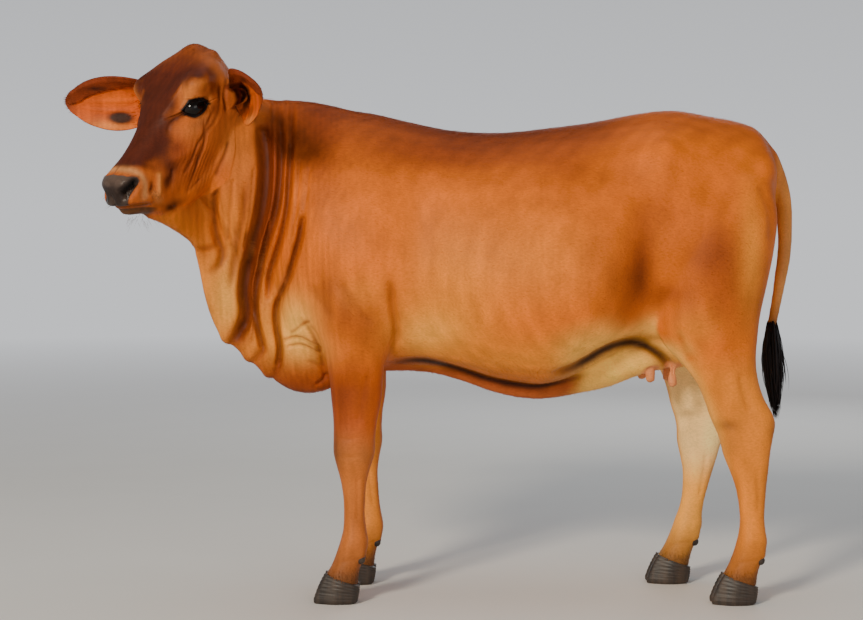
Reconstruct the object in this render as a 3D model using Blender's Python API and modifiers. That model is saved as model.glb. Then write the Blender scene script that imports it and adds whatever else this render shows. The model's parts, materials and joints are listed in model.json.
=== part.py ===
"""Life-size still model of a Jersey and Brahman cross heifer, standing with its head turned to its left.

Run with: blender --background --python part.py, or from Blender's text editor.

Metres, +Z up. The animal faces -X, its left side is -Y, and the origin is on the ground under the middle
of its box. The hip height drives the size: every other length is a share of it, through SIZE.
"""

import math

import bmesh
import bpy
import numpy as np
from mathutils import Matrix, Vector

HIP_HEIGHT = 1.235
SIZE = HIP_HEIGHT / 1.235
GAP = 0.0003
VOXEL = 0.0045
RING_POINTS = 48
RING_STEP = 0.010
HEAD_TRIANGLES = 2300
BODY_TRIANGLES = 3400
SHARP_EDGE = math.radians(50.0)

# Head pose: turned to the animal's left, then nosed down. MUZZLE is where the lips meet in front.
HEAD_YAW = math.radians(51.5)
HEAD_PITCH = math.radians(25.7)
MUZZLE = (-0.750, -0.320, 0.980)

COLLECTION = "jersey_brahman_heifer"

# x, y, top, widest level, bottom, half width, power above, power below
TORSO = (
    (-0.405, 0.0, 1.09, 0.92, 0.74, 0.070, 2.0, 2.0),
    (-0.370, 0.0, 1.17, 0.92, 0.655, 0.135, 1.9, 2.0),
    (-0.300, 0.0, 1.228, 0.90, 0.600, 0.185, 1.7, 2.0),
    (-0.180, 0.0, 1.233, 0.87, 0.580, 0.215, 1.6, 2.1),
    (-0.060, 0.0, 1.208, 0.84, 0.588, 0.226, 1.7, 2.2),
    (0.050, 0.0, 1.186, 0.82, 0.580, 0.246, 1.8, 2.2),
    (0.180, 0.0, 1.180, 0.80, 0.548, 0.272, 1.85, 2.2),
    (0.300, 0.0, 1.192, 0.79, 0.536, 0.284, 1.85, 2.2),
    (0.420, 0.0, 1.208, 0.82, 0.590, 0.274, 1.85, 2.1),
    (0.520, 0.0, 1.227, 0.88, 0.630, 0.246, 1.95, 2.0),
    (0.610, 0.0, 1.236, 0.92, 0.640, 0.218, 2.0, 2.0),
    (0.710, 0.0, 1.220, 0.94, 0.680, 0.198, 2.0, 2.0),
    (0.790, 0.0, 1.203, 0.95, 0.730, 0.168, 2.0, 2.0),
    (0.840, 0.0, 1.176, 0.97, 0.800, 0.125, 2.0, 2.0),
    (0.868, 0.0, 1.120, 1.00, 0.880, 0.065, 2.0, 2.0),
)

NECK = (
    (-0.190, 0.000, 1.234, 0.92, 0.640, 0.175, 1.6, 2.0),
    (-0.280, 0.000, 1.256, 0.95, 0.680, 0.158, 1.6, 2.0),
    (-0.345, -0.006, 1.264, 0.98, 0.730, 0.136, 1.7, 2.0),
    (-0.405, -0.018, 1.264, 1.01, 0.780, 0.116, 1.8, 2.0),
    (-0.460, -0.036, 1.272, 1.05, 0.830, 0.103, 1.9, 2.0),
    (-0.510, -0.060, 1.292, 1.10, 0.900, 0.093, 2.0, 2.0),
    (-0.550, -0.084, 1.310, 1.15, 0.970, 0.083, 2.0, 2.0),
    (-0.590, -0.112, 1.300, 1.17, 1.030, 0.060, 2.0, 2.0),
)

# x, y, top, widest level, bottom, half width, power above, power below
DEWLAP = (
    (-0.696, -0.236, 1.005, 0.980, 0.963, 0.018, 2.0, 2.0),
    (-0.668, -0.206, 1.030, 0.985, 0.949, 0.028, 2.0, 2.0),
    (-0.645, -0.178, 1.040, 0.985, 0.932, 0.036, 2.0, 2.0),
    (-0.616, -0.130, 1.070, 0.985, 0.908, 0.046, 2.0, 2.0),
    (-0.592, -0.082, 1.100, 0.980, 0.868, 0.050, 2.0, 2.0),
    (-0.578, -0.056, 1.110, 0.930, 0.775, 0.050, 2.0, 2.0),
    (-0.556, -0.040, 1.100, 0.880, 0.695, 0.050, 2.0, 2.0),
    (-0.528, -0.026, 1.090, 0.850, 0.642, 0.050, 2.0, 1.8),
    (-0.495, -0.018, 1.050, 0.820, 0.622, 0.052, 2.0, 1.8),
    (-0.455, -0.010, 1.000, 0.790, 0.585, 0.056, 2.0, 1.8),
    (-0.415, -0.004, 0.950, 0.760, 0.556, 0.062, 2.0, 1.9),
    (-0.375, 0.000, 0.900, 0.720, 0.528, 0.068, 2.0, 2.0),
    (-0.325, 0.000, 0.860, 0.690, 0.514, 0.074, 2.0, 2.0),
    (-0.275, 0.000, 0.820, 0.670, 0.520, 0.070, 2.0, 2.0),
    (-0.220, 0.000, 0.780, 0.660, 0.545, 0.060, 2.0, 2.0),
    (-0.140, 0.000, 0.740, 0.650, 0.566, 0.040, 2.0, 2.0),
    (-0.060, 0.000, 0.700, 0.640, 0.572, 0.022, 2.0, 2.0),
)

BELLY_FOLD = (
    (-0.120, 0.0, 0.640, 0.610, 0.568, 0.020, 2.0, 2.0),
    (0.000, 0.0, 0.640, 0.605, 0.563, 0.020, 2.0, 2.0),
    (0.080, 0.0, 0.620, 0.585, 0.543, 0.022, 2.0, 2.0),
    (0.160, 0.0, 0.600, 0.560, 0.516, 0.024, 2.0, 2.0),
    (0.240, 0.0, 0.580, 0.545, 0.500, 0.026, 2.0, 2.0),
    (0.300, 0.0, 0.580, 0.545, 0.500, 0.028, 2.0, 2.0),
    (0.380, 0.0, 0.590, 0.560, 0.514, 0.032, 2.0, 2.0),
    (0.460, 0.0, 0.610, 0.580, 0.532, 0.042, 2.0, 2.0),
    (0.520, 0.0, 0.640, 0.610, 0.556, 0.050, 2.0, 2.0),
)

UDDER = (
    (0.350, 0.0, 0.590, 0.560, 0.535, 0.028, 2.0, 2.0),
    (0.410, 0.0, 0.640, 0.575, 0.524, 0.056, 2.0, 2.0),
    (0.465, 0.0, 0.680, 0.600, 0.538, 0.078, 2.0, 2.1),
    (0.520, 0.0, 0.710, 0.620, 0.557, 0.092, 2.0, 2.2),
    (0.570, 0.0, 0.730, 0.640, 0.573, 0.096, 2.0, 2.3),
    (0.625, 0.0, 0.750, 0.660, 0.577, 0.092, 2.0, 2.3),
    (0.675, 0.0, 0.770, 0.690, 0.600, 0.078, 2.0, 2.0),
    (0.715, 0.0, 0.790, 0.720, 0.660, 0.045, 2.0, 2.0),
)

# level, front, back, y, half width, power; the near (left) legs. A far leg adds its own shifts.
FORELEG = (
    (0.860, -0.290, -0.130, 0.150, 0.050, 2.0),
    (0.780, -0.296, -0.096, 0.148, 0.062, 2.0),
    (0.700, -0.288, -0.086, 0.144, 0.065, 2.0),
    (0.655, -0.272, -0.094, 0.140, 0.061, 2.0),
    (0.610, -0.262, -0.114, 0.135, 0.056, 2.1),
    (0.560, -0.255, -0.121, 0.131, 0.050, 2.1),
    (0.510, -0.250, -0.125, 0.130, 0.046, 2.1),
    (0.450, -0.245, -0.137, 0.130, 0.041, 2.2),
    (0.410, -0.245, -0.141, 0.130, 0.042, 2.3),
    (0.375, -0.245, -0.142, 0.130, 0.043, 2.3),
    (0.345, -0.238, -0.151, 0.130, 0.039, 2.2),
    (0.312, -0.229, -0.160, 0.130, 0.031, 2.1),
    (0.260, -0.221, -0.1655, 0.130, 0.027, 2.0),
    (0.210, -0.220, -0.166, 0.130, 0.027, 2.0),
    (0.180, -0.222, -0.162, 0.130, 0.031, 2.1),
    (0.150, -0.230, -0.158, 0.130, 0.037, 2.2),
    (0.120, -0.240, -0.166, 0.130, 0.036, 2.2),
    (0.090, -0.252, -0.178, 0.130, 0.037, 2.2),
    (0.065, -0.266, -0.184, 0.130, 0.042, 2.3),
    (0.040, -0.270, -0.186, 0.130, 0.042, 2.3),
)

HINDLEG = (
    (1.060, 0.640, 0.840, 0.110, 0.070, 2.0),
    (0.980, 0.590, 0.862, 0.120, 0.084, 2.0),
    (0.900, 0.565, 0.855, 0.126, 0.090, 2.0),
    (0.800, 0.556, 0.835, 0.132, 0.090, 2.0),
    (0.720, 0.556, 0.818, 0.136, 0.084, 2.0),
    (0.660, 0.572, 0.812, 0.138, 0.075, 2.0),
    (0.610, 0.612, 0.809, 0.140, 0.064, 2.0),
    (0.560, 0.655, 0.814, 0.142, 0.054, 2.1),
    (0.510, 0.679, 0.830, 0.143, 0.046, 2.1),
    (0.475, 0.691, 0.850, 0.143, 0.042, 2.2),
    (0.455, 0.699, 0.857, 0.143, 0.041, 2.2),
    (0.420, 0.715, 0.852, 0.143, 0.041, 2.3),
    (0.372, 0.728, 0.844, 0.143, 0.039, 2.3),
    (0.335, 0.743, 0.841, 0.143, 0.034, 2.2),
    (0.300, 0.756, 0.837, 0.143, 0.030, 2.1),
    (0.260, 0.765, 0.834, 0.143, 0.027, 2.0),
    (0.215, 0.770, 0.832, 0.143, 0.027, 2.0),
    (0.185, 0.769, 0.834, 0.143, 0.031, 2.1),
    (0.155, 0.763, 0.839, 0.143, 0.037, 2.2),
    (0.125, 0.754, 0.832, 0.143, 0.036, 2.2),
    (0.092, 0.741, 0.820, 0.143, 0.037, 2.2),
    (0.065, 0.728, 0.813, 0.143, 0.042, 2.3),
    (0.040, 0.724, 0.811, 0.143, 0.042, 2.3),
)

# distance behind the lips, top, widest level, bottom, half width, power above, power below
SKULL = (
    (0.000, 0.056, 0.034, 0.010, 0.026, 2.2, 2.2),
    (0.008, 0.069, 0.034, 0.003, 0.044, 2.4, 2.4),
    (0.024, 0.081, 0.034, -0.003, 0.056, 2.4, 2.6),
    (0.050, 0.092, 0.034, -0.016, 0.061, 2.3, 2.7),
    (0.090, 0.108, 0.038, -0.034, 0.058, 2.1, 2.8),
    (0.140, 0.134, 0.050, -0.054, 0.060, 2.0, 2.6),
    (0.190, 0.162, 0.080, -0.062, 0.076, 2.2, 2.1),
    (0.240, 0.195, 0.125, -0.064, 0.097, 3.0, 1.8),
    (0.285, 0.220, 0.150, -0.060, 0.110, 3.8, 1.6),
    (0.330, 0.239, 0.155, -0.044, 0.110, 4.2, 1.7),
    (0.370, 0.250, 0.155, -0.020, 0.105, 3.3, 1.9),
    (0.400, 0.254, 0.155, 0.010, 0.095, 2.3, 2.0),
    (0.426, 0.245, 0.155, 0.040, 0.080, 2.1, 2.0),
    (0.446, 0.215, 0.150, 0.080, 0.045, 2.0, 2.0),
)

JAW = (
    (0.020, 0.002, -0.012, -0.022, 0.018, 2.0, 2.0),
    (0.034, 0.004, -0.012, -0.027, 0.031, 2.0, 2.0),
    (0.066, 0.006, -0.014, -0.040, 0.037, 2.0, 2.0),
    (0.084, 0.008, -0.018, -0.049, 0.041, 2.0, 2.0),
    (0.115, 0.010, -0.024, -0.070, 0.044, 2.0, 2.0),
    (0.160, 0.030, -0.030, -0.084, 0.048, 2.0, 2.0),
    (0.220, 0.060, -0.026, -0.084, 0.058, 2.0, 2.0),
    (0.280, 0.080, -0.014, -0.074, 0.066, 2.0, 2.0),
    (0.325, 0.080, 0.010, -0.055, 0.060, 2.0, 2.0),
    (0.360, 0.080, 0.030, -0.020, 0.040, 2.0, 2.0),
)

# x, z, radius along the tail, which hangs in the middle plane
TAIL = (
    (0.730, 1.168, 0.034),
    (0.790, 1.168, 0.036),
    (0.841, 1.130, 0.032),
    (0.875, 1.074, 0.026),
    (0.896, 1.010, 0.0220),
    (0.902, 0.940, 0.0190),
    (0.901, 0.870, 0.0175),
    (0.889, 0.795, 0.0160),
    (0.875, 0.720, 0.0146),
    (0.863, 0.650, 0.0132),
    (0.860, 0.600, 0.0115),
)

# x, y, level, radius and length of each teat
TEATS = (
    (0.548, -0.052, 0.592, 0.0095, 0.038),
    (0.542, 0.052, 0.588, 0.0095, 0.036),
    (0.606, -0.048, 0.592, 0.0095, 0.036),
    (0.610, 0.048, 0.590, 0.0095, 0.036),
)

# centre x, y, z, then reach along x, y, z, then push out of the skin; each is made on both sides
BODY_FORMS = (
    ("shoulder muscle", (-0.190, 0.190, 0.820), (0.120, 0.130, 0.180), 0.012),
    ("shoulder blade", (-0.150, 0.140, 1.060), (0.110, 0.120, 0.160), 0.006),
    ("hollow behind the shoulder", (-0.030, 0.220, 0.860), (0.055, 0.130, 0.230), -0.010),
    ("hook bone", (0.575, 0.170, 1.130), (0.060, 0.070, 0.060), 0.016),
    ("hungry hollow", (0.440, 0.200, 1.060), (0.085, 0.110, 0.075), -0.014),
    ("hollow before the thigh", (0.525, 0.230, 0.840), (0.060, 0.110, 0.170), -0.022),
    ("thurl hollow", (0.680, 0.190, 1.060), (0.070, 0.090, 0.070), -0.006),
    ("thigh muscle", (0.700, 0.210, 0.880), (0.110, 0.110, 0.150), 0.014),
    ("pin bone", (0.838, 0.095, 1.085), (0.050, 0.050, 0.050), 0.016),
    ("stifle", (0.610, 0.200, 0.700), (0.060, 0.080, 0.070), 0.008),
    ("flank fold", (0.500, 0.190, 0.680), (0.090, 0.060, 0.050), 0.008),
    ("barrel", (0.240, 0.260, 0.760), (0.170, 0.110, 0.160), 0.006),
)

# the x and z of each crease as seen from the left, its width and its depth
NECK_CREASES = (
    ("behind the jaw", ((-0.513, 1.143), (-0.535, 1.033), (-0.544, 0.970), (-0.540, 0.920), (-0.525, 0.872),
                        (-0.535, 0.842), (-0.560, 0.822)), 0.010, 0.011),
    ("under the throat pouch", ((-0.600, 0.886), (-0.565, 0.885), (-0.545, 0.892), (-0.536, 0.910)),
     0.008, 0.010),
    ("front curtain", ((-0.458, 1.058), (-0.472, 0.952), (-0.490, 0.892), (-0.500, 0.832), (-0.508, 0.780)),
     0.009, 0.007),
    ("great fold", ((-0.424, 1.200), (-0.413, 1.108), (-0.413, 1.058), (-0.430, 0.952), (-0.448, 0.900),
                    (-0.465, 0.833), (-0.472, 0.777), (-0.469, 0.713), (-0.486, 0.671), (-0.525, 0.634)),
     0.016, 0.022),
    ("second fold", ((-0.384, 1.250), (-0.377, 1.183), (-0.377, 1.058), (-0.390, 0.968), (-0.410, 0.910),
                     (-0.435, 0.832), (-0.445, 0.707), (-0.437, 0.672), (-0.428, 0.625), (-0.462, 0.590)),
     0.011, 0.013),
    ("third fold", ((-0.352, 1.262), (-0.352, 1.151), (-0.355, 1.063), (-0.363, 0.968), (-0.375, 0.917),
                    (-0.394, 0.857), (-0.406, 0.826), (-0.414, 0.757)), 0.009, 0.010),
    ("last fold", ((-0.318, 0.970), (-0.328, 0.910), (-0.347, 0.852), (-0.360, 0.812), (-0.381, 0.769),
                   (-0.391, 0.742), (-0.390, 0.672), (-0.385, 0.643), (-0.391, 0.583), (-0.412, 0.545)),
     0.010, 0.013),
    ("elbow", ((-0.098, 0.820), (-0.093, 0.734), (-0.086, 0.665), (-0.104, 0.622)), 0.010, 0.012),
)

# level and shift along X of the far (right) legs, which stand a little off the near ones
FORELEG_SHIFT = ((0.00, 0.035), (0.22, 0.030), (0.38, 0.012), (0.60, 0.0), (0.86, 0.0))
HINDLEG_SHIFT = ((0.00, -0.135), (0.17, -0.122), (0.22, -0.110), (0.30, -0.093), (0.38, -0.078),
                 (0.44, -0.065), (0.54, -0.055), (0.62, -0.045), (0.80, -0.020), (1.06, 0.0))

# place behind the lips, to the side and up, then reach along the same, then push; made on both sides
HEAD_FORMS = (
    ("brow", (0.280, 0.096, 0.212), (0.046, 0.030, 0.026), 0.015),
    ("forehead dish", (0.255, 0.0, 0.205), (0.050, 0.045, 0.030), -0.005),
    ("temple hollow", (0.345, 0.105, 0.170), (0.026, 0.024, 0.026), -0.007),
    ("ear base", (0.405, 0.100, 0.120), (0.036, 0.030, 0.042), 0.016),
    ("cheek muscle", (0.300, 0.085, 0.030), (0.050, 0.040, 0.055), 0.007),
    ("face ridge", (0.190, 0.070, 0.060), (0.060, 0.020, 0.014), 0.006),
    ("hollow before the eye", (0.195, 0.060, 0.125), (0.040, 0.030, 0.025), -0.007),
    ("side of the nose", (0.110, 0.050, 0.070), (0.035, 0.022, 0.022), -0.004),
    ("wing of the nostril", (0.036, 0.052, 0.052), (0.018, 0.018, 0.018), 0.006),
    ("upper lip", (0.062, 0.058, 0.002), (0.040, 0.020, 0.016), 0.006),
    ("poll", (0.402, 0.0, 0.262), (0.030, 0.036, 0.030), 0.012),
)

# the same three places along each groove of the head, then its width and depth
HEAD_GROOVES = (
    ("mouth line", ((0.006, 0.000, -0.005), (0.014, 0.030, -0.009), (0.032, 0.050, -0.014),
                    (0.055, 0.060, -0.022), (0.082, 0.061, -0.034), (0.112, 0.060, -0.047)), 0.0060, 0.016),
    ("nostril", ((0.006, 0.036, 0.038), (0.014, 0.047, 0.044), (0.032, 0.057, 0.056)), 0.0110, 0.024),
    ("lip cleft", ((0.000, 0.000, 0.040), (-0.004, 0.000, 0.004)), 0.003, 0.002),
    ("crease under the eye", ((0.228, 0.077, 0.134), (0.242, 0.088, 0.122), (0.265, 0.093, 0.113),
                              (0.290, 0.097, 0.116)), 0.004, 0.003),
    ("crease over the eye", ((0.243, 0.079, 0.168), (0.256, 0.086, 0.180), (0.272, 0.095, 0.184),
                             (0.295, 0.100, 0.178)), 0.004, 0.003),
    ("cheek fold", ((0.130, 0.060, -0.020), (0.142, 0.062, 0.010), (0.152, 0.062, 0.034)), 0.005, 0.005),
)

# half sizes of the eyeball along the lids' opening, up and along the gaze; the place of its middle; the gaze
# as forward, side and up; and the opening as shares of the half sizes
EYE_SIZE = (0.0320, 0.0260, 0.0260)
EYE_PLACE = (0.273, 0.0740, 0.148)
EYE_GAZE = (0.42, 0.90, 0.08)
EYE_TILT = 0.05
LID_LENGTH = 0.97
LID_ABOVE = 0.68
LID_BELOW = 0.60
LID_DEPTH = 0.10

# the ear's root, then the way that it points and the way that its cup faces, as forward, side and up
EAR_ROOT = (0.402, 0.106, 0.122)
EAR_AIM = (0.54, 0.81, 0.236)
EAR_FACE = (0.80, -0.59, 0.05)
EAR_LENGTH = 0.292
EAR_THICKNESS = 0.005
EAR_COLUMNS = 10
EAR_ROW_STEP = 0.090
EAR_SINK = 0.022
# share of the length, flat width and half angle of the roll
EAR = (
    (-0.24, 0.095, 2.90),
    (0.00, 0.110, 2.70),
    (0.12, 0.122, 1.90),
    (0.28, 0.142, 1.25),
    (0.42, 0.157, 1.00),
    (0.56, 0.158, 0.85),
    (0.70, 0.142, 0.74),
    (0.82, 0.112, 0.64),
    (0.91, 0.074, 0.55),
    (0.97, 0.042, 0.46),
    (1.00, 0.012, 0.40),
)

# the head is parted from the neck by a bent sheet: distance back along PART_ACROSS and level
PART_ACROSS = (0.807, 0.590, 0.0)
HEAD_PART = ((-0.452, 1.460), (-0.462, 1.300), (-0.476, 1.130), (-0.492, 1.060), (-0.530, 1.022),
             (-0.580, 1.000), (-0.640, 0.983), (-0.700, 0.958), (-0.780, 0.930))

# middle of each flat cut, the way it faces, and its half width and half height
FLAT_PARTS = (
    ("neck and torso", (-0.315, 0.0, 0.880), (0.985, 0.0, 0.174), 0.46, 0.36),
    ("left forearm", (-0.185, -0.137, 0.597), (0.0, 0.74, 0.67), 0.130, 0.150),
    ("right forearm", (-0.185, 0.137, 0.597), (0.0, -0.74, 0.67), 0.130, 0.150),
    ("left knee", (-0.193, -0.130, 0.330), (0.0, 0.0, 1.0), 0.080, 0.080),
    ("right knee", (-0.175, 0.130, 0.330), (0.0, 0.0, 1.0), 0.080, 0.080),
    ("left gaskin", (0.715, -0.150, 0.600), (-0.10, 0.0, 0.995), 0.150, 0.110),
    ("right gaskin", (0.670, 0.150, 0.600), (-0.10, 0.0, 0.995), 0.150, 0.110),
    ("left hock", (0.786, -0.143, 0.340), (0.0, 0.0, 1.0), 0.090, 0.080),
    ("right hock", (0.703, 0.143, 0.340), (0.0, 0.0, 1.0), 0.090, 0.080),
)

# a point near the skin of each flesh node, which tells the pieces apart after the cuts
FLESH_POINTS = (
    ("head", (-0.700, -0.250, 1.080)),
    ("neck", (-0.450, -0.020, 0.950)),
    ("torso", (0.250, 0.0, 1.190)),
    ("foreleg_left_upper", (-0.193, -0.170, 0.450)),
    ("foreleg_right_upper", (-0.180, 0.170, 0.450)),
    ("foreleg_left_lower", (-0.193, -0.155, 0.240)),
    ("foreleg_right_lower", (-0.165, 0.155, 0.240)),
    ("hindleg_left_upper", (0.770, -0.180, 0.470)),
    ("hindleg_right_upper", (0.710, 0.180, 0.470)),
    ("hindleg_left_lower", (0.800, -0.165, 0.240)),
    ("hindleg_right_lower", (0.695, 0.165, 0.240)),
)

# foot name, then x and y of the coronet's middle
FEET = (
    ("fore_left", -0.2225, -0.130),
    ("fore_right", -0.1890, 0.130),
    ("hind_left", 0.7710, -0.143),
    ("hind_right", 0.6400, 0.143),
)
CORONET_LEVEL = 0.060
CORONET_SLOPE = math.radians(20.0)
CLAW_LENGTH = 0.112
CLAW_WIDTH = 0.043
CLEFT = 0.004
DEWCLAW_SIZE = (0.013, 0.011, 0.017)
DEWCLAW_LEVEL = 0.114
DEWCLAW_ASIDE = 0.021
DEWCLAW_SINK = 0.003
DEWCLAW_LEAN = math.radians(-28.0)

TAIL_CUT = 0.990
SWITCH_CUT = 0.655
SWITCH_TIP = 0.440
TAIL_SIDES = 16
CORE_LENGTH = 0.15
LOCKS = 16
GOLDEN_ANGLE = 2.399963

# the middle of the whole box, which the model is moved to stand over
BOX_MIDDLE = (-0.006, -0.069)

HIDE = (0.46, 0.16, 0.05)
COLOURS = {
    "hide": (HIDE, 0.75),
    "pale hide": ((0.72, 0.42, 0.20), 0.75),
    "dark hair": ((0.05, 0.03, 0.02), 0.80),
    "horn": ((0.07, 0.055, 0.045), 0.45),
    "eye": ((0.01, 0.008, 0.007), 0.08),
}


def new_collection(name):
    """A collection of the scene."""
    collection = bpy.data.collections.new(name)
    bpy.context.scene.collection.children.link(collection)
    return collection


def new_object(name, mesh, collection):
    """An object for a mesh, in a collection."""
    thing = bpy.data.objects.new(name, mesh)
    collection.objects.link(thing)
    return thing


def material(name):
    """One of the materials in COLOURS."""
    colour, roughness = COLOURS[name]
    made = bpy.data.materials.get(name) or bpy.data.materials.new(name)
    made.use_nodes = True
    shader = made.node_tree.nodes["Principled BSDF"]
    shader.inputs["Base Color"].default_value = (*colour, 1.0)
    shader.inputs["Roughness"].default_value = roughness
    made.diffuse_color = (*colour, 1.0)
    return made


def read_points(mesh):
    """A mesh's points as rows of x, y, z."""
    points = np.empty(len(mesh.vertices) * 3, dtype=np.float32)
    mesh.vertices.foreach_get("co", points)
    return points.reshape(-1, 3).astype(float)


def read_normals(mesh):
    """The outward directions at a mesh's points."""
    normals = np.empty(len(mesh.vertices) * 3, dtype=np.float32)
    mesh.vertex_normals.foreach_get("vector", normals)
    return normals.reshape(-1, 3).astype(float)


def write_points(mesh, points):
    """Moves a mesh's points."""
    mesh.vertices.foreach_set("co", points.astype(np.float32).ravel())
    mesh.update()


def settle(thing):
    """Turns an object's modifiers into its mesh."""
    graph = bpy.context.evaluated_depsgraph_get()
    graph.update()
    mesh = bpy.data.meshes.new_from_object(thing.evaluated_get(graph))
    thing.modifiers.clear()
    thing.data = mesh


def combine(thing, operand, operation="DIFFERENCE", solver="EXACT"):
    """Joins an object with, or cuts it by, another object or a collection of objects."""
    boolean = thing.modifiers.new(operation.lower(), "BOOLEAN")
    boolean.operation = operation
    boolean.solver = solver
    if isinstance(operand, bpy.types.Collection):
        boolean.operand_type = "COLLECTION"
        boolean.collection = operand
    else:
        boolean.object = operand
    settle(thing)


def remove(thing):
    """Removes an object and its mesh."""
    mesh = thing.data
    bpy.data.objects.remove(thing)
    bpy.data.meshes.remove(mesh)


def ramp(value, low, high):
    """0 below low, 1 above high, and smooth between."""
    share = np.clip((value - low) / (high - low), 0.0, 1.0)
    return share * share * (3.0 - 2.0 * share)


def curve_through(places, along, values):
    """Values of a smooth curve through a table's rows."""
    slopes = np.gradient(values, along)
    left = np.clip(np.searchsorted(along, places, side="right") - 1, 0, len(along) - 2)
    span = along[left + 1] - along[left]
    share = (places - along[left]) / span
    start = (1.0 + 2.0 * share) * (1.0 - share) ** 2
    end = share ** 2 * (3.0 - 2.0 * share)
    leave = share * (1.0 - share) ** 2 * span
    arrive = share ** 2 * (share - 1.0) * span
    return start * values[left] + end * values[left + 1] + leave * slopes[left] + arrive * slopes[left + 1]


def stations(table, step, along=None):
    """Rows of a table at even steps, on smooth curves through its own rows."""
    table = np.array(table, dtype=float)
    along = table[:, 0] if along is None else np.array(along)
    if along[0] > along[-1]:
        table, along = table[::-1], along[::-1]
    places = np.linspace(along[0], along[-1], max(2, round((along[-1] - along[0]) / step) + 1))
    return np.stack([curve_through(places, along, column) for column in table.T], axis=1)


def oval(count, half_width, above, below, power_above, power_below):
    """Points of a rounded section: across and up from its widest level."""
    turn = np.linspace(0.0, 2.0 * math.pi, count, endpoint=False)
    power = np.where(np.sin(turn) >= 0.0, power_above, power_below)
    reach = np.where(np.sin(turn) >= 0.0, above, below)
    across = half_width * np.sign(np.cos(turn)) * np.abs(np.cos(turn)) ** (2.0 / power)
    up = reach * np.sign(np.sin(turn)) * np.abs(np.sin(turn)) ** (2.0 / power)
    return across, up


def loft(name, rings, collection):
    """A closed tube over rings of equal count, each an array of points."""
    count = len(rings[0])
    bm = bmesh.new()
    rows = [[bm.verts.new(point) for point in ring] for ring in rings]
    for lower, upper in zip(rows, rows[1:]):
        for index in range(count):
            after = (index + 1) % count
            bm.faces.new((lower[index], lower[after], upper[after], upper[index]))
    bm.faces.new(reversed(rows[0]))
    bm.faces.new(rows[-1])
    bmesh.ops.recalc_face_normals(bm, faces=bm.faces)
    mesh = bpy.data.meshes.new(name)
    bm.to_mesh(mesh)
    bm.free()
    return new_object(name, mesh, collection)


def lengthwise(name, table, collection):
    """A form whose sections stand across X."""
    rings = []
    for x, y, top, level, bottom, half_width, power_above, power_below in stations(table, RING_STEP):
        across, up = oval(RING_POINTS, half_width, top - level, level - bottom, power_above, power_below)
        rings.append(np.stack([np.full(RING_POINTS, x), y + across, level + up], axis=1) * SIZE)
    return loft(name, rings, collection)


def level_ring(x, y, level):
    """World points of a level section."""
    return np.stack([x, y, np.full(len(x), level)], axis=1) * SIZE


def leg(name, table, side, shifts, collection):
    """A leg whose sections lie level; side is -1 for the left and 1 for the right."""
    levels, moves = np.array(shifts).T
    rings = []
    for level, front, back, y, half_width, power in stations(table, RING_STEP):
        move = np.interp(level, levels, moves) if side > 0 else 0.0
        along, across = oval(RING_POINTS, (back - front) / 2.0, half_width, half_width, power, power)
        middle = (front + back) / 2.0 + move
        rings.append(level_ring(middle + along, side * y + across, level))
    return loft(name, rings, collection)


def head_axes():
    """Forward, left and up directions of the head, as rows."""
    forward = Vector((-math.cos(HEAD_YAW) * math.cos(HEAD_PITCH), -math.sin(HEAD_YAW) * math.cos(HEAD_PITCH),
                      -math.sin(HEAD_PITCH)))
    left = Vector((math.sin(HEAD_YAW), -math.cos(HEAD_YAW), 0.0))
    return np.array([forward, left, left.cross(forward) * -1.0])


def from_head(places):
    """World points of places given behind the lips, to the left and up."""
    forward, left, up = head_axes()
    places = np.atleast_2d(np.array(places, dtype=float))
    points = np.array(MUZZLE) - places[:, :1] * forward + places[:, 1:2] * left + places[:, 2:3] * up
    return points * SIZE


def to_head(points):
    """Places behind the lips, to the left and up, of world points."""
    offset = points / SIZE - np.array(MUZZLE)
    forward, left, up = head_axes()
    return np.stack([-offset @ forward, offset @ left, offset @ up], axis=1)


def head_form(name, table, collection):
    """A form of the head whose sections stand across its length."""
    rings = []
    for back, top, level, bottom, half_width, power_above, power_below in stations(table, RING_STEP / 2.0):
        across, up = oval(RING_POINTS, half_width, top - level, level - bottom, power_above, power_below)
        rings.append(from_head(np.stack([np.full(RING_POINTS, back), across, level + up], axis=1)))
    return loft(name, rings, collection)


def hanging_tube(name, table, sides, collection):
    """A round tube in the middle plane, from rows of x, z and radius."""
    table = np.array(table)
    steps = np.hypot(*np.diff(table[:, :2], axis=0).T)
    rows = stations(table, RING_STEP, np.concatenate([[0.0], np.cumsum(steps)]))
    ways = np.gradient(rows[:, :2], axis=0)
    ways /= np.linalg.norm(ways, axis=1)[:, None]
    turn = np.linspace(0.0, 2.0 * math.pi, sides, endpoint=False)
    rings = []
    for (x, z, radius), (way_x, way_z) in zip(rows, ways):
        out = radius * np.cos(turn)
        rings.append(np.stack([x + way_z * out, radius * np.sin(turn), z - way_x * out], axis=1) * SIZE)
    return loft(name, rings, collection)


def joined(things, name, collection):
    """One object that holds the meshes of several, which are removed."""
    bm = bmesh.new()
    for thing in things:
        bm.from_mesh(thing.data)
    mesh = bpy.data.meshes.new(name)
    bm.to_mesh(mesh)
    bm.free()
    for thing in things:
        remove(thing)
    return new_object(name, mesh, collection)


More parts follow.
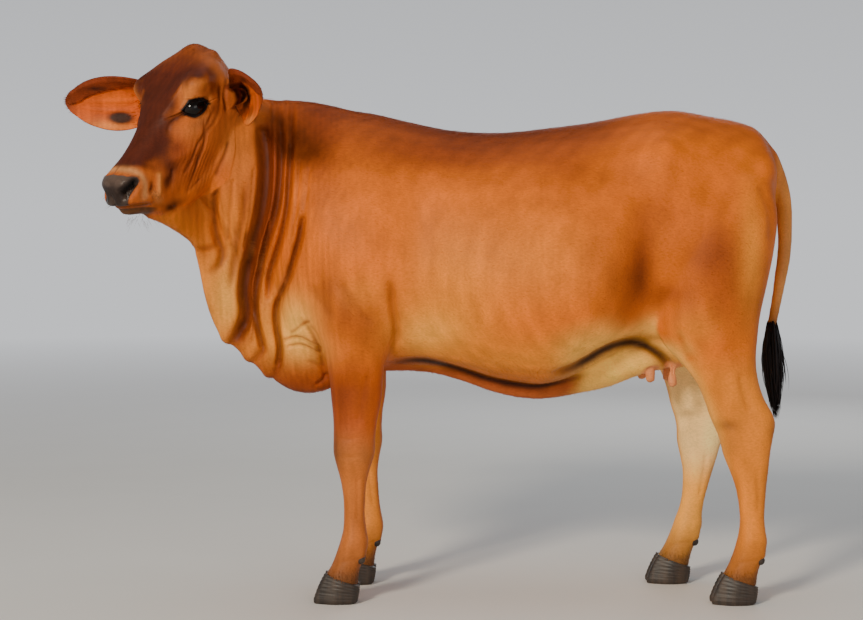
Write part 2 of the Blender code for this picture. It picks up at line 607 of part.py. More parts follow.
def whole_body(collection):
    """All the flesh but the ears and the free tail, as one skin of even squares."""
    forms = [lengthwise(name, table, collection) for name, table in (
        ("torso form", TORSO), ("neck form", NECK), ("dewlap form", DEWLAP), ("belly form", BELLY_FOLD),
        ("udder form", UDDER))]
    for side in (-1.0, 1.0):
        forms.append(leg("foreleg form", FORELEG, side, FORELEG_SHIFT, collection))
        forms.append(leg("hindleg form", HINDLEG, side, HINDLEG_SHIFT, collection))
    forms.append(head_form("skull form", SKULL, collection))
    forms.append(head_form("jaw form", JAW, collection))
    forms.append(hanging_tube("tail form", [row for row in TAIL if row[1] > 0.80], 24, collection))
    for x, y, level, radius, length in TEATS:
        rings = []
        for share in np.linspace(0.0, 1.0, 8):
            round_end = math.sqrt(max(0.05, 1.0 - max(0.0, share - 0.75) ** 2 * 14.0))
            across, up = oval(16, radius * round_end, radius * round_end, radius * round_end, 2.0, 2.0)
            rings.append(np.stack([x + across, y + up, np.full(16, level + 0.03 - share * (length + 0.03))],
                                  axis=1) * SIZE)
        forms.append(loft("teat form", rings, collection))
    body = joined(forms, "body", collection)
    remesh = body.modifiers.new("even squares", "REMESH")
    remesh.mode = "VOXEL"
    remesh.voxel_size = VOXEL * SIZE
    settle(body)
    return body


def edge_ends(mesh):
    """The two points of each edge."""
    ends = np.empty(len(mesh.edges) * 2, dtype=np.int32)
    mesh.edges.foreach_get("vertices", ends)
    return ends.reshape(-1, 2)


def relax(mesh, strength, rounds):
    """Draws each point towards the middle of its neighbours, by its own strength."""
    points = read_points(mesh)
    ends = edge_ends(mesh)
    first = np.concatenate([ends[:, 0], ends[:, 1]])
    second = np.concatenate([ends[:, 1], ends[:, 0]])
    neighbours = np.maximum(np.bincount(first, minlength=len(points)), 1)
    for _ in range(rounds):
        for axis in range(3):
            middle = np.bincount(first, weights=points[second, axis], minlength=len(points)) / neighbours
            points[:, axis] += strength * (middle - points[:, axis])
    write_points(mesh, points)


def head_height(points):
    """How far each point lies above the sheet that parts the head from the neck."""
    back = points @ np.array(PART_ACROSS) / SIZE
    profile = np.array(HEAD_PART)[::-1]
    height = points[:, 2] / SIZE - np.interp(back, profile[:, 0], profile[:, 1])
    return np.where(back > profile[-1, 0], -1.0, height)


def refine_head(body):
    """Splits the squares of the head into four."""
    bm = bmesh.new()
    bm.from_mesh(body.data)
    points = read_points(body.data)
    inside = head_height(points) > -0.02
    bm.verts.ensure_lookup_table()
    edges = [edge for edge in bm.edges if inside[edge.verts[0].index] and inside[edge.verts[1].index]]
    bmesh.ops.subdivide_edges(bm, edges=edges, cuts=1, use_grid_fill=True)
    bmesh.ops.triangulate(bm, faces=[face for face in bm.faces if len(face.verts) > 4])
    bm.to_mesh(body.data)
    bm.free()


def near_path(places, path, width, fade):
    """Strength of a groove at each place: full on the path, less across it, and fading over its ends."""
    best = np.zeros(len(places))
    path = np.array(path)
    lengths = np.linalg.norm(np.diff(path, axis=0), axis=1)
    total = lengths.sum()
    travelled = 0.0
    for start, end, length in zip(path, path[1:], lengths):
        share = np.clip((places - start) @ (end - start) / length ** 2, 0.0, 1.0)
        distance = np.linalg.norm(places - (start + share[:, None] * (end - start)), axis=1)
        run = travelled + share * length
        strength = np.exp(-(distance / width) ** 2)
        if fade:
            strength *= ramp(run, -0.3 * fade, fade) * ramp(total - run, -0.3 * fade, fade)
        best = np.maximum(best, strength)
        travelled += length
    return best


def swell(places, forms):
    """How far each place is pushed out by soft forms, each made on both sides of the middle plane."""
    amount = np.zeros(len(places))
    for _, centre, reach, push in forms:
        for side in (-1.0, 1.0) if centre[1] else (1.0,):
            offset = (places - np.array(centre) * (1.0, side, 1.0)) / np.array(reach)
            amount += push * np.exp(-(offset ** 2).sum(axis=1))
    return amount


def push_out(mesh, amount):
    """Moves each point along its normal."""
    write_points(mesh, read_points(mesh) + read_normals(mesh) * (amount * SIZE)[:, None])


def sculpt_body(mesh):
    """Muscles, bones and hollows of the trunk, then the folds of the neck."""
    push_out(mesh, swell(read_points(mesh) / SIZE, BODY_FORMS))
    points = read_points(mesh)
    seen_from_left = points[:, [0, 2]] / SIZE
    seen_from_left[:, 0] += 0.02 * np.clip(points[:, 1] / 0.1, 0.0, 1.0)
    depth_here = sum(depth * near_path(seen_from_left, path, width, 0.06)
                     for _, path, width, depth in NECK_CREASES)
    on_neck = ramp(-head_height(points), 0.0, 0.02) * ramp(-points[:, 0] / SIZE, 0.02, 0.06)
    push_out(mesh, -depth_here * on_neck)


def sculpt_head(mesh):
    """Bones, lips, nostrils and creases of the face."""
    points = read_points(mesh)
    push_out(mesh, swell(to_head(points), HEAD_FORMS) * ramp(head_height(points), -0.01, 0.01))
    points = read_points(mesh)
    one_side = to_head(points)
    one_side[:, 1] = np.abs(one_side[:, 1])
    depth_here = sum(depth * near_path(one_side, path, width, 0.0) for _, path, width, depth in HEAD_GROOVES)
    push_out(mesh, -depth_here * ramp(head_height(points), -0.01, 0.01))


def eye_axes(side):
    """Middle of an eyeball and its gaze, forward and up directions, in the world."""
    forward, left, up = head_axes()
    middle = from_head((EYE_PLACE[0], side * EYE_PLACE[1], EYE_PLACE[2]))[0]
    gaze = EYE_GAZE[0] * forward + side * EYE_GAZE[1] * left + EYE_GAZE[2] * up
    gaze /= np.linalg.norm(gaze)
    across = forward + EYE_TILT * up
    across -= gaze * (across @ gaze)
    across /= np.linalg.norm(across)
    above = np.cross(across, gaze) * side
    return middle, gaze, across, above


def shape_lids(mesh):
    """Opens the skin over each eyeball in an almond, with a lid lying on the ball around it."""
    points = read_points(mesh)
    for side in (-1.0, 1.0):
        middle, gaze, across, above = eye_axes(side)
        axes = np.stack([across / EYE_SIZE[0], above / EYE_SIZE[1], gaze / EYE_SIZE[2]]) / SIZE
        offset = (points - middle) @ axes.T
        distance = np.linalg.norm(offset, axis=1)
        near = (distance < 3.2) & (offset[:, 2] > 0.0)
        way = offset[near] / distance[near, None]
        reach = np.where(way[:, 1] > 0.0, LID_ABOVE, LID_BELOW)
        rim = reach * (1.0 - np.minimum(np.abs(way[:, 0] / LID_LENGTH), 1.0) ** 2.2)
        outside = np.abs(way[:, 1]) - rim
        lid = 1.0 + LID_DEPTH
        blend = np.maximum(ramp(outside, 0.08, 0.70), ramp(distance[near], 1.5, 2.6))
        blend = np.maximum(blend, 1.0 - ramp(way[:, 2], 0.0, 0.40))
        shaped = np.maximum(lid + (distance[near] - lid) * blend, lid)
        shaped = np.where((outside < 0.0) & (way[:, 2] > 0.12), 0.90, shaped)
        points[near] = middle + (way * shaped[:, None]) @ np.linalg.inv(axes).T
    write_points(mesh, points)


def thin_out(thing, keep, triangles):
    """Collapses an object's skin outside the kept points, to about a number of triangles there."""
    mesh = thing.data
    mesh.calc_loop_triangles()
    corners = np.empty(len(mesh.loop_triangles) * 3, dtype=np.int32)
    mesh.loop_triangles.foreach_get("vertices", corners)
    kept = keep[corners.reshape(-1, 3)].any(axis=1).sum()
    group = thing.vertex_groups.new(name="to thin")
    group.add(np.nonzero(~keep)[0].tolist(), 1.0, "REPLACE")
    decimate = thing.modifiers.new("fewer triangles", "DECIMATE")
    decimate.ratio = (triangles + kept) / len(mesh.loop_triangles)
    decimate.use_collapse_triangulate = True
    decimate.vertex_group = group.name
    decimate.vertex_group_factor = 1.0
    settle(thing)
    thing.vertex_groups.clear()


def move_to(thing, collection):
    """Puts an object in one collection only."""
    for other in thing.users_collection:
        other.objects.unlink(thing)
    collection.objects.link(thing)


def guide(thing, collection):
    """Puts an object in a collection as a wire guide that no picture shows."""
    move_to(thing, collection)
    thing.hide_render = True
    thing.display_type = "WIRE"
    return thing


def slab(name, centre, facing, half_width, half_height, thickness, collection):
    """A thin box that parts the flesh; its faces look along facing."""
    bpy.ops.mesh.primitive_cube_add(size=2.0)
    thing = bpy.context.object
    thing.name = name
    turn = Vector((0.0, 0.0, 1.0)).rotation_difference(Vector(facing)).to_matrix().to_4x4()
    scale = Matrix.Diagonal((half_width * SIZE, half_height * SIZE, thickness / 2.0, 1.0))
    thing.data.transform(Matrix.Translation(Vector(centre) * SIZE) @ turn @ scale)
    return guide(thing, collection)


def head_sheet(collection):
    """The bent sheet that parts the head from the neck."""
    across = Vector(PART_ACROSS)
    width = Vector((-across.y, across.x, 0.0))
    bm = bmesh.new()
    rows = []
    for back, level in HEAD_PART:
        middle = across * back + Vector((0.0, 0.0, level))
        rows.append([bm.verts.new((middle + width * reach) * SIZE) for reach in (-0.16, 0.40)])
    for upper, lower in zip(rows, rows[1:]):
        bm.faces.new((upper[0], upper[1], lower[1], lower[0]))
    mesh = bpy.data.meshes.new("head sheet")
    bm.to_mesh(mesh)
    bm.free()
    thing = new_object("head sheet", mesh, collection)
    solid = thing.modifiers.new("thickness", "SOLIDIFY")
    solid.thickness = GAP
    solid.offset = 0.0
    solid.use_even_offset = True
    settle(thing)
    return guide(thing, collection)


def swollen(thing, collection):
    """A copy of an object that is one gap larger all over, to cut its neighbours by."""
    copy = guide(new_object(thing.name + " with its gap", thing.data.copy(), collection), collection)
    copy.modifiers.new("triangles", "TRIANGULATE")
    swell = copy.modifiers.new("gap", "DISPLACE")
    swell.strength = GAP * 1.3
    swell.mid_level = 0.0
    settle(copy)
    return copy


def islands(mesh):
    """The separate bodies of a mesh, as lists of its point numbers."""
    ends = edge_ends(mesh)
    label = np.arange(len(mesh.vertices))
    while True:
        lowest = np.minimum(label[ends[:, 0]], label[ends[:, 1]])
        before = label.copy()
        np.minimum.at(label, ends[:, 0], lowest)
        np.minimum.at(label, ends[:, 1], lowest)
        label = label[label]
        if np.array_equal(label, before):
            return [np.nonzero(label == value)[0] for value in np.unique(label)]


def part_of(mesh, numbers, name):
    """A new mesh that holds only the given points of another."""
    bm = bmesh.new()
    bm.from_mesh(mesh)
    wanted = set(numbers.tolist())
    bmesh.ops.delete(bm, geom=[vert for vert in bm.verts if vert.index not in wanted], context="VERTS")
    part = bpy.data.meshes.new(name)
    bm.to_mesh(part)
    bm.free()
    return part


def keep_largest(thing):
    """Drops all but the largest closed body of an object."""
    bodies = islands(thing.data)
    if len(bodies) > 1:
        points = read_points(thing.data)
        largest = max(bodies, key=lambda body: np.ptp(points[body], axis=0).prod())
        thing.data = part_of(thing.data, largest, thing.name)


def finish(thing, colour):
    """Gives an object its colour and smooth shading."""
    thing.data.materials.clear()
    thing.data.materials.append(material(colour))
    thing.data.shade_smooth()
    thing.data.set_sharp_from_angle(angle=SHARP_EDGE)


def part_flesh(body, parts, cutters):
    """Cuts the body into its named pieces with thin slabs, and levels the lower ends of the legs."""
    head_sheet(cutters)
    for name, centre, facing, half_width, half_height in FLAT_PARTS:
        slab(name, centre, facing, half_width, half_height, GAP, cutters)
    slab("tail cut", (0.915, 0.0, TAIL_CUT - 0.05), (0.0, 0.0, 1.0), 0.042, 0.050, 0.10, cutters)
    for name, x, y in FEET:
        below = Vector((x, y, CORONET_LEVEL)) + coronet_up() * -0.10
        slab(name + " end", below, coronet_up(), 0.16, 0.085, 0.20 * SIZE, cutters)
    combine(body, cutters)
    points = read_points(body.data)
    bodies = [numbers for numbers in islands(body.data) if len(numbers) > 40]
    made = {}
    for name, place in FLESH_POINTS:
        near = [np.linalg.norm(points[numbers] - np.array(place) * SIZE, axis=1).min() for numbers in bodies]
        made[name] = new_object(name, part_of(body.data, bodies[int(np.argmin(near))], name), parts)
    remove(body)
    return made


def coronet_up():
    """The way that faces up out of a coronet, square to its plane."""
    return Vector((math.sin(CORONET_SLOPE), 0.0, math.cos(CORONET_SLOPE)))


def ear(side, parts):
    """A leaf-shaped ear rolled into a cup at its root."""
    forward, left, up = head_axes()

    def way(parts_of_way):
        ahead, aside, above = parts_of_way
        return Vector(ahead * forward + side * aside * left + above * up).normalized()

    aim = way(EAR_AIM)
    face = way(EAR_FACE)
    face = (face - aim * face.dot(aim)).normalized()
    across = aim.cross(face)
    root = Vector(from_head((EAR_ROOT[0], side * EAR_ROOT[1], EAR_ROOT[2]))[0])
    bm = bmesh.new()
    grid = []
    for share, width, roll in stations(EAR, EAR_ROW_STEP):
        radius = width / 2.0 / roll
        sink = EAR_SINK * (1.0 - ramp(share, 0.0, 0.6))
        spine = root + (aim * (share * EAR_LENGTH) - face * sink) * SIZE
        turns = np.linspace(-roll, roll, EAR_COLUMNS + 1)
        grid.append([bm.verts.new(spine + (across * (radius * math.sin(turn))
                                           + face * (radius * (1.0 - math.cos(turn)))) * SIZE)
                     for turn in turns])
    for lower, upper in zip(grid, grid[1:]):
        for index in range(EAR_COLUMNS):
            bm.faces.new((lower[index], lower[index + 1], upper[index + 1], upper[index]))
    bmesh.ops.triangulate(bm, faces=bm.faces)
    name = "ear_left" if side > 0.0 else "ear_right"
    mesh = bpy.data.meshes.new(name)
    bm.to_mesh(mesh)
    bm.free()
    thing = new_object(name, mesh, parts)
    solid = thing.modifiers.new("thickness", "SOLIDIFY")
    solid.thickness = EAR_THICKNESS * SIZE
    solid.offset = 0.0
    settle(thing)
    return thing


def claw(name, foot_x, foot_y, side, parts):
    """One claw of a hoof, flat below and cut off at the coronet above."""
    up = coronet_up()
    rings = []
    count = 16
    turn = np.linspace(0.0, 2.0 * math.pi, count, endpoint=False)
    for share in (0.0, 0.05, 0.50, 1.0):
        spread = 1.0 - 0.10 * share
        tuck = 0.94 if share == 0.0 else 1.0
        length = CLAW_LENGTH / 2.0 * (1.0 - 0.24 * share) * tuck
        along = length * np.cos(turn)
        toe = ramp(-along / length, -0.1, 1.0)
        half_width = CLAW_WIDTH / 2.0 * spread * tuck * (1.0 - 0.28 * toe)
        across = half_width * np.sign(np.sin(turn)) * np.abs(np.sin(turn)) ** 0.75
        across = across - 0.10 * CLAW_WIDTH * toe
        x = foot_x - 0.020 * (1.0 - share) + along
        y = foot_y + side * (CLEFT / 2.0 + CLAW_WIDTH / 2.0 + across)
        top = CORONET_LEVEL - (x - foot_x) * up.x / up.z - GAP * 1.2 / up.z
        z = share * top
        rings.append(np.stack([x, y, z], axis=1) * SIZE)
    return loft(name, rings, parts)


def leg_back(foot, level):
    """The x of the back of a foot's leg at a level."""
    table, shifts = (FORELEG, FORELEG_SHIFT) if foot.startswith("fore") else (HINDLEG, HINDLEG_SHIFT)
    rows = np.array(table)[::-1]
    back = np.interp(level, rows[:, 0], rows[:, 2])
    return back + (np.interp(level, *np.array(shifts).T) if foot.endswith("right") else 0.0)


def hooves(made, parts, cutters):
    """Two claws and two dewclaws on each foot."""
    for foot, x, y in FEET:
        outward = -1.0 if y < 0.0 else 1.0
        back = leg_back(foot, DEWCLAW_LEVEL)
        shin = made[("foreleg_" if foot.startswith("fore") else "hindleg_") + foot.split("_")[1] + "_lower"]
        shin_and_gap = swollen(shin, cutters)
        for place, side in (("outer", outward), ("inner", -outward)):
            finish(claw("claw_" + foot + "_" + place, x, y, side, parts), "horn")
            bpy.ops.mesh.primitive_uv_sphere_add(segments=12, ring_count=7, radius=1.0)
            dewclaw = bpy.context.object
            dewclaw.name = "dewclaw_" + foot + "_" + place
            where = Vector((back - DEWCLAW_SINK, y + side * DEWCLAW_ASIDE, DEWCLAW_LEVEL)) * SIZE
            size = Matrix.Diagonal((*DEWCLAW_SIZE, 1.0)) * SIZE
            size[3][3] = 1.0
            lean = Matrix.Rotation(DEWCLAW_LEAN, 4, "Y")
            dewclaw.data.transform(Matrix.Translation(where) @ lean @ size)
            move_to(dewclaw, parts)
            combine(dewclaw, shin_and_gap)
            keep_largest(dewclaw)
            finish(dewclaw, "horn")


def eyes(head, parts):
    """Eyeballs, and the sockets that hold them."""
    for side, name in ((1.0, "eye_left"), (-1.0, "eye_right")):
        middle, gaze, across, above = eye_axes(side)
        turn = Matrix(np.stack([across, above, gaze]).T).to_4x4()
        for slack in (0.024 * EYE_SIZE[0] + GAP, 0.0):
            bpy.ops.mesh.primitive_uv_sphere_add(segments=20, ring_count=11, radius=1.0)
            ball = bpy.context.object
            size = Matrix.Diagonal((*[(half + slack) * SIZE for half in EYE_SIZE], 1.0))
            ball.data.transform(Matrix.Translation(Vector(middle)) @ turn @ size)
            if turn.determinant() < 0.0:
                ball.data.flip_normals()
            if slack:
                combine(head, ball)
                remove(ball)
        move_to(ball, parts)
        ball.name = name
        finish(ball, "eye")
    keep_largest(head)


def tail(parts):
    """The free tail, from its cut below the rump to its cut above the switch."""
    levels = np.concatenate([[TAIL_CUT - GAP / SIZE], np.arange(0.96, SWITCH_CUT, -0.03), [SWITCH_CUT]])
    turn = np.linspace(0.0, 2.0 * math.pi, TAIL_SIDES, endpoint=False)
    rings = []
    for level in levels:
        x, radius = tail_at(level)
        rings.append(level_ring(x + radius * np.cos(turn), radius * np.sin(turn), level))
    return loft("tail", rings, parts)


def tail_at(level):
    """The tail's x and radius at a level below the rump."""
    hanging = np.array([row for row in TAIL if row[1] < 1.15])[::-1]
    place = np.array([level])
    return (float(curve_through(place, hanging[:, 1], hanging[:, 0])[0]),
            float(curve_through(place, hanging[:, 1], hanging[:, 2])[0]))


def lock(name, start, bend, length, width, thickness, collection):
    """One flat tapered lock of hair that hangs and bends."""
    count = 6
    turn = np.linspace(0.0, 2.0 * math.pi, count, endpoint=False)
    flat = Vector((bend[1], -bend[0], 0.0)).normalized() if (bend[0] or bend[1]) else Vector((1.0, 0.0, 0.0))
    out = Vector((flat.y, -flat.x, 0.0))
    rings = []
    for share in np.linspace(0.0, 1.0, 8):
        middle = Vector(start) + Vector((bend[0] * share ** 1.3, bend[1] * share ** 1.3, -length * share))
        size = (1.0 - share ** 2.2) * 0.92 + 0.08
        across = [flat * (width * size * math.cos(angle)) for angle in turn]
        through = [out * (thickness * size * math.sin(angle)) for angle in turn]
        rings.append([(middle + aside + ahead) * SIZE for aside, ahead in zip(across, through)])
    return loft(name, rings, collection)


def switch(parts):
    """The tuft at the tail's end: a core, and locks that grow from it and hang down."""
    top = SWITCH_CUT - GAP / SIZE
    turn = np.linspace(0.0, 2.0 * math.pi, TAIL_SIDES, endpoint=False)
    widest = tail_at(SWITCH_CUT)[1]
    rings = []
    for drop in (0.0, 0.2, 0.47, 0.73, 1.0):
        level = top - drop * CORE_LENGTH
        radius = widest * (1.0 - 0.5 * drop)
        x = tail_at(max(level, TAIL[-1][1]))[0]
        rings.append(level_ring(x + radius * np.cos(turn), radius * np.sin(turn), level))
    core = loft("tail_switch", rings, parts)
    locks = new_collection("locks of the switch")
    draw = np.random.default_rng(11)
    middle_x = tail_at(SWITCH_CUT)[0]
    for index in range(LOCKS):
        angle = GOLDEN_ANGLE * index
        drop = 0.012 + 0.11 * index / LOCKS
        reach = draw.uniform(0.008, 0.020) * (1.0 - 0.35 * index / LOCKS)
        start = (middle_x + 0.005 * math.cos(angle), 0.005 * math.sin(angle), top - drop)
        bend = (0.014 + reach * math.cos(angle), reach * math.sin(angle))
        length = (start[2] - SWITCH_TIP) * draw.uniform(0.72, 1.0)
        lock("lock", start, bend, length, draw.uniform(0.0060, 0.0085), 0.0035, locks)
    combine(core, locks, "UNION")
    for thing in list(locks.objects):
        remove(thing)
    bpy.data.collections.remove(locks)
    keep_largest(core)
    return core


def stand_over_origin(parts):
    """Moves every part so that the middle of the whole box is over the origin."""
    for thing in parts.objects:
        thing.data.transform(Matrix.Translation(Vector((-BOX_MIDDLE[0], -BOX_MIDDLE[1], 0.0)) * SIZE))


def clear_scene():
    """Starts from an empty scene."""
    for thing in list(bpy.data.objects):
        bpy.data.objects.remove(thing)


def main():
    """Builds every part of the animal."""
    clear_scene()
    parts = new_collection(COLLECTION)
    cutters = new_collection("cutters")
    body = whole_body(parts)
    points = read_points(body.data)
    trunk = ramp(points[:, 2] / SIZE, 0.50, 0.62) * ramp(-head_height(points), -0.01, 0.05)
    free_tail = ramp(points[:, 0] / SIZE, 0.868, 0.88)
    relax(body.data, 0.5 * np.ones(len(points)), 5)
    relax(body.data, 0.5 * trunk * (1.0 - free_tail), 30)
    sculpt_body(body.data)
    refine_head(body)
    sculpt_head(body.data)
    points = read_points(body.data)
    relax(body.data, 0.4 * ramp(head_height(points), -0.03, -0.01), 2)
    shape_lids(body.data)
    points = read_points(body.data)
    thin_out(body, head_height(points) > 0.0, BODY_TRIANGLES)
    points = read_points(body.data)
    thin_out(body, head_height(points) <= 0.0, HEAD_TRIANGLES)
    made = part_flesh(body, parts, cutters)
    eyes(made["head"], parts)
    behind_ears = [swollen(made[name], cutters) for name in ("head", "neck")]
    for side in (1.0, -1.0):
        leaf = ear(side, parts)
        for flesh_and_gap in behind_ears:
            combine(leaf, flesh_and_gap)
        keep_largest(leaf)
        finish(leaf, "hide")
    hooves(made, parts, cutters)
    for thing in made.values():
        finish(thing, "hide")
    finish(tail(parts), "hide")
    finish(switch(parts), "dark hair")
    stand_over_origin(parts)


if __name__ == "__main__":
    main()
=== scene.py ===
"""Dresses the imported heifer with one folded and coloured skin, and with eyes, hooves, switch and coat.

Metres, +Z up. The animal faces -X and its left side is -Y. Every form is worked out with the middle plane
of the trunk at Y = 0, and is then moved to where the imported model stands.
"""
import json
import logging
import math
from collections.abc import Sequence
from dataclasses import dataclass
from enum import Enum

import bmesh
import bpy
import numpy as np
from mathutils import Matrix, Vector

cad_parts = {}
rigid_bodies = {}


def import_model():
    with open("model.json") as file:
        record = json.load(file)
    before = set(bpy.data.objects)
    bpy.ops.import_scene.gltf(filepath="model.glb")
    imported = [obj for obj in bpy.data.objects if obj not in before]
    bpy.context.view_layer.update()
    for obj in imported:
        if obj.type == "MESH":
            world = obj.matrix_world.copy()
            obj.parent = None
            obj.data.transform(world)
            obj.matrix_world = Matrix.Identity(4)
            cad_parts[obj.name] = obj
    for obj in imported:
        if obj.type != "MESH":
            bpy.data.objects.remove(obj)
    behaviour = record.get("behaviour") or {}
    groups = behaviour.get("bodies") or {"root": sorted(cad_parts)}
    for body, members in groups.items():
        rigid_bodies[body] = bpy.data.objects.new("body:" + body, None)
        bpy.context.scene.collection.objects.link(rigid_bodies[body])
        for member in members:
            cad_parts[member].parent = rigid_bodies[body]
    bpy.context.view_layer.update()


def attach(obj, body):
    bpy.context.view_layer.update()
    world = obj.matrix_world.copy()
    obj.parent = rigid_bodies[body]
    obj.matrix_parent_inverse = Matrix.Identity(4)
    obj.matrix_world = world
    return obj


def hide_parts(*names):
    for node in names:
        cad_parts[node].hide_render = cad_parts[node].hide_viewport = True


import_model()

log = logging.getLogger("heifer")

Array = np.ndarray
Rows = tuple[tuple[float, ...], ...]
Colour = tuple[float, float, float]
Form = tuple[str, tuple[float, float, float], tuple[float, float, float], float]
Groove = tuple[str, tuple[tuple[float, ...], ...], float, float]
Spot = tuple[Colour, float, tuple[float, float, float], tuple[float, float, float]]

ORIGIN_SHIFT = Vector((0.006, 0.069, 0.0))
GOLDEN_ANGLE = 2.399963


class Side(Enum):
    """A side of the animal; the value is +1 for its left."""

    LEFT = 1.0
    RIGHT = -1.0


class Band(Enum):
    """How far the skin's squares are split, by how much the photo shows there."""

    HEAD_AND_NECK = "head and neck"
    FACE = "eyes, nose and mouth"
    LIDS = "eyelids"


def ramp(value: Array, low: float, high: float) -> Array:
    """Smooth step.

    Args:
        value: Numbers to grade.
        low: Where the step starts.
        high: Where the step ends.

    Returns:
        0 below low, 1 above high, and smooth between.
    """
    share = np.clip((value - low) / (high - low), 0.0, 1.0)
    return share * share * (3.0 - 2.0 * share)


def fall(value: Array, low: float, high: float) -> Array:
    """Smooth step down: 1 below low and 0 above high."""
    return 1.0 - ramp(value, low, high)


def around(count: int) -> Array:
    """Evenly spaced angles of a whole turn."""
    return np.linspace(0.0, 2.0 * math.pi, count, endpoint=False)


def read_table(rows: Rows, places: Array) -> Array:
    """Reads a table's second column at places along its first, with straight lines between the rows."""
    along, values = np.array(rows, dtype=float).T[:2]
    return np.interp(places, along, values)


def curve_through(places: Array, along: Array, values: Array) -> Array:
    """Reads a smooth curve that passes through given values.

    Args:
        places: Where to read the curve.
        along: Where the values lie, in rising order.
        values: The values there.

    Returns:
        The curve's value at each place.
    """
    slopes = np.gradient(values, along)
    left = np.clip(np.searchsorted(along, places, side="right") - 1, 0, len(along) - 2)
    span = along[left + 1] - along[left]
    share = (places - along[left]) / span
    start = (1.0 + 2.0 * share) * (1.0 - share) ** 2
    end = share ** 2 * (3.0 - 2.0 * share)
    leave = share * (1.0 - share) ** 2 * span
    arrive = share ** 2 * (share - 1.0) * span
    return start * values[left] + end * values[left + 1] + leave * slopes[left] + arrive * slopes[left + 1]


def stations(rows: Rows, step: float, along: Array | None = None) -> Array:
    """Fills in a table of sections at even steps.

    Args:
        rows: The table; its first column is the place along the form.
        step: Distance between the sections.
        along: Places of the rows, if their first column does not give them.

    Returns:
        Rows at even steps, on smooth curves through the table.
    """
    table = np.array(rows, dtype=float)
    along = table[:, 0] if along is None else along
    if along[0] > along[-1]:
        table, along = table[::-1], along[::-1]
    places = np.linspace(along[0], along[-1], max(2, round((along[-1] - along[0]) / step) + 1))
    return np.stack([curve_through(places, along, column) for column in table.T], axis=1)


def oval(count: int, half_width: float, above: float, below: float, power_above: float,
         power_below: float) -> tuple[Array, Array]:
    """Draws a rounded section.

    Args:
        count: Number of points.
        half_width: Half of the greatest width.
        above: Reach above the widest level.
        below: Reach below the widest level.
        power_above: 2 for an ellipse, more for squarer shoulders.
        power_below: The same, below the widest level.

    Returns:
        Distances across and up from the middle of the widest level.
    """
    turn = around(count)
    power = np.where(np.sin(turn) >= 0.0, power_above, power_below)
    reach = np.where(np.sin(turn) >= 0.0, above, below)
    across = half_width * np.sign(np.cos(turn)) * np.abs(np.cos(turn)) ** (2.0 / power)
    up = reach * np.sign(np.sin(turn)) * np.abs(np.sin(turn)) ** (2.0 / power)
    return across, up


def mesh_from(name: str, points: Array, faces: Array) -> bpy.types.Mesh:
    """Makes a mesh from arrays.

    Args:
        name: Name of the mesh.
        points: Rows of x, y, z.
        faces: Rows of point numbers, with equally many in each.

    Returns:
        The new mesh.
    """
    mesh = bpy.data.meshes.new(name)
    corners = faces.shape[1]
    mesh.vertices.add(len(points))
    mesh.vertices.foreach_set("co", points.astype(np.float32).ravel())
    mesh.loops.add(faces.size)
    mesh.loops.foreach_set("vertex_index", faces.astype(np.int32).ravel())
    mesh.polygons.add(len(faces))
    mesh.polygons.foreach_set("loop_start", np.arange(0, faces.size, corners, dtype=np.int32))
    mesh.update(calc_edges=True)
    return mesh


def new_object(name: str, mesh: bpy.types.Mesh) -> bpy.types.Object:
    """Adds an object for a mesh to the scene.

    Args:
        name: Name of the object.
        mesh: Its mesh.

    Returns:
        The new object.
    """
    thing = bpy.data.objects.new(name, mesh)
    bpy.context.scene.collection.objects.link(thing)
    return thing


def tube_faces(rings: int, count: int) -> Array:
    """Lists the squares between rings of points.

    Args:
        rings: Number of rings.
        count: Points in each ring.

    Returns:
        Rows of four point numbers.
    """
    ring, place = np.divmod(np.arange((rings - 1) * count), count)
    after = (place + 1) % count
    low = ring * count
    return np.stack([low + place, low + after, low + count + after, low + count + place], axis=1)


def loft(name: str, rings: Sequence[Array]) -> bpy.types.Object:
    """Makes a closed tube over rings of points.

    Args:
        name: Name of the object.
        rings: Rings of equally many points.

    Returns:
        The tube as an object, with its faces pointing out.
    """
    count = len(rings[0])
    mesh = mesh_from(name, np.concatenate(rings), tube_faces(len(rings), count))
    bm = bmesh.new()
    bm.from_mesh(mesh)
    bm.verts.ensure_lookup_table()
    bm.faces.new([bm.verts[index] for index in reversed(range(count))])
    bm.faces.new([bm.verts[index] for index in range((len(rings) - 1) * count, len(rings) * count)])
    bmesh.ops.recalc_face_normals(bm, faces=bm.faces)
    bm.to_mesh(mesh)
    bm.free()
    return new_object(name, mesh)


def joined(things: Sequence[bpy.types.Object], name: str) -> bpy.types.Object:
    """Puts the meshes of several objects in one.

    Args:
        things: Objects, which are removed.
        name: Name of the new object.

    Returns:
        The new object.
    """
    bm = bmesh.new()
    for thing in things:
        bm.from_mesh(thing.data)
    mesh = bpy.data.meshes.new(name)
    bm.to_mesh(mesh)
    bm.free()
    for thing in things:
        remove(thing)
    return new_object(name, mesh)


def remove(thing: bpy.types.Object) -> None:
    """Removes an object and its mesh."""
    mesh = thing.data
    bpy.data.objects.remove(thing)
    bpy.data.meshes.remove(mesh)


def settle(thing: bpy.types.Object) -> None:
    """Turns an object's modifiers into its mesh."""
    graph = bpy.context.evaluated_depsgraph_get()
    graph.update()
    mesh = bpy.data.meshes.new_from_object(thing.evaluated_get(graph))
    thing.modifiers.clear()
    thing.data = mesh


def read_rows(items: bpy.types.bpy_prop_collection, name: str, width: int = 3) -> Array:
    """Reads one property of all the items of a mesh.

    Args:
        items: The items.
        name: The property.
        width: How many numbers it has.

    Returns:
        A row of numbers for each item.
    """
    values = np.empty(len(items) * width, dtype=np.float32)
    items.foreach_get(name, values)
    return values.reshape(-1, width).astype(float)


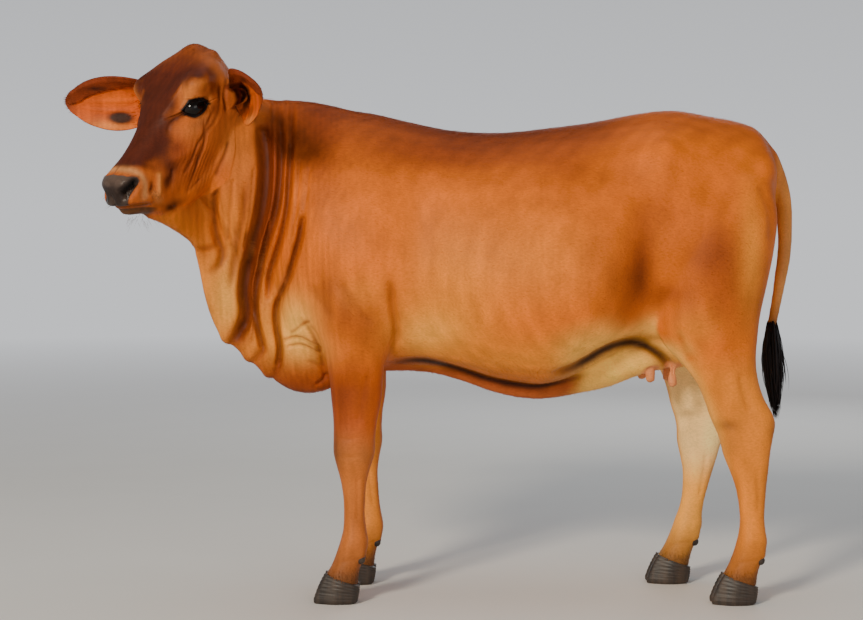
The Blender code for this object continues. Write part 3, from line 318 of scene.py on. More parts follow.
def read_points(mesh: bpy.types.Mesh) -> Array:
    """Rows of x, y, z of a mesh's points."""
    return read_rows(mesh.vertices, "co")


def read_normals(mesh: bpy.types.Mesh) -> Array:
    """Outward directions at a mesh's points."""
    return read_rows(mesh.vertex_normals, "vector")


def write_colours(mesh: bpy.types.Mesh, colours: Array) -> bpy.types.Attribute:
    """Stores a colour for each of a mesh's points.

    Args:
        mesh: The mesh.
        colours: Rows of red, green and blue, as linear values.

    Returns:
        The new attribute, which the finishes read by name.
    """
    rows = np.concatenate([colours, np.ones((len(colours), 1))], axis=1)
    layer = mesh.attributes.new("markings", "FLOAT_COLOR", "POINT")
    layer.data.foreach_set("color", rows.astype(np.float32).ravel())
    return layer


def write_points(mesh: bpy.types.Mesh, points: Array) -> None:
    """Moves a mesh's points."""
    mesh.vertices.foreach_set("co", points.astype(np.float32).ravel())
    mesh.update()


def push_out(mesh: bpy.types.Mesh, amount: Array) -> None:
    """Moves each point along its normal by its own amount."""
    write_points(mesh, read_points(mesh) + read_normals(mesh) * amount[:, None])


def relax(mesh: bpy.types.Mesh, strength: Array, rounds: int) -> None:
    """Draws each point towards the middle of its neighbours.

    Args:
        mesh: The mesh to smooth.
        strength: Share of the way that each point goes in one round.
        rounds: Number of rounds.
    """
    points = read_points(mesh)
    ends = np.empty(len(mesh.edges) * 2, dtype=np.int32)
    mesh.edges.foreach_get("vertices", ends)
    ends = ends.reshape(-1, 2)
    used = (strength[ends] > 0.0).any(axis=1)
    first = np.concatenate([ends[used, 0], ends[used, 1]])
    second = np.concatenate([ends[used, 1], ends[used, 0]])
    neighbours = np.maximum(np.bincount(first, minlength=len(points)), 1)
    for _ in range(rounds):
        for axis in range(3):
            middle = np.bincount(first, weights=points[second, axis], minlength=len(points)) / neighbours
            points[:, axis] += strength * (middle - points[:, axis])
    write_points(mesh, points)


def split_squares(thing: bpy.types.Object, chosen: Array) -> None:
    """Splits the faces between chosen points into four.

    Args:
        thing: The object whose mesh is split.
        chosen: Whether each point is in the finer band.
    """
    bm = bmesh.new()
    bm.from_mesh(thing.data)
    bm.verts.ensure_lookup_table()
    edges = [edge for edge in bm.edges if chosen[edge.verts[0].index] and chosen[edge.verts[1].index]]
    bmesh.ops.subdivide_edges(bm, edges=edges, cuts=1, use_grid_fill=True)
    bmesh.ops.triangulate(bm, faces=[face for face in bm.faces if len(face.verts) > 4])
    bm.to_mesh(thing.data)
    bm.free()


def rounded(nodes: Array) -> Array:
    """Rounds the corners of a path.

    Args:
        nodes: Points of the path, in two or three dimensions.

    Returns:
        Three times as many lengths, on a smooth curve through the points.
    """
    if len(nodes) < 3:
        return nodes
    along = np.concatenate([[0.0], np.cumsum(np.linalg.norm(np.diff(nodes, axis=0), axis=1))])
    places = np.linspace(0.0, along[-1], 3 * len(nodes) - 2)
    return np.stack([curve_through(places, along, column) for column in nodes.T], axis=1)


def near_path(places: Array, path: Sequence[Sequence[float]], width: float, fade: float) -> Array:
    """Grades places by how near they are to a path.

    Args:
        places: Rows in two or three dimensions.
        path: Points of the path, in as many dimensions.
        width: Distance at which the strength has fallen to about a third.
        fade: Length over which the path's ends fade, or 0.

    Returns:
        A strength from 0 to 1 for each place.
    """
    best = np.zeros(len(places))
    nodes = rounded(np.array(path, dtype=float))
    reach = 3.0 * width
    close = ((places > nodes.min(axis=0) - reach) & (places < nodes.max(axis=0) + reach)).all(axis=1)
    near = places[close]
    found = np.zeros(len(near))
    lengths = np.linalg.norm(np.diff(nodes, axis=0), axis=1)
    total = lengths.sum()
    travelled = 0.0
    for start, end, length in zip(nodes, nodes[1:], lengths):
        share = np.clip((near - start) @ (end - start) / length ** 2, 0.0, 1.0)
        distance = np.linalg.norm(near - (start + share[:, None] * (end - start)), axis=1)
        run = travelled + share * length
        strength = np.exp(-(distance / width) ** 2)
        if fade:
            strength *= ramp(run, -0.3 * fade, fade) * ramp(total - run, -0.3 * fade, fade)
        found = np.maximum(found, strength)
        travelled += length
    best[close] = found
    return best


def swell(places: Array, forms: Sequence[Form]) -> Array:
    """Adds up soft forms, each on both sides of the middle plane.

    Args:
        places: Rows of three coordinates, the second of them across.
        forms: Name, centre, reach and push of each form.

    Returns:
        How far each place is pushed out.
    """
    amount = np.zeros(len(places))
    for _, centre, reach, push in forms:
        for side in (-1.0, 1.0) if centre[1] else (1.0,):
            offset = (places - np.array(centre) * (1.0, side, 1.0)) / np.array(reach)
            amount += push * np.exp(-(offset ** 2).sum(axis=1))
    return amount


def soft_spot(places: Array, centre: Sequence[float], reach: Sequence[float]) -> Array:
    """A soft blot: 1 at the centre and fading to 0 by about twice the reach."""
    return np.exp(-(((places - np.array(centre)) / np.array(reach)) ** 2).sum(axis=1))


def ridged(points: Array, scale: float, seed: int) -> Array:
    """Smooth noise from a few crossed waves.

    Args:
        points: Rows of x, y, z.
        scale: Typical size of a blot, in metres.
        seed: Seed of the waves.

    Returns:
        Numbers from about -1 to 1.
    """
    draw = np.random.default_rng(seed)
    total = np.zeros(len(points))
    for _ in range(7):
        way = draw.normal(size=3)
        way *= draw.uniform(0.7, 1.5) * 2.0 * math.pi / scale / np.linalg.norm(way)
        total += np.sin(points @ way + draw.uniform(0.0, 2.0 * math.pi))
    return total / 3.5


# x, y, top, widest level, bottom, half width, power above, power below
TORSO: Rows = (
    (-0.405, 0.0, 1.09, 0.92, 0.74, 0.070, 2.0, 2.0),
    (-0.370, 0.0, 1.17, 0.92, 0.655, 0.135, 1.9, 2.0),
    (-0.300, 0.0, 1.228, 0.90, 0.600, 0.185, 1.7, 2.0),
    (-0.180, 0.0, 1.233, 0.87, 0.580, 0.215, 1.6, 2.1),
    (-0.060, 0.0, 1.208, 0.84, 0.588, 0.226, 1.7, 2.2),
    (0.050, 0.0, 1.186, 0.82, 0.580, 0.246, 1.8, 2.2),
    (0.180, 0.0, 1.180, 0.80, 0.548, 0.272, 1.85, 2.2),
    (0.300, 0.0, 1.192, 0.79, 0.536, 0.284, 1.85, 2.2),
    (0.420, 0.0, 1.208, 0.82, 0.590, 0.274, 1.85, 2.1),
    (0.520, 0.0, 1.227, 0.88, 0.630, 0.246, 1.95, 2.0),
    (0.610, 0.0, 1.236, 0.92, 0.640, 0.218, 2.0, 2.0),
    (0.710, 0.0, 1.220, 0.94, 0.680, 0.198, 2.0, 2.0),
    (0.790, 0.0, 1.203, 0.95, 0.730, 0.168, 2.0, 2.0),
    (0.840, 0.0, 1.176, 0.97, 0.800, 0.125, 2.0, 2.0),
    (0.868, 0.0, 1.120, 1.00, 0.880, 0.065, 2.0, 2.0),
)

NECK: Rows = (
    (-0.190, 0.000, 1.234, 0.92, 0.640, 0.175, 1.6, 2.0),
    (-0.280, 0.000, 1.256, 0.95, 0.680, 0.158, 1.6, 2.0),
    (-0.345, -0.006, 1.264, 0.98, 0.730, 0.136, 1.7, 2.0),
    (-0.405, -0.018, 1.264, 1.01, 0.780, 0.116, 1.8, 2.0),
    (-0.460, -0.036, 1.272, 1.05, 0.830, 0.103, 1.9, 2.0),
    (-0.510, -0.060, 1.292, 1.10, 0.900, 0.093, 2.0, 2.0),
    (-0.550, -0.084, 1.310, 1.15, 0.970, 0.083, 2.0, 2.0),
    (-0.590, -0.112, 1.300, 1.17, 1.030, 0.060, 2.0, 2.0),
)

DEWLAP: Rows = (
    (-0.696, -0.236, 1.005, 0.980, 0.963, 0.018, 2.0, 2.0),
    (-0.668, -0.206, 1.030, 0.985, 0.949, 0.028, 2.0, 2.0),
    (-0.645, -0.178, 1.040, 0.985, 0.932, 0.036, 2.0, 2.0),
    (-0.616, -0.130, 1.070, 0.985, 0.908, 0.046, 2.0, 2.0),
    (-0.592, -0.082, 1.100, 0.980, 0.868, 0.050, 2.0, 2.0),
    (-0.578, -0.056, 1.110, 0.930, 0.775, 0.050, 2.0, 2.0),
    (-0.556, -0.040, 1.100, 0.880, 0.695, 0.050, 2.0, 2.0),
    (-0.528, -0.026, 1.090, 0.850, 0.642, 0.050, 2.0, 1.8),
    (-0.495, -0.018, 1.050, 0.820, 0.622, 0.052, 2.0, 1.8),
    (-0.455, -0.010, 1.000, 0.790, 0.585, 0.056, 2.0, 1.8),
    (-0.415, -0.004, 0.950, 0.760, 0.556, 0.062, 2.0, 1.9),
    (-0.375, 0.000, 0.900, 0.720, 0.528, 0.068, 2.0, 2.0),
    (-0.325, 0.000, 0.860, 0.690, 0.514, 0.074, 2.0, 2.0),
    (-0.275, 0.000, 0.820, 0.670, 0.520, 0.070, 2.0, 2.0),
    (-0.220, 0.000, 0.780, 0.660, 0.545, 0.060, 2.0, 2.0),
    (-0.140, 0.000, 0.740, 0.650, 0.566, 0.040, 2.0, 2.0),
    (-0.060, 0.000, 0.700, 0.640, 0.572, 0.022, 2.0, 2.0),
)

BELLY_FOLD: Rows = (
    (-0.120, 0.0, 0.640, 0.610, 0.568, 0.020, 2.0, 2.0),
    (0.000, 0.0, 0.640, 0.605, 0.563, 0.020, 2.0, 2.0),
    (0.080, 0.0, 0.620, 0.585, 0.543, 0.022, 2.0, 2.0),
    (0.160, 0.0, 0.600, 0.560, 0.516, 0.024, 2.0, 2.0),
    (0.240, 0.0, 0.580, 0.545, 0.500, 0.026, 2.0, 2.0),
    (0.300, 0.0, 0.580, 0.545, 0.500, 0.028, 2.0, 2.0),
    (0.380, 0.0, 0.590, 0.560, 0.514, 0.032, 2.0, 2.0),
    (0.460, 0.0, 0.610, 0.580, 0.532, 0.042, 2.0, 2.0),
    (0.520, 0.0, 0.640, 0.610, 0.556, 0.050, 2.0, 2.0),
)

UDDER: Rows = (
    (0.350, 0.0, 0.590, 0.560, 0.535, 0.028, 2.0, 2.0),
    (0.410, 0.0, 0.640, 0.575, 0.524, 0.056, 2.0, 2.0),
    (0.465, 0.0, 0.680, 0.600, 0.538, 0.078, 2.0, 2.1),
    (0.520, 0.0, 0.710, 0.620, 0.557, 0.092, 2.0, 2.2),
    (0.570, 0.0, 0.730, 0.640, 0.573, 0.096, 2.0, 2.3),
    (0.625, 0.0, 0.750, 0.660, 0.577, 0.092, 2.0, 2.3),
    (0.675, 0.0, 0.770, 0.690, 0.600, 0.078, 2.0, 2.0),
    (0.715, 0.0, 0.790, 0.720, 0.660, 0.045, 2.0, 2.0),
)

# level, front, back, y, half width, power; the near (left) legs. A far leg adds its own shifts.
FORELEG: Rows = (
    (0.860, -0.290, -0.130, 0.150, 0.050, 2.0),
    (0.780, -0.296, -0.096, 0.148, 0.062, 2.0),
    (0.700, -0.288, -0.086, 0.144, 0.065, 2.0),
    (0.655, -0.272, -0.094, 0.140, 0.061, 2.0),
    (0.610, -0.262, -0.114, 0.135, 0.056, 2.1),
    (0.560, -0.255, -0.121, 0.131, 0.050, 2.1),
    (0.510, -0.250, -0.125, 0.130, 0.046, 2.1),
    (0.450, -0.245, -0.137, 0.130, 0.041, 2.2),
    (0.410, -0.245, -0.141, 0.130, 0.042, 2.3),
    (0.375, -0.245, -0.142, 0.130, 0.043, 2.3),
    (0.345, -0.238, -0.151, 0.130, 0.039, 2.2),
    (0.312, -0.229, -0.160, 0.130, 0.031, 2.1),
    (0.260, -0.221, -0.1655, 0.130, 0.027, 2.0),
    (0.210, -0.220, -0.166, 0.130, 0.027, 2.0),
    (0.180, -0.222, -0.162, 0.130, 0.031, 2.1),
    (0.150, -0.230, -0.158, 0.130, 0.037, 2.2),
    (0.120, -0.240, -0.166, 0.130, 0.036, 2.2),
    (0.090, -0.252, -0.178, 0.130, 0.037, 2.2),
    (0.065, -0.266, -0.184, 0.130, 0.042, 2.3),
    (0.040, -0.270, -0.186, 0.130, 0.042, 2.3),
)

HINDLEG: Rows = (
    (1.060, 0.640, 0.840, 0.110, 0.070, 2.0),
    (0.980, 0.590, 0.862, 0.120, 0.084, 2.0),
    (0.900, 0.565, 0.855, 0.126, 0.090, 2.0),
    (0.800, 0.556, 0.835, 0.132, 0.090, 2.0),
    (0.720, 0.556, 0.818, 0.136, 0.084, 2.0),
    (0.660, 0.572, 0.812, 0.138, 0.075, 2.0),
    (0.610, 0.612, 0.809, 0.140, 0.064, 2.0),
    (0.560, 0.655, 0.814, 0.142, 0.054, 2.1),
    (0.510, 0.679, 0.830, 0.143, 0.046, 2.1),
    (0.475, 0.691, 0.850, 0.143, 0.042, 2.2),
    (0.455, 0.699, 0.857, 0.143, 0.041, 2.2),
    (0.420, 0.715, 0.852, 0.143, 0.041, 2.3),
    (0.372, 0.728, 0.844, 0.143, 0.039, 2.3),
    (0.335, 0.743, 0.841, 0.143, 0.034, 2.2),
    (0.300, 0.756, 0.837, 0.143, 0.030, 2.1),
    (0.260, 0.765, 0.834, 0.143, 0.027, 2.0),
    (0.215, 0.770, 0.832, 0.143, 0.027, 2.0),
    (0.185, 0.769, 0.834, 0.143, 0.031, 2.1),
    (0.155, 0.763, 0.839, 0.143, 0.037, 2.2),
    (0.125, 0.754, 0.832, 0.143, 0.036, 2.2),
    (0.092, 0.741, 0.820, 0.143, 0.037, 2.2),
    (0.065, 0.728, 0.813, 0.143, 0.042, 2.3),
    (0.040, 0.724, 0.811, 0.143, 0.042, 2.3),
)

# distance behind the lips, top, widest level, bottom, half width, power above, power below
SKULL: Rows = (
    (0.000, 0.056, 0.034, 0.010, 0.026, 2.2, 2.2),
    (0.008, 0.069, 0.034, 0.003, 0.044, 2.4, 2.4),
    (0.024, 0.081, 0.034, -0.003, 0.056, 2.4, 2.6),
    (0.050, 0.092, 0.034, -0.016, 0.061, 2.3, 2.7),
    (0.090, 0.108, 0.038, -0.034, 0.058, 2.1, 2.8),
    (0.140, 0.134, 0.050, -0.054, 0.060, 2.0, 2.6),
    (0.190, 0.162, 0.080, -0.062, 0.076, 2.2, 2.1),
    (0.240, 0.195, 0.125, -0.064, 0.097, 3.0, 1.8),
    (0.285, 0.220, 0.150, -0.060, 0.110, 3.8, 1.6),
    (0.330, 0.239, 0.155, -0.044, 0.110, 4.2, 1.7),
    (0.370, 0.250, 0.155, -0.020, 0.105, 3.3, 1.9),
    (0.400, 0.254, 0.155, 0.010, 0.095, 2.3, 2.0),
    (0.426, 0.245, 0.155, 0.040, 0.080, 2.1, 2.0),
    (0.446, 0.215, 0.150, 0.080, 0.045, 2.0, 2.0),
)

JAW: Rows = (
    (0.020, 0.002, -0.012, -0.022, 0.018, 2.0, 2.0),
    (0.034, 0.004, -0.012, -0.027, 0.031, 2.0, 2.0),
    (0.066, 0.006, -0.014, -0.040, 0.037, 2.0, 2.0),
    (0.084, 0.008, -0.018, -0.049, 0.041, 2.0, 2.0),
    (0.115, 0.010, -0.024, -0.070, 0.044, 2.0, 2.0),
    (0.160, 0.030, -0.030, -0.084, 0.048, 2.0, 2.0),
    (0.220, 0.060, -0.026, -0.084, 0.058, 2.0, 2.0),
    (0.280, 0.080, -0.014, -0.074, 0.066, 2.0, 2.0),
    (0.325, 0.080, 0.010, -0.055, 0.060, 2.0, 2.0),
    (0.360, 0.080, 0.030, -0.020, 0.040, 2.0, 2.0),
)

# x, z, radius along the tail, which hangs in the middle plane
TAIL: Rows = (
    (0.730, 1.168, 0.034),
    (0.790, 1.168, 0.036),
    (0.841, 1.130, 0.032),
    (0.875, 1.074, 0.026),
    (0.896, 1.010, 0.0220),
    (0.902, 0.940, 0.0190),
    (0.901, 0.870, 0.0175),
    (0.889, 0.795, 0.0160),
    (0.875, 0.720, 0.0146),
    (0.863, 0.650, 0.0132),
    (0.860, 0.600, 0.0115),
)

# x, y, level, radius and length of each teat
TEATS: Rows = (
    (0.555, -0.052, 0.592, 0.0120, 0.048),
    (0.545, 0.052, 0.588, 0.0120, 0.044),
    (0.612, -0.048, 0.592, 0.0120, 0.060),
    (0.610, 0.048, 0.590, 0.0120, 0.050),
)

# centre x, y, z, then reach along x, y, z, then push out of the skin; each is made on both sides
BODY_FORMS: tuple[Form, ...] = (
    ("shoulder muscle", (-0.190, 0.190, 0.820), (0.120, 0.130, 0.180), 0.012),
    ("shoulder blade", (-0.150, 0.140, 1.060), (0.110, 0.120, 0.160), 0.006),
    ("hollow behind the shoulder", (-0.030, 0.220, 0.860), (0.055, 0.130, 0.230), -0.010),
    ("hook bone", (0.575, 0.170, 1.130), (0.060, 0.070, 0.060), 0.016),
    ("hungry hollow", (0.440, 0.200, 1.060), (0.085, 0.110, 0.075), -0.014),
    ("hollow before the thigh", (0.525, 0.230, 0.840), (0.060, 0.110, 0.170), -0.022),
    ("thurl hollow", (0.680, 0.190, 1.060), (0.070, 0.090, 0.070), -0.006),
    ("thigh muscle", (0.700, 0.210, 0.880), (0.110, 0.110, 0.150), 0.014),
    ("pin bone", (0.838, 0.095, 1.085), (0.050, 0.050, 0.050), 0.016),
    ("stifle", (0.610, 0.200, 0.700), (0.060, 0.080, 0.070), 0.008),
    ("flank fold", (0.500, 0.190, 0.680), (0.090, 0.060, 0.050), 0.008),
    ("barrel", (0.240, 0.260, 0.760), (0.170, 0.110, 0.160), 0.006),
)

# x and z along the long folds of the neck, as seen from the left
GREAT_FOLD: Rows = ((-0.424, 1.200), (-0.413, 1.108), (-0.413, 1.058), (-0.430, 0.952), (-0.448, 0.900),
                    (-0.465, 0.833), (-0.472, 0.777), (-0.469, 0.713), (-0.486, 0.671), (-0.525, 0.634))
SECOND_FOLD: Rows = ((-0.384, 1.250), (-0.377, 1.183), (-0.377, 1.058), (-0.390, 0.968), (-0.410, 0.910),
                     (-0.435, 0.832), (-0.445, 0.707), (-0.437, 0.672), (-0.428, 0.625), (-0.462, 0.590))
THIRD_FOLD: Rows = ((-0.352, 1.262), (-0.352, 1.151), (-0.355, 1.063), (-0.363, 0.968), (-0.375, 0.917),
                    (-0.394, 0.857), (-0.406, 0.826), (-0.414, 0.757))
LAST_FOLD: Rows = ((-0.318, 0.970), (-0.328, 0.910), (-0.347, 0.852), (-0.360, 0.812), (-0.381, 0.769),
                   (-0.391, 0.742), (-0.390, 0.672), (-0.385, 0.643), (-0.391, 0.583), (-0.412, 0.545))

# the x and z of each crease as seen from the left, its width and its depth
NECK_CREASES: tuple[Groove, ...] = (
    ("behind the jaw", ((-0.513, 1.143), (-0.535, 1.033), (-0.544, 0.970), (-0.540, 0.920), (-0.525, 0.872),
                        (-0.535, 0.842), (-0.560, 0.822)), 0.010, 0.011),
    ("under the throat pouch", ((-0.600, 0.886), (-0.565, 0.885), (-0.545, 0.892), (-0.536, 0.910)),
     0.008, 0.010),
    ("front curtain", ((-0.458, 1.058), (-0.472, 0.952), (-0.490, 0.892), (-0.500, 0.832), (-0.508, 0.780)),
     0.009, 0.007),
    ("great fold", GREAT_FOLD, 0.016, 0.022),
    ("second fold", SECOND_FOLD, 0.011, 0.013),
    ("third fold", THIRD_FOLD, 0.009, 0.010),
    ("last fold", LAST_FOLD, 0.010, 0.013),
    ("elbow", ((-0.098, 0.820), (-0.093, 0.734), (-0.086, 0.665), (-0.104, 0.622)), 0.010, 0.012),
)

# level and shift along X of the far (right) legs, which stand a little off the near ones
FORELEG_SHIFT: Rows = ((0.00, 0.035), (0.22, 0.030), (0.38, 0.012), (0.60, 0.0), (0.86, 0.0))

HINDLEG_SHIFT: Rows = ((0.00, -0.135), (0.17, -0.122), (0.22, -0.110), (0.30, -0.093), (0.38, -0.078),
                       (0.44, -0.065), (0.54, -0.055), (0.62, -0.045), (0.80, -0.020), (1.06, 0.0))

# place behind the lips, to the side and up, then reach along the same, then push; made on both sides
HEAD_FORMS: tuple[Form, ...] = (
    ("brow", (0.280, 0.096, 0.212), (0.046, 0.030, 0.026), 0.015),
    ("forehead dish", (0.255, 0.0, 0.205), (0.050, 0.045, 0.030), -0.005),
    ("temple hollow", (0.345, 0.105, 0.170), (0.026, 0.024, 0.026), -0.007),
    ("ear base", (0.405, 0.100, 0.120), (0.036, 0.030, 0.042), 0.016),
    ("cheek muscle", (0.300, 0.085, 0.030), (0.050, 0.040, 0.055), 0.007),
    ("face ridge", (0.190, 0.070, 0.060), (0.060, 0.020, 0.014), 0.006),
    ("hollow before the eye", (0.195, 0.060, 0.125), (0.040, 0.030, 0.025), -0.007),
    ("side of the nose", (0.110, 0.050, 0.070), (0.035, 0.022, 0.022), -0.004),
    ("wing of the nostril", (0.036, 0.052, 0.052), (0.018, 0.018, 0.018), 0.006),
    ("upper lip", (0.062, 0.058, 0.002), (0.040, 0.020, 0.016), 0.006),
    ("poll", (0.402, 0.0, 0.262), (0.030, 0.036, 0.030), 0.012),
)

# the same three places along the parting of the lips
MOUTH: Rows = (
    (0.004, 0.000, 0.007), (0.012, 0.030, 0.003), (0.032, 0.050, -0.003), (0.055, 0.060, -0.012),
    (0.082, 0.061, -0.026), (0.108, 0.060, -0.041), (0.124, 0.050, -0.052), (0.140, 0.036, -0.062))

# the same three places along each groove of the head, then its width and depth
HEAD_GROOVES: tuple[Groove, ...] = (
    ("nostril", ((0.006, 0.036, 0.038), (0.014, 0.047, 0.044), (0.032, 0.057, 0.056)), 0.0110, 0.024),
    ("lip cleft", ((0.000, 0.000, 0.040), (-0.004, 0.000, 0.004)), 0.003, 0.002),
    ("crease under the eye", ((0.228, 0.077, 0.134), (0.242, 0.088, 0.122), (0.265, 0.093, 0.113),
                              (0.290, 0.097, 0.116)), 0.004, 0.003),
    ("crease over the eye", ((0.243, 0.079, 0.168), (0.256, 0.086, 0.180), (0.272, 0.095, 0.184),
                             (0.295, 0.100, 0.178)), 0.004, 0.003),
    ("cheek fold", ((0.130, 0.060, -0.020), (0.142, 0.062, 0.010), (0.152, 0.062, 0.034)), 0.005, 0.005),
    ("mouth", MOUTH, 0.0050, 0.012),
)

# share of the length, flat width and half angle of the roll
EAR: Rows = (
    (-0.24, 0.095, 2.90),
    (0.00, 0.110, 2.70),
    (0.12, 0.122, 1.90),
    (0.28, 0.142, 1.25),
    (0.42, 0.157, 1.00),
    (0.56, 0.158, 0.85),
    (0.70, 0.142, 0.74),
    (0.82, 0.112, 0.64),
    (0.91, 0.074, 0.55),
    (0.97, 0.042, 0.46),
    (1.00, 0.012, 0.40),
)

# distance across the sheet that parts the head from the neck, and its level there
HEAD_PART: Rows = ((-0.452, 1.460), (-0.462, 1.300), (-0.476, 1.130), (-0.492, 1.060), (-0.530, 1.022),
                   (-0.580, 1.000), (-0.640, 0.983), (-0.700, 0.958), (-0.780, 0.930))

# foot name, then x and y of the coronet's middle
FEET: tuple[tuple[str, float, float], ...] = (
    ("fore_left", -0.2225, -0.130),
    ("fore_right", -0.1890, 0.130),
    ("hind_left", 0.7710, -0.143),
    ("hind_right", 0.6400, 0.143),
)

# the x and z of finer creases as seen from the left, their width and depth; the right side repeats them
FINE_CREASES: tuple[Groove, ...] = (
    ("bottom of the great fold", GREAT_FOLD[:-1], 0.0130, 0.0150),
    ("bottom of the second fold", SECOND_FOLD[1:-1], 0.0070, 0.0070),
    ("bottom of the third fold", THIRD_FOLD[1:], 0.0060, 0.0060),
    ("bottom of the last fold", LAST_FOLD[:-1], 0.0065, 0.0075),
    ("nape line", ((-0.328, 1.110), (-0.330, 1.057), (-0.338, 0.970), (-0.348, 0.908)), 0.0050, 0.0030),
    ("second nape line", ((-0.304, 1.090), (-0.308, 1.032), (-0.321, 0.930)), 0.0060, 0.0020),
    ("third nape line", ((-0.398, 1.262), (-0.400, 1.200), (-0.398, 1.120)), 0.0045, 0.0030),
    ("fourth nape line", ((-0.368, 1.262), (-0.366, 1.200), (-0.366, 1.110)), 0.0040, 0.0024),
    ("curtain line", ((-0.490, 1.060), (-0.500, 0.980), (-0.512, 0.900)), 0.0050, 0.0032),
    ("curtain edge", ((-0.440, 1.090), (-0.452, 0.980), (-0.470, 0.880)), 0.0045, 0.0028),
    ("inner fold line", ((-0.402, 0.960), (-0.420, 0.880), (-0.433, 0.800), (-0.430, 0.740)), 0.0045, 0.0036),
    ("lower fold line", ((-0.455, 0.640), (-0.452, 0.700), (-0.458, 0.760)), 0.0050, 0.0036),
    ("armpit wrinkle", ((-0.378, 0.651), (-0.338, 0.661), (-0.303, 0.646), (-0.273, 0.618)), 0.0050, 0.0050),
    ("lower armpit wrinkle", ((-0.368, 0.636), (-0.328, 0.641), (-0.278, 0.613)), 0.0045, 0.0040),
    ("third armpit wrinkle", ((-0.356, 0.668), (-0.326, 0.690), (-0.300, 0.706)), 0.0050, 0.0030),
    ("brisket wrinkle", ((-0.316, 0.601), (-0.268, 0.578)), 0.0060, 0.0036),
    ("brisket fold", ((-0.296, 0.535), (-0.278, 0.548), (-0.258, 0.566)), 0.0060, 0.0080),
    ("front of the foreleg", ((-0.322, 0.705), (-0.300, 0.678), (-0.287, 0.646), (-0.277, 0.603),
                              (-0.268, 0.550)),
     0.0090, 0.0085),
    ("breast muscle", ((-0.300, 0.800), (-0.272, 0.760), (-0.246, 0.718)), 0.0140, 0.0045),
    ("long shoulder muscle", ((-0.226, 0.812), (-0.185, 0.752), (-0.143, 0.698)), 0.0150, 0.0040),
    ("stifle crease", ((0.604, 0.690), (0.622, 0.650), (0.640, 0.610)), 0.0120, 0.0040),
    ("before the great tendon", ((0.760, 0.580), (0.772, 0.530), (0.790, 0.478)), 0.0090, 0.0065),
    ("hock crease", ((0.722, 0.470), (0.735, 0.452), (0.750, 0.440)), 0.0050, 0.0022),
    ("hind cannon tendon", ((0.806, 0.345), (0.812, 0.280), (0.813, 0.225)), 0.0060, 0.0035),
    ("fore cannon tendon", ((-0.183, 0.320), (-0.184, 0.260), (-0.184, 0.205)), 0.0060, 0.0035),
    ("forearm groove", ((-0.160, 0.580), (-0.172, 0.520), (-0.182, 0.450)), 0.0090, 0.0035),
    ("knee line", ((-0.246, 0.418), (-0.215, 0.414), (-0.180, 0.418)), 0.0045, 0.0016),
    ("lower knee line", ((-0.242, 0.372), (-0.212, 0.368), (-0.176, 0.372)), 0.0045, 0.0016),
    ("fore pastern line", ((-0.250, 0.100), (-0.215, 0.108), (-0.180, 0.112)), 0.0040, 0.0022),
    ("hind pastern line", ((0.742, 0.100), (0.778, 0.108), (0.812, 0.112)), 0.0040, 0.0022),
    ("rump crease", ((0.806, 1.050), (0.836, 0.980), (0.838, 0.900)), 0.0120, 0.0040),
)

# smaller forms of the head's skin: place behind the lips, to the side and up, reach along each, and height
FINE_FORMS: tuple[Form, ...] = (
    ("horn bud", (0.410, 0.062, 0.236), (0.016, 0.016, 0.016), 0.009),
    ("brow over the eye", (0.276, 0.098, 0.196), (0.034, 0.024, 0.018), 0.005),
    ("bag under the eye", (0.268, 0.094, 0.112), (0.034, 0.020, 0.012), 0.003),
    ("root of the ear", (0.372, 0.106, 0.128), (0.014, 0.024, 0.050), 0.009),
)

# x and z along the creases under the belly and the flank fold, which are cut in and painted with shadow
UNDER_LINES: tuple[Groove, ...] = (
    ("over the belly fold", ((-0.114, 0.592), (-0.029, 0.604), (0.071, 0.578), (0.146, 0.5525),
                             (0.221, 0.538), (0.271, 0.5340), (0.321, 0.543), (0.394, 0.566)),
     0.0080, 0.0090),
    ("under the flank fold", ((0.300, 0.574), (0.345, 0.588), (0.386, 0.610), (0.425, 0.634), (0.468, 0.648),
                              (0.520, 0.648), (0.560, 0.628), (0.600, 0.592), (0.624, 0.558)),
     0.0110, 0.0140),
)

# x and z of the hems in which the dewlap's folds end, their reach and how far they hang
HEMS: Rows = (
    (-0.530, 0.640, 0.022, 0.011),
    (-0.476, 0.598, 0.020, 0.010),
    (-0.424, 0.556, 0.020, 0.010),
)

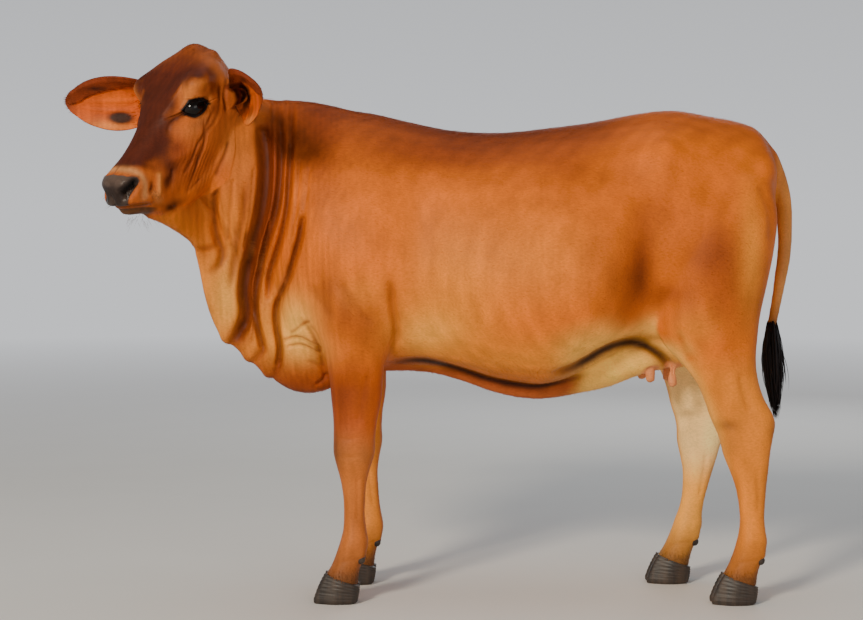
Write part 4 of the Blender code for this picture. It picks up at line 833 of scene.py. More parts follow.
# place behind the lips, to the side and up along each fold of the face; both sides have them
FACE_FOLDS: tuple[Groove, ...] = (
    ("long cheek fold", ((0.357, 0.102, 0.172), (0.333, 0.104, 0.139), (0.316, 0.101, 0.115),
                         (0.286, 0.099, 0.094),
                         (0.266, 0.098, 0.087), (0.254, 0.093, 0.065), (0.227, 0.076, 0.031),
                         (0.212, 0.061, 0.006), (0.196, 0.050, -0.017), (0.179, 0.040, -0.041)),
     0.0065, 0.0042),
    ("short cheek fold", ((0.240, 0.084, 0.040), (0.225, 0.072, 0.024), (0.215, 0.061, 0.005),
                          (0.199, 0.055, 0.001)),
     0.0045, 0.0036),
    ("second cheek fold", ((0.262, 0.094, 0.040), (0.246, 0.086, 0.014), (0.230, 0.074, -0.010),
                           (0.210, 0.062, -0.030)),
     0.0045, 0.0028),
    ("third cheek fold", ((0.282, 0.094, 0.030), (0.264, 0.088, 0.002), (0.246, 0.078, -0.022)),
     0.0045, 0.0022),
    ("fold from the eye's corner", ((0.309, 0.101, 0.126), (0.267, 0.099, 0.097), (0.256, 0.097, 0.083),
                                    (0.229, 0.090, 0.065), (0.207, 0.078, 0.037), (0.180, 0.066, 0.012)),
     0.0050, 0.0028),
    ("jaw fold", ((0.336, 0.088, 0.033), (0.313, 0.088, 0.009), (0.289, 0.079, -0.015),
                  (0.273, 0.068, -0.039)),
     0.0060, 0.0030),
    ("nostril hole", ((0.014, 0.032, 0.048), (0.025, 0.041, 0.053), (0.040, 0.052, 0.061)), 0.0095, 0.012),
    ("ridge behind the lip", ((0.116, 0.057, 0.049), (0.101, 0.058, 0.022), (0.086, 0.054, -0.008)),
     0.0080, -0.0040),
    ("fold before the ear", ((0.380, 0.102, 0.178), (0.352, 0.107, 0.143), (0.344, 0.104, 0.103)),
     0.0055, 0.0042),
    ("corner hollow", ((0.149, 0.056, 0.024), (0.136, 0.051, 0.014), (0.129, 0.042, -0.002)), 0.0085, 0.0065),
    ("lip dent", ((0.083, 0.058, 0.038), (0.075, 0.060, 0.026), (0.061, 0.062, 0.018)), 0.0070, 0.0034),
    ("jaw wrinkle", ((0.236, 0.058, -0.020), (0.206, 0.050, -0.030), (0.183, 0.044, -0.035)), 0.0040, 0.0034),
    ("tear fold", ((0.237, 0.066, 0.144), (0.218, 0.062, 0.144), (0.197, 0.058, 0.138),
                   (0.183, 0.056, 0.121)),
     0.0045, 0.0036),
    ("mouth corner", ((0.100, 0.060, -0.040), (0.118, 0.058, -0.052), (0.130, 0.052, -0.060)),
     0.0050, 0.0050),
    ("chin line", ((0.060, 0.036, -0.044), (0.090, 0.042, -0.058), (0.120, 0.044, -0.072)), 0.0050, 0.0022),
)

# the same three places along the creases that lie close round each eye
LID_FOLDS: tuple[Groove, ...] = (
    ("over the eye", ((0.247, 0.079, 0.163), (0.256, 0.086, 0.177), (0.268, 0.095, 0.182),
                      (0.284, 0.101, 0.177), (0.302, 0.099, 0.162)), 0.0030, 0.0030),
    ("high over the eye", ((0.246, 0.078, 0.174), (0.260, 0.088, 0.190), (0.278, 0.098, 0.192),
                           (0.298, 0.102, 0.180)), 0.0034, 0.0016),
    ("under the eye", ((0.231, 0.077, 0.137), (0.243, 0.088, 0.125), (0.265, 0.093, 0.117),
                       (0.287, 0.097, 0.119)), 0.0030, 0.0026),
    ("low under the eye", ((0.236, 0.080, 0.122), (0.255, 0.090, 0.110), (0.276, 0.095, 0.108)),
     0.0036, 0.0018),
)


@dataclass(frozen=True)
class HeadPose:
    """Where the head stands, and the coordinates that its forms are given in.

    A place on the head is given as the distance behind the lips, then to the head's left, then up.
    """

    yaw: float = math.radians(51.5)
    pitch: float = math.radians(25.7)
    muzzle: tuple[float, float, float] = (-0.750, -0.320, 0.980)
    part_across: tuple[float, float, float] = (0.807, 0.590, 0.0)

    def axes(self) -> Array:
        """Forward, left and up directions of the head, as rows."""
        forward = Vector((-math.cos(self.yaw) * math.cos(self.pitch),
                          -math.sin(self.yaw) * math.cos(self.pitch), -math.sin(self.pitch)))
        left = Vector((math.sin(self.yaw), -math.cos(self.yaw), 0.0))
        return np.array([forward, left, left.cross(forward) * -1.0])

    def to_world(self, places: Sequence[Sequence[float]] | Array) -> Array:
        """Turns places on the head into points.

        Args:
            places: Rows of back, left and up.

        Returns:
            Rows of x, y, z.
        """
        forward, left, up = self.axes()
        places = np.atleast_2d(np.array(places, dtype=float))
        return np.array(self.muzzle) - places[:, :1] * forward + places[:, 1:2] * left + places[:, 2:3] * up

    def to_head(self, points: Array) -> Array:
        """Turns points into places on the head.

        Args:
            points: Rows of x, y, z.

        Returns:
            Rows of back, left and up.
        """
        offset = points - np.array(self.muzzle)
        forward, left, up = self.axes()
        return np.stack([-offset @ forward, offset @ left, offset @ up], axis=1)

    def one_side(self, points: Array) -> Array:
        """Turns points into places on the head's left side, over which its right side is laid."""
        places = self.to_head(points)
        places[:, 1] = np.abs(places[:, 1])
        return places

    def height(self, points: Array) -> Array:
        """How far points lie above the sheet that parts the head from the neck.

        Args:
            points: Rows of x, y, z.

        Returns:
            A height for each point, below zero off the head.
        """
        back = points @ np.array(self.part_across)
        profile = np.array(HEAD_PART)[::-1]
        height = points[:, 2] - np.interp(back, profile[:, 0], profile[:, 1])
        return np.where(back > profile[-1, 0], -1.0, height)


@dataclass(frozen=True)
class EyeShape:
    """Size, place and gaze of the eyeballs, and the opening of their lids as shares of their half sizes."""

    pose: HeadPose
    half_sizes: tuple[float, float, float] = (0.0320, 0.0260, 0.0260)
    place: tuple[float, float, float] = (0.273, 0.0740, 0.148)
    gaze: tuple[float, float, float] = (0.42, 0.90, 0.08)
    tilt: float = 0.05
    lid_length: float = 0.99
    lid_above: float = 0.72
    lid_below: float = 0.60
    lid_power: float = 2.2
    lid_depth: float = 0.085

    def axes(self, side: Side) -> tuple[Array, Array, Array, Array]:
        """Finds how one eyeball lies.

        Args:
            side: Which eye.

        Returns:
            Its middle, and its gaze, forward and upward directions.
        """
        forward, left, up = self.pose.axes()
        middle = self.pose.to_world((self.place[0], side.value * self.place[1], self.place[2]))[0]
        gaze = self.gaze[0] * forward + side.value * self.gaze[1] * left + self.gaze[2] * up
        gaze /= np.linalg.norm(gaze)
        across = forward + self.tilt * up
        across -= gaze * (across @ gaze)
        across /= np.linalg.norm(across)
        return middle, gaze, across, np.cross(across, gaze) * side.value

    def half_axes(self, side: Side) -> Array:
        """Half sizes of one eyeball forward, up and out, as rows of x, y, z."""
        _, gaze, across, above = self.axes(side)
        return np.stack([across * self.half_sizes[0], above * self.half_sizes[1], gaze * self.half_sizes[2]])

    def on_ball(self, points: Array, side: Side) -> tuple[Array, Array]:
        """Measures points against one eyeball.

        Args:
            points: Rows of x, y, z.
            side: Which eye.

        Returns:
            Each point's distance in eyeball radii, and its direction across, up and out.
        """
        middle, gaze, across, above = self.axes(side)
        frame_rows = np.stack([across / self.half_sizes[0], above / self.half_sizes[1],
                               gaze / self.half_sizes[2]])
        offset = (points - middle) @ frame_rows.T
        distance = np.linalg.norm(offset, axis=1)
        return distance, offset / np.maximum(distance, 1e-6)[:, None]

    def outside(self, way: Array) -> Array:
        """How far outside the lids' opening each direction lies, in eyeball radii."""
        reach = np.where(way[:, 1] > 0.0, self.lid_above, self.lid_below)
        rim = reach * (1.0 - np.minimum(np.abs(way[:, 0] / self.lid_length), 1.0) ** self.lid_power)
        beyond = np.maximum(np.abs(way[:, 0]) - self.lid_length, 0.0)
        height = np.abs(way[:, 1])
        return np.hypot(np.maximum(height - rim, 0.0), beyond) - np.maximum(rim - height, 0.0)


@dataclass
class Ears:
    """Two leaf-shaped ears, each rolled into a cup at its root."""

    pose: HeadPose
    root: tuple[float, float, float] = (0.402, 0.106, 0.122)
    aim: tuple[float, float, float] = (0.54, 0.81, 0.236)
    face: tuple[float, float, float] = (0.80, -0.59, 0.05)
    length: float = 0.292
    thickness: float = 0.0066
    rim_thickness: float = 0.0040
    columns: int = 56
    row_step: float = 0.012
    sink: float = 0.022
    ridges: Rows = ((-0.34, 0.8), (-0.02, 1.0))
    ridge_width: float = 0.065
    ridge_height: float = 0.0018
    fold_height: float = 0.0060
    fold_line: Rows = ((0.0, 0.60), (0.45, 0.50), (0.64, 0.36), (0.76, 0.26), (0.82, 0.15), (0.96, -0.3))
    ripple_height: float = 0.0022

    def axes(self, side: Side) -> tuple[Vector, Vector, Vector, Vector]:
        """Finds how one ear lies.

        Args:
            side: Which ear.

        Returns:
            Its root, the way it points, the way its cup faces, and the way across it.
        """
        forward, left, up = self.pose.axes()
        ways = [Vector(way[0] * forward + side.value * way[1] * left + way[2] * up).normalized()
                for way in (self.aim, self.face)]
        aim, face = ways
        face = (face - aim * face.dot(aim)).normalized()
        root = Vector(self.pose.to_world((self.root[0], side.value * self.root[1], self.root[2]))[0])
        return root, aim, face, aim.cross(face)

    def surface(self, side: Side, lift: float) -> Array:
        """Lays out one ear's sheet.

        Args:
            side: Which ear.
            lift: Distance of the sheet in front of the ear's middle layer, at its thickest.

        Returns:
            Points by row along the ear and column across it.
        """
        root, aim, face, across = (np.array(way) for way in self.axes(side))
        rows = stations(EAR, self.row_step)
        turns = np.linspace(-1.0, 1.0, self.columns + 1)
        grid = []
        for share, width, roll in rows:
            radius = width / 2.0 / roll
            spine = root + aim * (share * self.length) - face * (self.sink * fall(share, 0.0, 0.6))
            angle = turns * roll
            near_rim = 1.0 - ramp(np.abs(turns), 0.80, 1.0) * (1.0 - self.rim_thickness / self.thickness)
            inside = lift * near_rim * (1.0 - 0.45 * ramp(share, 0.5, 1.0))
            if lift > 0.0:
                fade = ramp(share, 0.02, 0.20) * fall(share, 0.60, 0.92)
                upward = turns * math.copysign(1.0, across[2])
                fold = read_table(self.fold_line, share)
                inside = inside + (self.fold_height * ramp(upward, fold - 0.04, fold + 0.10)
                                   * fall(upward, 0.86, 1.0)
                                   * (ramp(share, 0.0, 0.2) * fall(share, 0.9, 1.0)))
                for middle, strength in self.ridges:
                    inside = inside + (self.ridge_height * strength * fade
                                       * np.exp(-((turns - middle) / self.ridge_width) ** 2))
            ripple = (self.ripple_height * np.sin(9.0 * share + 2.0 * side.value) * np.abs(turns) ** 3
                      * (1.0 if share > 0 else 0.0))
            out = radius - inside
            grid.append(spine + across * (out * np.sin(angle))[:, None]
                        + face * (radius - out * np.cos(angle) + ripple)[:, None])
        return np.array(grid)

    def build(self, side: Side) -> bpy.types.Object:
        """Makes one ear as a closed leaf.

        Args:
            side: Which ear.

        Returns:
            The ear as an object, to be joined to the head.
        """
        front = self.surface(side, self.thickness / 2.0)
        behind = self.surface(side, -self.thickness / 2.0)
        rings = [np.concatenate([near, far[::-1]]) for near, far in zip(front, behind)]
        return loft("ear " + side.name.lower(), rings)

    def half_width(self, share: Array) -> Array:
        """Half of the leaf's flat width at shares of its length."""
        return read_table(EAR, share) / 2.0

    def along(self, points: Array, side: Side) -> tuple[Array, Array, Array]:
        """Measures points against one ear.

        Args:
            points: Rows of x, y, z.
            side: Which ear.

        Returns:
            The share of the ear's length, the distance across it, and the distance in front of its root.
        """
        root, aim, face, across = (np.array(way) for way in self.axes(side))
        offset = points - root
        return offset @ aim / self.length, offset @ across, offset @ face

    def on(self, points: Array, side: Side) -> Array:
        """Tells one ear's own skin from the head's.

        Args:
            points: Rows of x, y, z.
            side: Which ear.

        Returns:
            1 on the ear, 0 off it.
        """
        share, across, ahead = self.along(points, side)
        roll = read_table(tuple(row[::2] for row in EAR), share)
        radius = self.half_width(share) / roll
        middle = radius - self.sink * fall(share, 0.0, 0.6)
        off_leaf = np.abs(np.hypot(across, ahead - middle) - radius)
        past_rim = np.arctan2(np.abs(across), middle - ahead) - roll
        near = fall(off_leaf, 0.009, 0.015) * fall(past_rim, 0.15, 0.35)
        return near * ramp(share, 0.0, 0.06) * (share < 1.1)


@dataclass
class Skin:
    """One skin over the trunk, neck, head, legs, tail, udder and ears."""

    pose: HeadPose
    eyes: EyeShape
    ears: Ears
    voxel: float = 0.0052
    ring_points: int = 48
    ring_step: float = 0.010
    tail_sides: int = 24
    teat_sides: int = 16
    teat_sink: float = 0.03
    even_rounds: int = 5
    merge_rounds: int = 30
    brow_rounds: int = 24
    horn_bud_rounds: int = 12
    far_side_shift: float = 0.02
    pad_outline: Rows = ((-0.002, 0.022), (0.010, 0.036), (0.030, 0.041), (0.046, 0.052), (0.056, 0.057),
                         (0.066, 0.054), (0.074, 0.045), (0.080, 0.030), (0.084, 0.000))
    pad_height: float = 0.0018
    cheek_line: float = 0.0115
    cheek_line_depth: float = 0.0014

    def lengthwise(self, name: str, rows: Rows) -> bpy.types.Object:
        """Makes a form whose sections stand across X.

        Args:
            name: Name of the form.
            rows: Its sections.

        Returns:
            The form as an object.
        """
        rings = []
        for x, y, top, level, bottom, half_width, *powers in stations(rows, self.ring_step):
            across, up = oval(self.ring_points, half_width, top - level, level - bottom, *powers)
            rings.append(np.stack([np.full(self.ring_points, x), y + across, level + up], axis=1))
        return loft(name, rings)

    def leg(self, name: str, rows: Rows, side: Side, shifts: Rows) -> bpy.types.Object:
        """Makes a leg whose sections lie level.

        Args:
            name: Name of the form.
            rows: Its sections.
            side: Which leg.
            shifts: Level and shift along X of the right leg.

        Returns:
            The leg as an object.
        """
        rings = []
        for level, front, back, y, half_width, power in stations(rows, self.ring_step):
            move = read_table(shifts, level) if side is Side.RIGHT else 0.0
            along, across = oval(self.ring_points, (back - front) / 2.0, half_width, half_width, power, power)
            middle = (front + back) / 2.0 + move
            rings.append(np.stack([middle + along, across - side.value * y, np.full(self.ring_points, level)],
                                  axis=1))
        return loft(name, rings)

    def head_form(self, name: str, rows: Rows) -> bpy.types.Object:
        """Makes a form of the head.

        Args:
            name: Name of the form.
            rows: Its sections, across the head's length.

        Returns:
            The form as an object.
        """
        rings = []
        for back, top, level, bottom, half_width, *powers in stations(rows, self.ring_step / 2.0):
            across, up = oval(self.ring_points, half_width, top - level, level - bottom, *powers)
            places = np.stack([np.full(self.ring_points, back), across, level + up], axis=1)
            rings.append(self.pose.to_world(places))
        return loft(name, rings)

    def tail_form(self) -> bpy.types.Object:
        """Makes the tail, down to the switch.

        Returns:
            The tail as an object.
        """
        table = np.array(TAIL)
        steps = np.hypot(*np.diff(table[:, :2], axis=0).T)
        rows = stations(TAIL, self.ring_step, np.concatenate([[0.0], np.cumsum(steps)]))
        ways = np.gradient(rows[:, :2], axis=0)
        ways /= np.linalg.norm(ways, axis=1)[:, None]
        turn = around(self.tail_sides)
        rings = []
        for (x, z, radius), (way_x, way_z) in zip(rows, ways):
            out = radius * np.cos(turn)
            rings.append(np.stack([x + way_z * out, radius * np.sin(turn), z - way_x * out], axis=1))
        return loft("tail form", rings)

    def teat(self, x: float, y: float, level: float, radius: float, length: float) -> bpy.types.Object:
        """Makes one teat.

        Args:
            x: Place along the trunk.
            y: Place across it.
            level: Level of its root.
            radius: Its radius.
            length: Its length.

        Returns:
            The teat as an object.
        """
        rings = []
        for share in np.linspace(0.0, 1.0, 8):
            reach = radius * math.sqrt(max(0.05, 1.0 - max(0.0, share - 0.75) ** 2 * 14.0))
            across, up = oval(self.teat_sides, reach, reach, reach, 2.0, 2.0)
            low = level + self.teat_sink - share * (length + self.teat_sink)
            rings.append(np.stack([x + across, y + up, np.full(self.teat_sides, low)], axis=1))
        return loft("teat form", rings)

    def block_out(self) -> bpy.types.Object:
        """Joins all the forms under one skin of even squares.

        Returns:
            The skin as an object.
        """
        forms = [self.lengthwise(name, rows) for name, rows in (
            ("torso form", TORSO), ("neck form", NECK), ("dewlap form", DEWLAP), ("belly form", BELLY_FOLD),
            ("udder form", UDDER))]
        for side in Side:
            forms.append(self.leg("foreleg form", FORELEG, side, FORELEG_SHIFT))
            forms.append(self.leg("hindleg form", HINDLEG, side, HINDLEG_SHIFT))
        forms.append(self.head_form("skull form", SKULL))
        forms.append(self.head_form("jaw form", JAW))
        forms.append(self.tail_form())
        forms += [self.teat(*row) for row in TEATS]
        body = joined(forms, "skin")
        remesh = body.modifiers.new("even squares", "REMESH")
        remesh.mode = "VOXEL"
        remesh.voxel_size = self.voxel
        settle(body)
        return body

    def soften(self, mesh: bpy.types.Mesh) -> None:
        """Smooths the trunk where its forms meet."""
        points = read_points(mesh)
        trunk = ramp(points[:, 2], 0.50, 0.62) * ramp(-self.pose.height(points), -0.01, 0.05)
        free_tail = ramp(points[:, 0], 0.868, 0.88)
        on_teat = np.zeros(len(points))
        for x, y, level, radius, _ in TEATS:
            away = np.hypot(points[:, 0] - x, points[:, 1] - y)
            on_teat = np.maximum(on_teat, fall(away, 1.3 * radius, 2.2 * radius)
                                 * fall(points[:, 2], level - 0.006, level + 0.006))
        relax(mesh, 0.5 * (1.0 - 0.8 * on_teat), self.even_rounds)
        relax(mesh, 0.5 * trunk * (1.0 - free_tail) * (1.0 - on_teat), self.merge_rounds)

    def from_left(self, points: Array) -> Array:
        """Flattens points to how they are seen from the left.

        Args:
            points: Rows of x, y, z.

        Returns:
            Rows of x and z, with the right legs drawn over the left ones.
        """
        seen = points[:, [0, 2]].copy()
        seen[:, 0] += (self.far_side_shift * np.clip(points[:, 1] / 0.1, 0.0, 1.0)
                       * ramp(-points[:, 0], 0.1, 0.2) * ramp(points[:, 2], 0.60, 0.70))
        for shifts, here in ((FORELEG_SHIFT, points[:, 0] < 0.2), (HINDLEG_SHIFT, points[:, 0] >= 0.2)):
            right = here & (points[:, 1] > 0.03) & (points[:, 2] < 0.66)
            seen[right, 0] -= read_table(shifts, points[right, 2])
        return seen

    def sculpt_body(self, mesh: bpy.types.Mesh) -> None:
        """Raises the muscles and bones of the trunk, then cuts the folds of the neck."""
        push_out(mesh, swell(read_points(mesh), BODY_FORMS))
        points = read_points(mesh)
        seen = points[:, [0, 2]].copy()
        seen[:, 0] += self.far_side_shift * np.clip(points[:, 1] / 0.1, 0.0, 1.0)
        depth_here = sum(depth * near_path(seen, path, width, 0.06) for _, path, width, depth in NECK_CREASES)
        on_neck = ramp(-self.pose.height(points), 0.0, 0.02) * ramp(-points[:, 0], 0.02, 0.06)
        push_out(mesh, -depth_here * on_neck)

    def crease_body(self, mesh: bpy.types.Mesh) -> None:
        """Cuts the finer creases of the neck, trunk and legs."""
        points = read_points(mesh)
        seen = self.from_left(points)
        off_head = ramp(-self.pose.height(points), 0.0, 0.02)
        sideways = ramp(np.abs(read_normals(mesh)[:, 1]), 0.15, 0.45)
        depth_here = sum(depth * near_path(seen, path, width, 2.0 * width)
                         for _, path, width, depth in FINE_CREASES)
        push_out(mesh, -depth_here * sideways * off_head)
        under = fall(np.abs(points[:, 1]), 0.17, 0.21)
        push_out(mesh, -under * sum(depth * near_path(seen, path, width, 0.03)
                                    for _, path, width, depth in UNDER_LINES))
        points = read_points(mesh)
        hang = sum(drop * soft_spot(points * (1.0, 0.0, 1.0), (x, 0.0, z), (reach, 1.0, reach))
                   for x, z, reach, drop in HEMS)
        push_out(mesh, hang * off_head * fall(np.abs(points[:, 1]), 0.03, 0.06))

    def sculpt_head(self, mesh: bpy.types.Mesh) -> None:
        """Raises the bones of the head and cuts its larger folds."""
        points = read_points(mesh)
        push_out(mesh, swell(self.pose.to_head(points), HEAD_FORMS + FINE_FORMS)
                 * ramp(self.pose.height(points), -0.01, 0.01))
        one_side = self.pose.one_side(read_points(mesh))
        for centre, rounds in (((0.325, 0.105, 0.190), self.brow_rounds),
                               ((0.400, 0.080, 0.220), self.horn_bud_rounds)):
            relax(mesh, 0.5 * soft_spot(one_side, centre, (0.040, 0.040, 0.040)), rounds)
        self.cut_head(mesh, FACE_FOLDS, 0.012)
        points = read_points(mesh)
        places = self.pose.one_side(points)
        where = soft_spot(places, (0.225, 0.080, 0.010), (0.050, 0.035, 0.060))
        push_out(mesh, -self.cheek_line_depth * self.cheek_lines(places) * where
                 * ramp(self.pose.height(points), 0.0, 0.02))

    def cheek_lines(self, places: Array) -> Array:
        """Depth from 0 to 1 of the fine wrinkles that run down the cheek, at places on the head."""
        across_folds = 0.83 * places[:, 0] - 0.56 * places[:, 2] + 0.0022 * ridged(places, 0.05, 12)
        return (0.5 + 0.5 * np.sin(across_folds * 2.0 * math.pi / self.cheek_line)) ** 2

    def cut_head(self, mesh: bpy.types.Mesh, grooves: Sequence[Groove], fade: float) -> None:
        """Cuts grooves on both sides of the head.

        Args:
            mesh: The skin.
            grooves: The grooves, as places on the head's left side.
            fade: Length over which their ends run out.
        """
        points = read_points(mesh)
        one_side = self.pose.one_side(points)
        depth_here = sum(depth * near_path(one_side, path, width, fade) for _, path, width, depth in grooves)
        push_out(mesh, -depth_here * ramp(self.pose.height(points), -0.01, 0.01))

    def on_pad(self, places: Array) -> Array:
        """Tells the bare nose pad from the haired muzzle.

        Args:
            places: Rows of back, left and up.

        Returns:
            1 on the pad, 0 off it.
        """
        back, aside, up = places[:, 0], np.abs(places[:, 1]), places[:, 2]
        half = read_table(self.pad_outline, up)
        return ramp(half - aside, -0.003, 0.002) * fall(back, 0.050, 0.056) * ramp(up, 0.006, 0.010)

    def raise_pad(self, mesh: bpy.types.Mesh) -> None:
        """Lets the nose pad stand proud of the muzzle."""
        points = read_points(mesh)
        lift = self.on_pad(self.pose.to_head(points)) * ramp(self.pose.height(points), 0.0, 0.02)
        push_out(mesh, lift * self.pad_height)

    def shape_teats(self, mesh: bpy.types.Mesh) -> None:
        """Gives the teats back the round sides and blunt ends that the even squares take from them."""
        points = read_points(mesh)
        for x, y, level, radius, length in TEATS:
            offset = points[:, :2] - (x, y)
            away = np.linalg.norm(offset, axis=1)
            share = (level - points[:, 2]) / length
            here = (away < 1.9 * radius) & (share > 0.06)
            wanted = radius * np.sqrt(np.clip(1.0 - (np.maximum(share - 0.80, 0.0) / 0.24) ** 2, 0.02, 1.0))
            grip = ramp(share, 0.06, 0.25) * here
            change = wanted / np.maximum(away, 0.003) - 1.0
            scale = 1.0 + grip * change * ramp(away, 0.2 * radius, 0.5 * radius)
            points[:, :2] += offset * (scale - 1.0)[:, None]
        write_points(mesh, points)
        away = np.min([np.hypot(points[:, 0] - row[0], points[:, 1] - row[1]) for row in TEATS], axis=0)
        relax(mesh, 0.4 * fall(away, 0.018, 0.026) * fall(points[:, 2], 0.598, 0.606), 2)

    def band(self, points: Array, band: Band) -> Array:
        """Chooses the points of a finer band.

        Args:
            points: Rows of x, y, z.
            band: Which band.

        Returns:
            Whether each point is in the band.
        """
        if band is Band.HEAD_AND_NECK:
            return (self.pose.height(points) > -0.02) | (points[:, 0] < -0.27) & (points[:, 2] > 0.50)
        if band is Band.FACE:
            back, left, _ = self.pose.to_head(points).T
            on_face = (back < 0.150) | (back > 0.215) & (back < 0.345) & (np.abs(left) > 0.045)
            return on_face & (self.pose.height(points) > 0.01)
        close = np.zeros(len(points), dtype=bool)
        for side in Side:
            distance, way = self.eyes.on_ball(points, side)
            close |= (distance < 1.7) & (way[:, 2] > 0.05) & (np.abs(self.eyes.outside(way)) < 0.35)
        return close

    def shape_lids(self, mesh: bpy.types.Mesh) -> None:
        """Opens the skin over each eyeball in an almond, with lids that lie on the ball round it."""
        points = read_points(mesh)
        for side in Side:
            middle = self.eyes.axes(side)[0]
            distance, way = self.eyes.on_ball(points, side)
            near = (distance < 3.2) & (way[:, 2] > 0.0)
            distance, way = distance[near], way[near]
            outside = self.eyes.outside(way)
            lid = 1.0 + self.eyes.lid_depth
            roll = 0.030 * np.exp(-((outside - 0.07) / 0.05) ** 2)
            blend = np.maximum(ramp(outside, 0.08, 0.70), ramp(distance, 1.5, 2.6))
            blend = np.maximum(blend, fall(way[:, 2], 0.0, 0.40))
            shaped = np.maximum(lid + (distance - lid) * blend, lid) + roll
            opening = ramp(outside, -0.05, 0.035)
            shaped = np.where(way[:, 2] > 0.12, 0.90 + (shaped - 0.90) * opening, shaped)
            points[near] = middle + (way * shaped[:, None]) @ self.eyes.half_axes(side)
        write_points(mesh, points)

    def join_ears(self, body: bpy.types.Object) -> None:
        """Joins both ears to the skin and smooths round their roots."""
        for side in Side:
            leaf = self.ears.build(side)
            union = body.modifiers.new("ear", "BOOLEAN")
            union.operation = "UNION"
            union.solver = "MANIFOLD"
            union.object = leaf
            settle(body)
            remove(leaf)
        points = read_points(body.data)
        near_root = np.zeros(len(points))
        for side in Side:
            places = self.pose.to_head(points)
            root = np.array(self.ears.root) * (1.0, side.value, 1.0)
            near_root = np.maximum(near_root, fall(np.linalg.norm(places - root, axis=1), 0.035, 0.070))
        relax(body.data, 0.35 * near_root, 3)

    def split(self, body: bpy.types.Object, band: Band) -> None:
        """Splits the skin's squares in one band."""
        split_squares(body, self.band(read_points(body.data), band))

    def build(self) -> bpy.types.Object:
        """Makes the whole skin, before it is coloured.

        Returns:
            The skin as an object.
        """
        body = self.block_out()
        self.soften(body.data)
        self.shape_teats(body.data)
        self.sculpt_body(body.data)
        self.split(body, Band.HEAD_AND_NECK)
        self.crease_body(body.data)
        self.sculpt_head(body.data)
        self.split(body, Band.FACE)
        self.raise_pad(body.data)
        self.cut_head(body.data, HEAD_GROOVES, 0.0)
        self.cut_head(body.data, LID_FOLDS, 0.008)
        points = read_points(body.data)
        relax(body.data, 0.35 * ramp(self.pose.height(points), -0.03, -0.01), 1)
        self.split(body, Band.LIDS)
        self.shape_lids(body.data)
        self.join_ears(body)
        return body


@dataclass(frozen=True)
class Palette:
    """The animal's colours, as red, green and blue from 0 to 255."""

    coat: Colour = (204, 100, 20)
    # topline: partly the coat's own dark red-brown, partly painted shade on the back, which faces away from
    # the light
    topline: Colour = (92, 32, 12)
    red_brown: Colour = (108, 40, 8)
    tan: Colour = (226, 138, 42)
    cream: Colour = (252, 192, 90)
    pale_inner: Colour = (255, 214, 142)
    # dusk: a dark brown for the tail above its switch, and painted shade in the creases, folds and hollows
    dusk: Colour = (74, 28, 8)
    bridge: Colour = (62, 22, 14)
    cheek: Colour = (174, 86, 28)
    smudge: Colour = (84, 58, 38)
    nose: Colour = (44, 34, 30)
    # pale grey for the painted highlight along the top of the nose pad and for its speckles
    nose_highlight_and_speckle: Colour = (104, 86, 76)
    eye_rim: Colour = (16, 12, 12)
    lip: Colour = (74, 50, 29)
    ear_dark: Colour = (36, 20, 15)
    teat: Colour = (208, 132, 84)
    switch: Colour = (24, 18, 19)
    horn: Colour = (34, 27, 23)
    horn_pale: Colour = (66, 52, 41)
    iris: Colour = (12, 7, 5)
    pupil: Colour = (3, 3, 6)
    eye_white: Colour = (22, 14, 10)


def to_linear(colour: Colour) -> Array:
    """Turns a palette colour into the linear values that shaders use."""
    share = np.array(colour, dtype=float) / 255.0
    return np.where(share <= 0.04045, share / 12.92, ((share + 0.055) / 1.055) ** 2.4)


@dataclass
class Paint:
    """A colour for each of a mesh's points, laid on in washes."""

    colours: Array
    bare: Array

    @classmethod
    def start(cls, count: int, colour: Colour) -> "Paint":
        """Covers all the points.

        Args:
            count: Number of points.
            colour: The first colour.

        Returns:
            The paint.
        """
        return cls(np.tile(to_linear(colour), (count, 1)), np.zeros(count))

    def wash(self, colour: Colour, strength: Array, bare: float = 0.0) -> None:
        """Lays a colour over the points.

        Args:
            colour: The colour.
            strength: Share of it at each point.
            bare: How bare of hair the skin is there, from 0 to 1.
        """
        share = np.clip(strength, 0.0, 1.0)
        self.colours += share[:, None] * (to_linear(colour) - self.colours)
        self.bare += share * (bare - self.bare)

    def spots(self, places: Array, spots: Sequence[Spot], here: Array | float = 1.0) -> None:
        """Lays on soft blots, one after the other.

        Args:
            places: Where the points are, in the coordinates of the blots.
            spots: Colour, strength, centre and reach of each blot.
            here: How much of them each point takes.
        """
        for colour, strength, centre, reach in spots:
            self.wash(colour, strength * here * soft_spot(places, centre, reach))

    def store(self, mesh: bpy.types.Mesh) -> None:
        """Writes the paint on a mesh's points."""
        mesh.color_attributes.active_color = write_colours(mesh, self.colours)
        layer = mesh.attributes.new("bare", "FLOAT", "POINT")
        layer.data.foreach_set("value", self.bare.astype(np.float32))


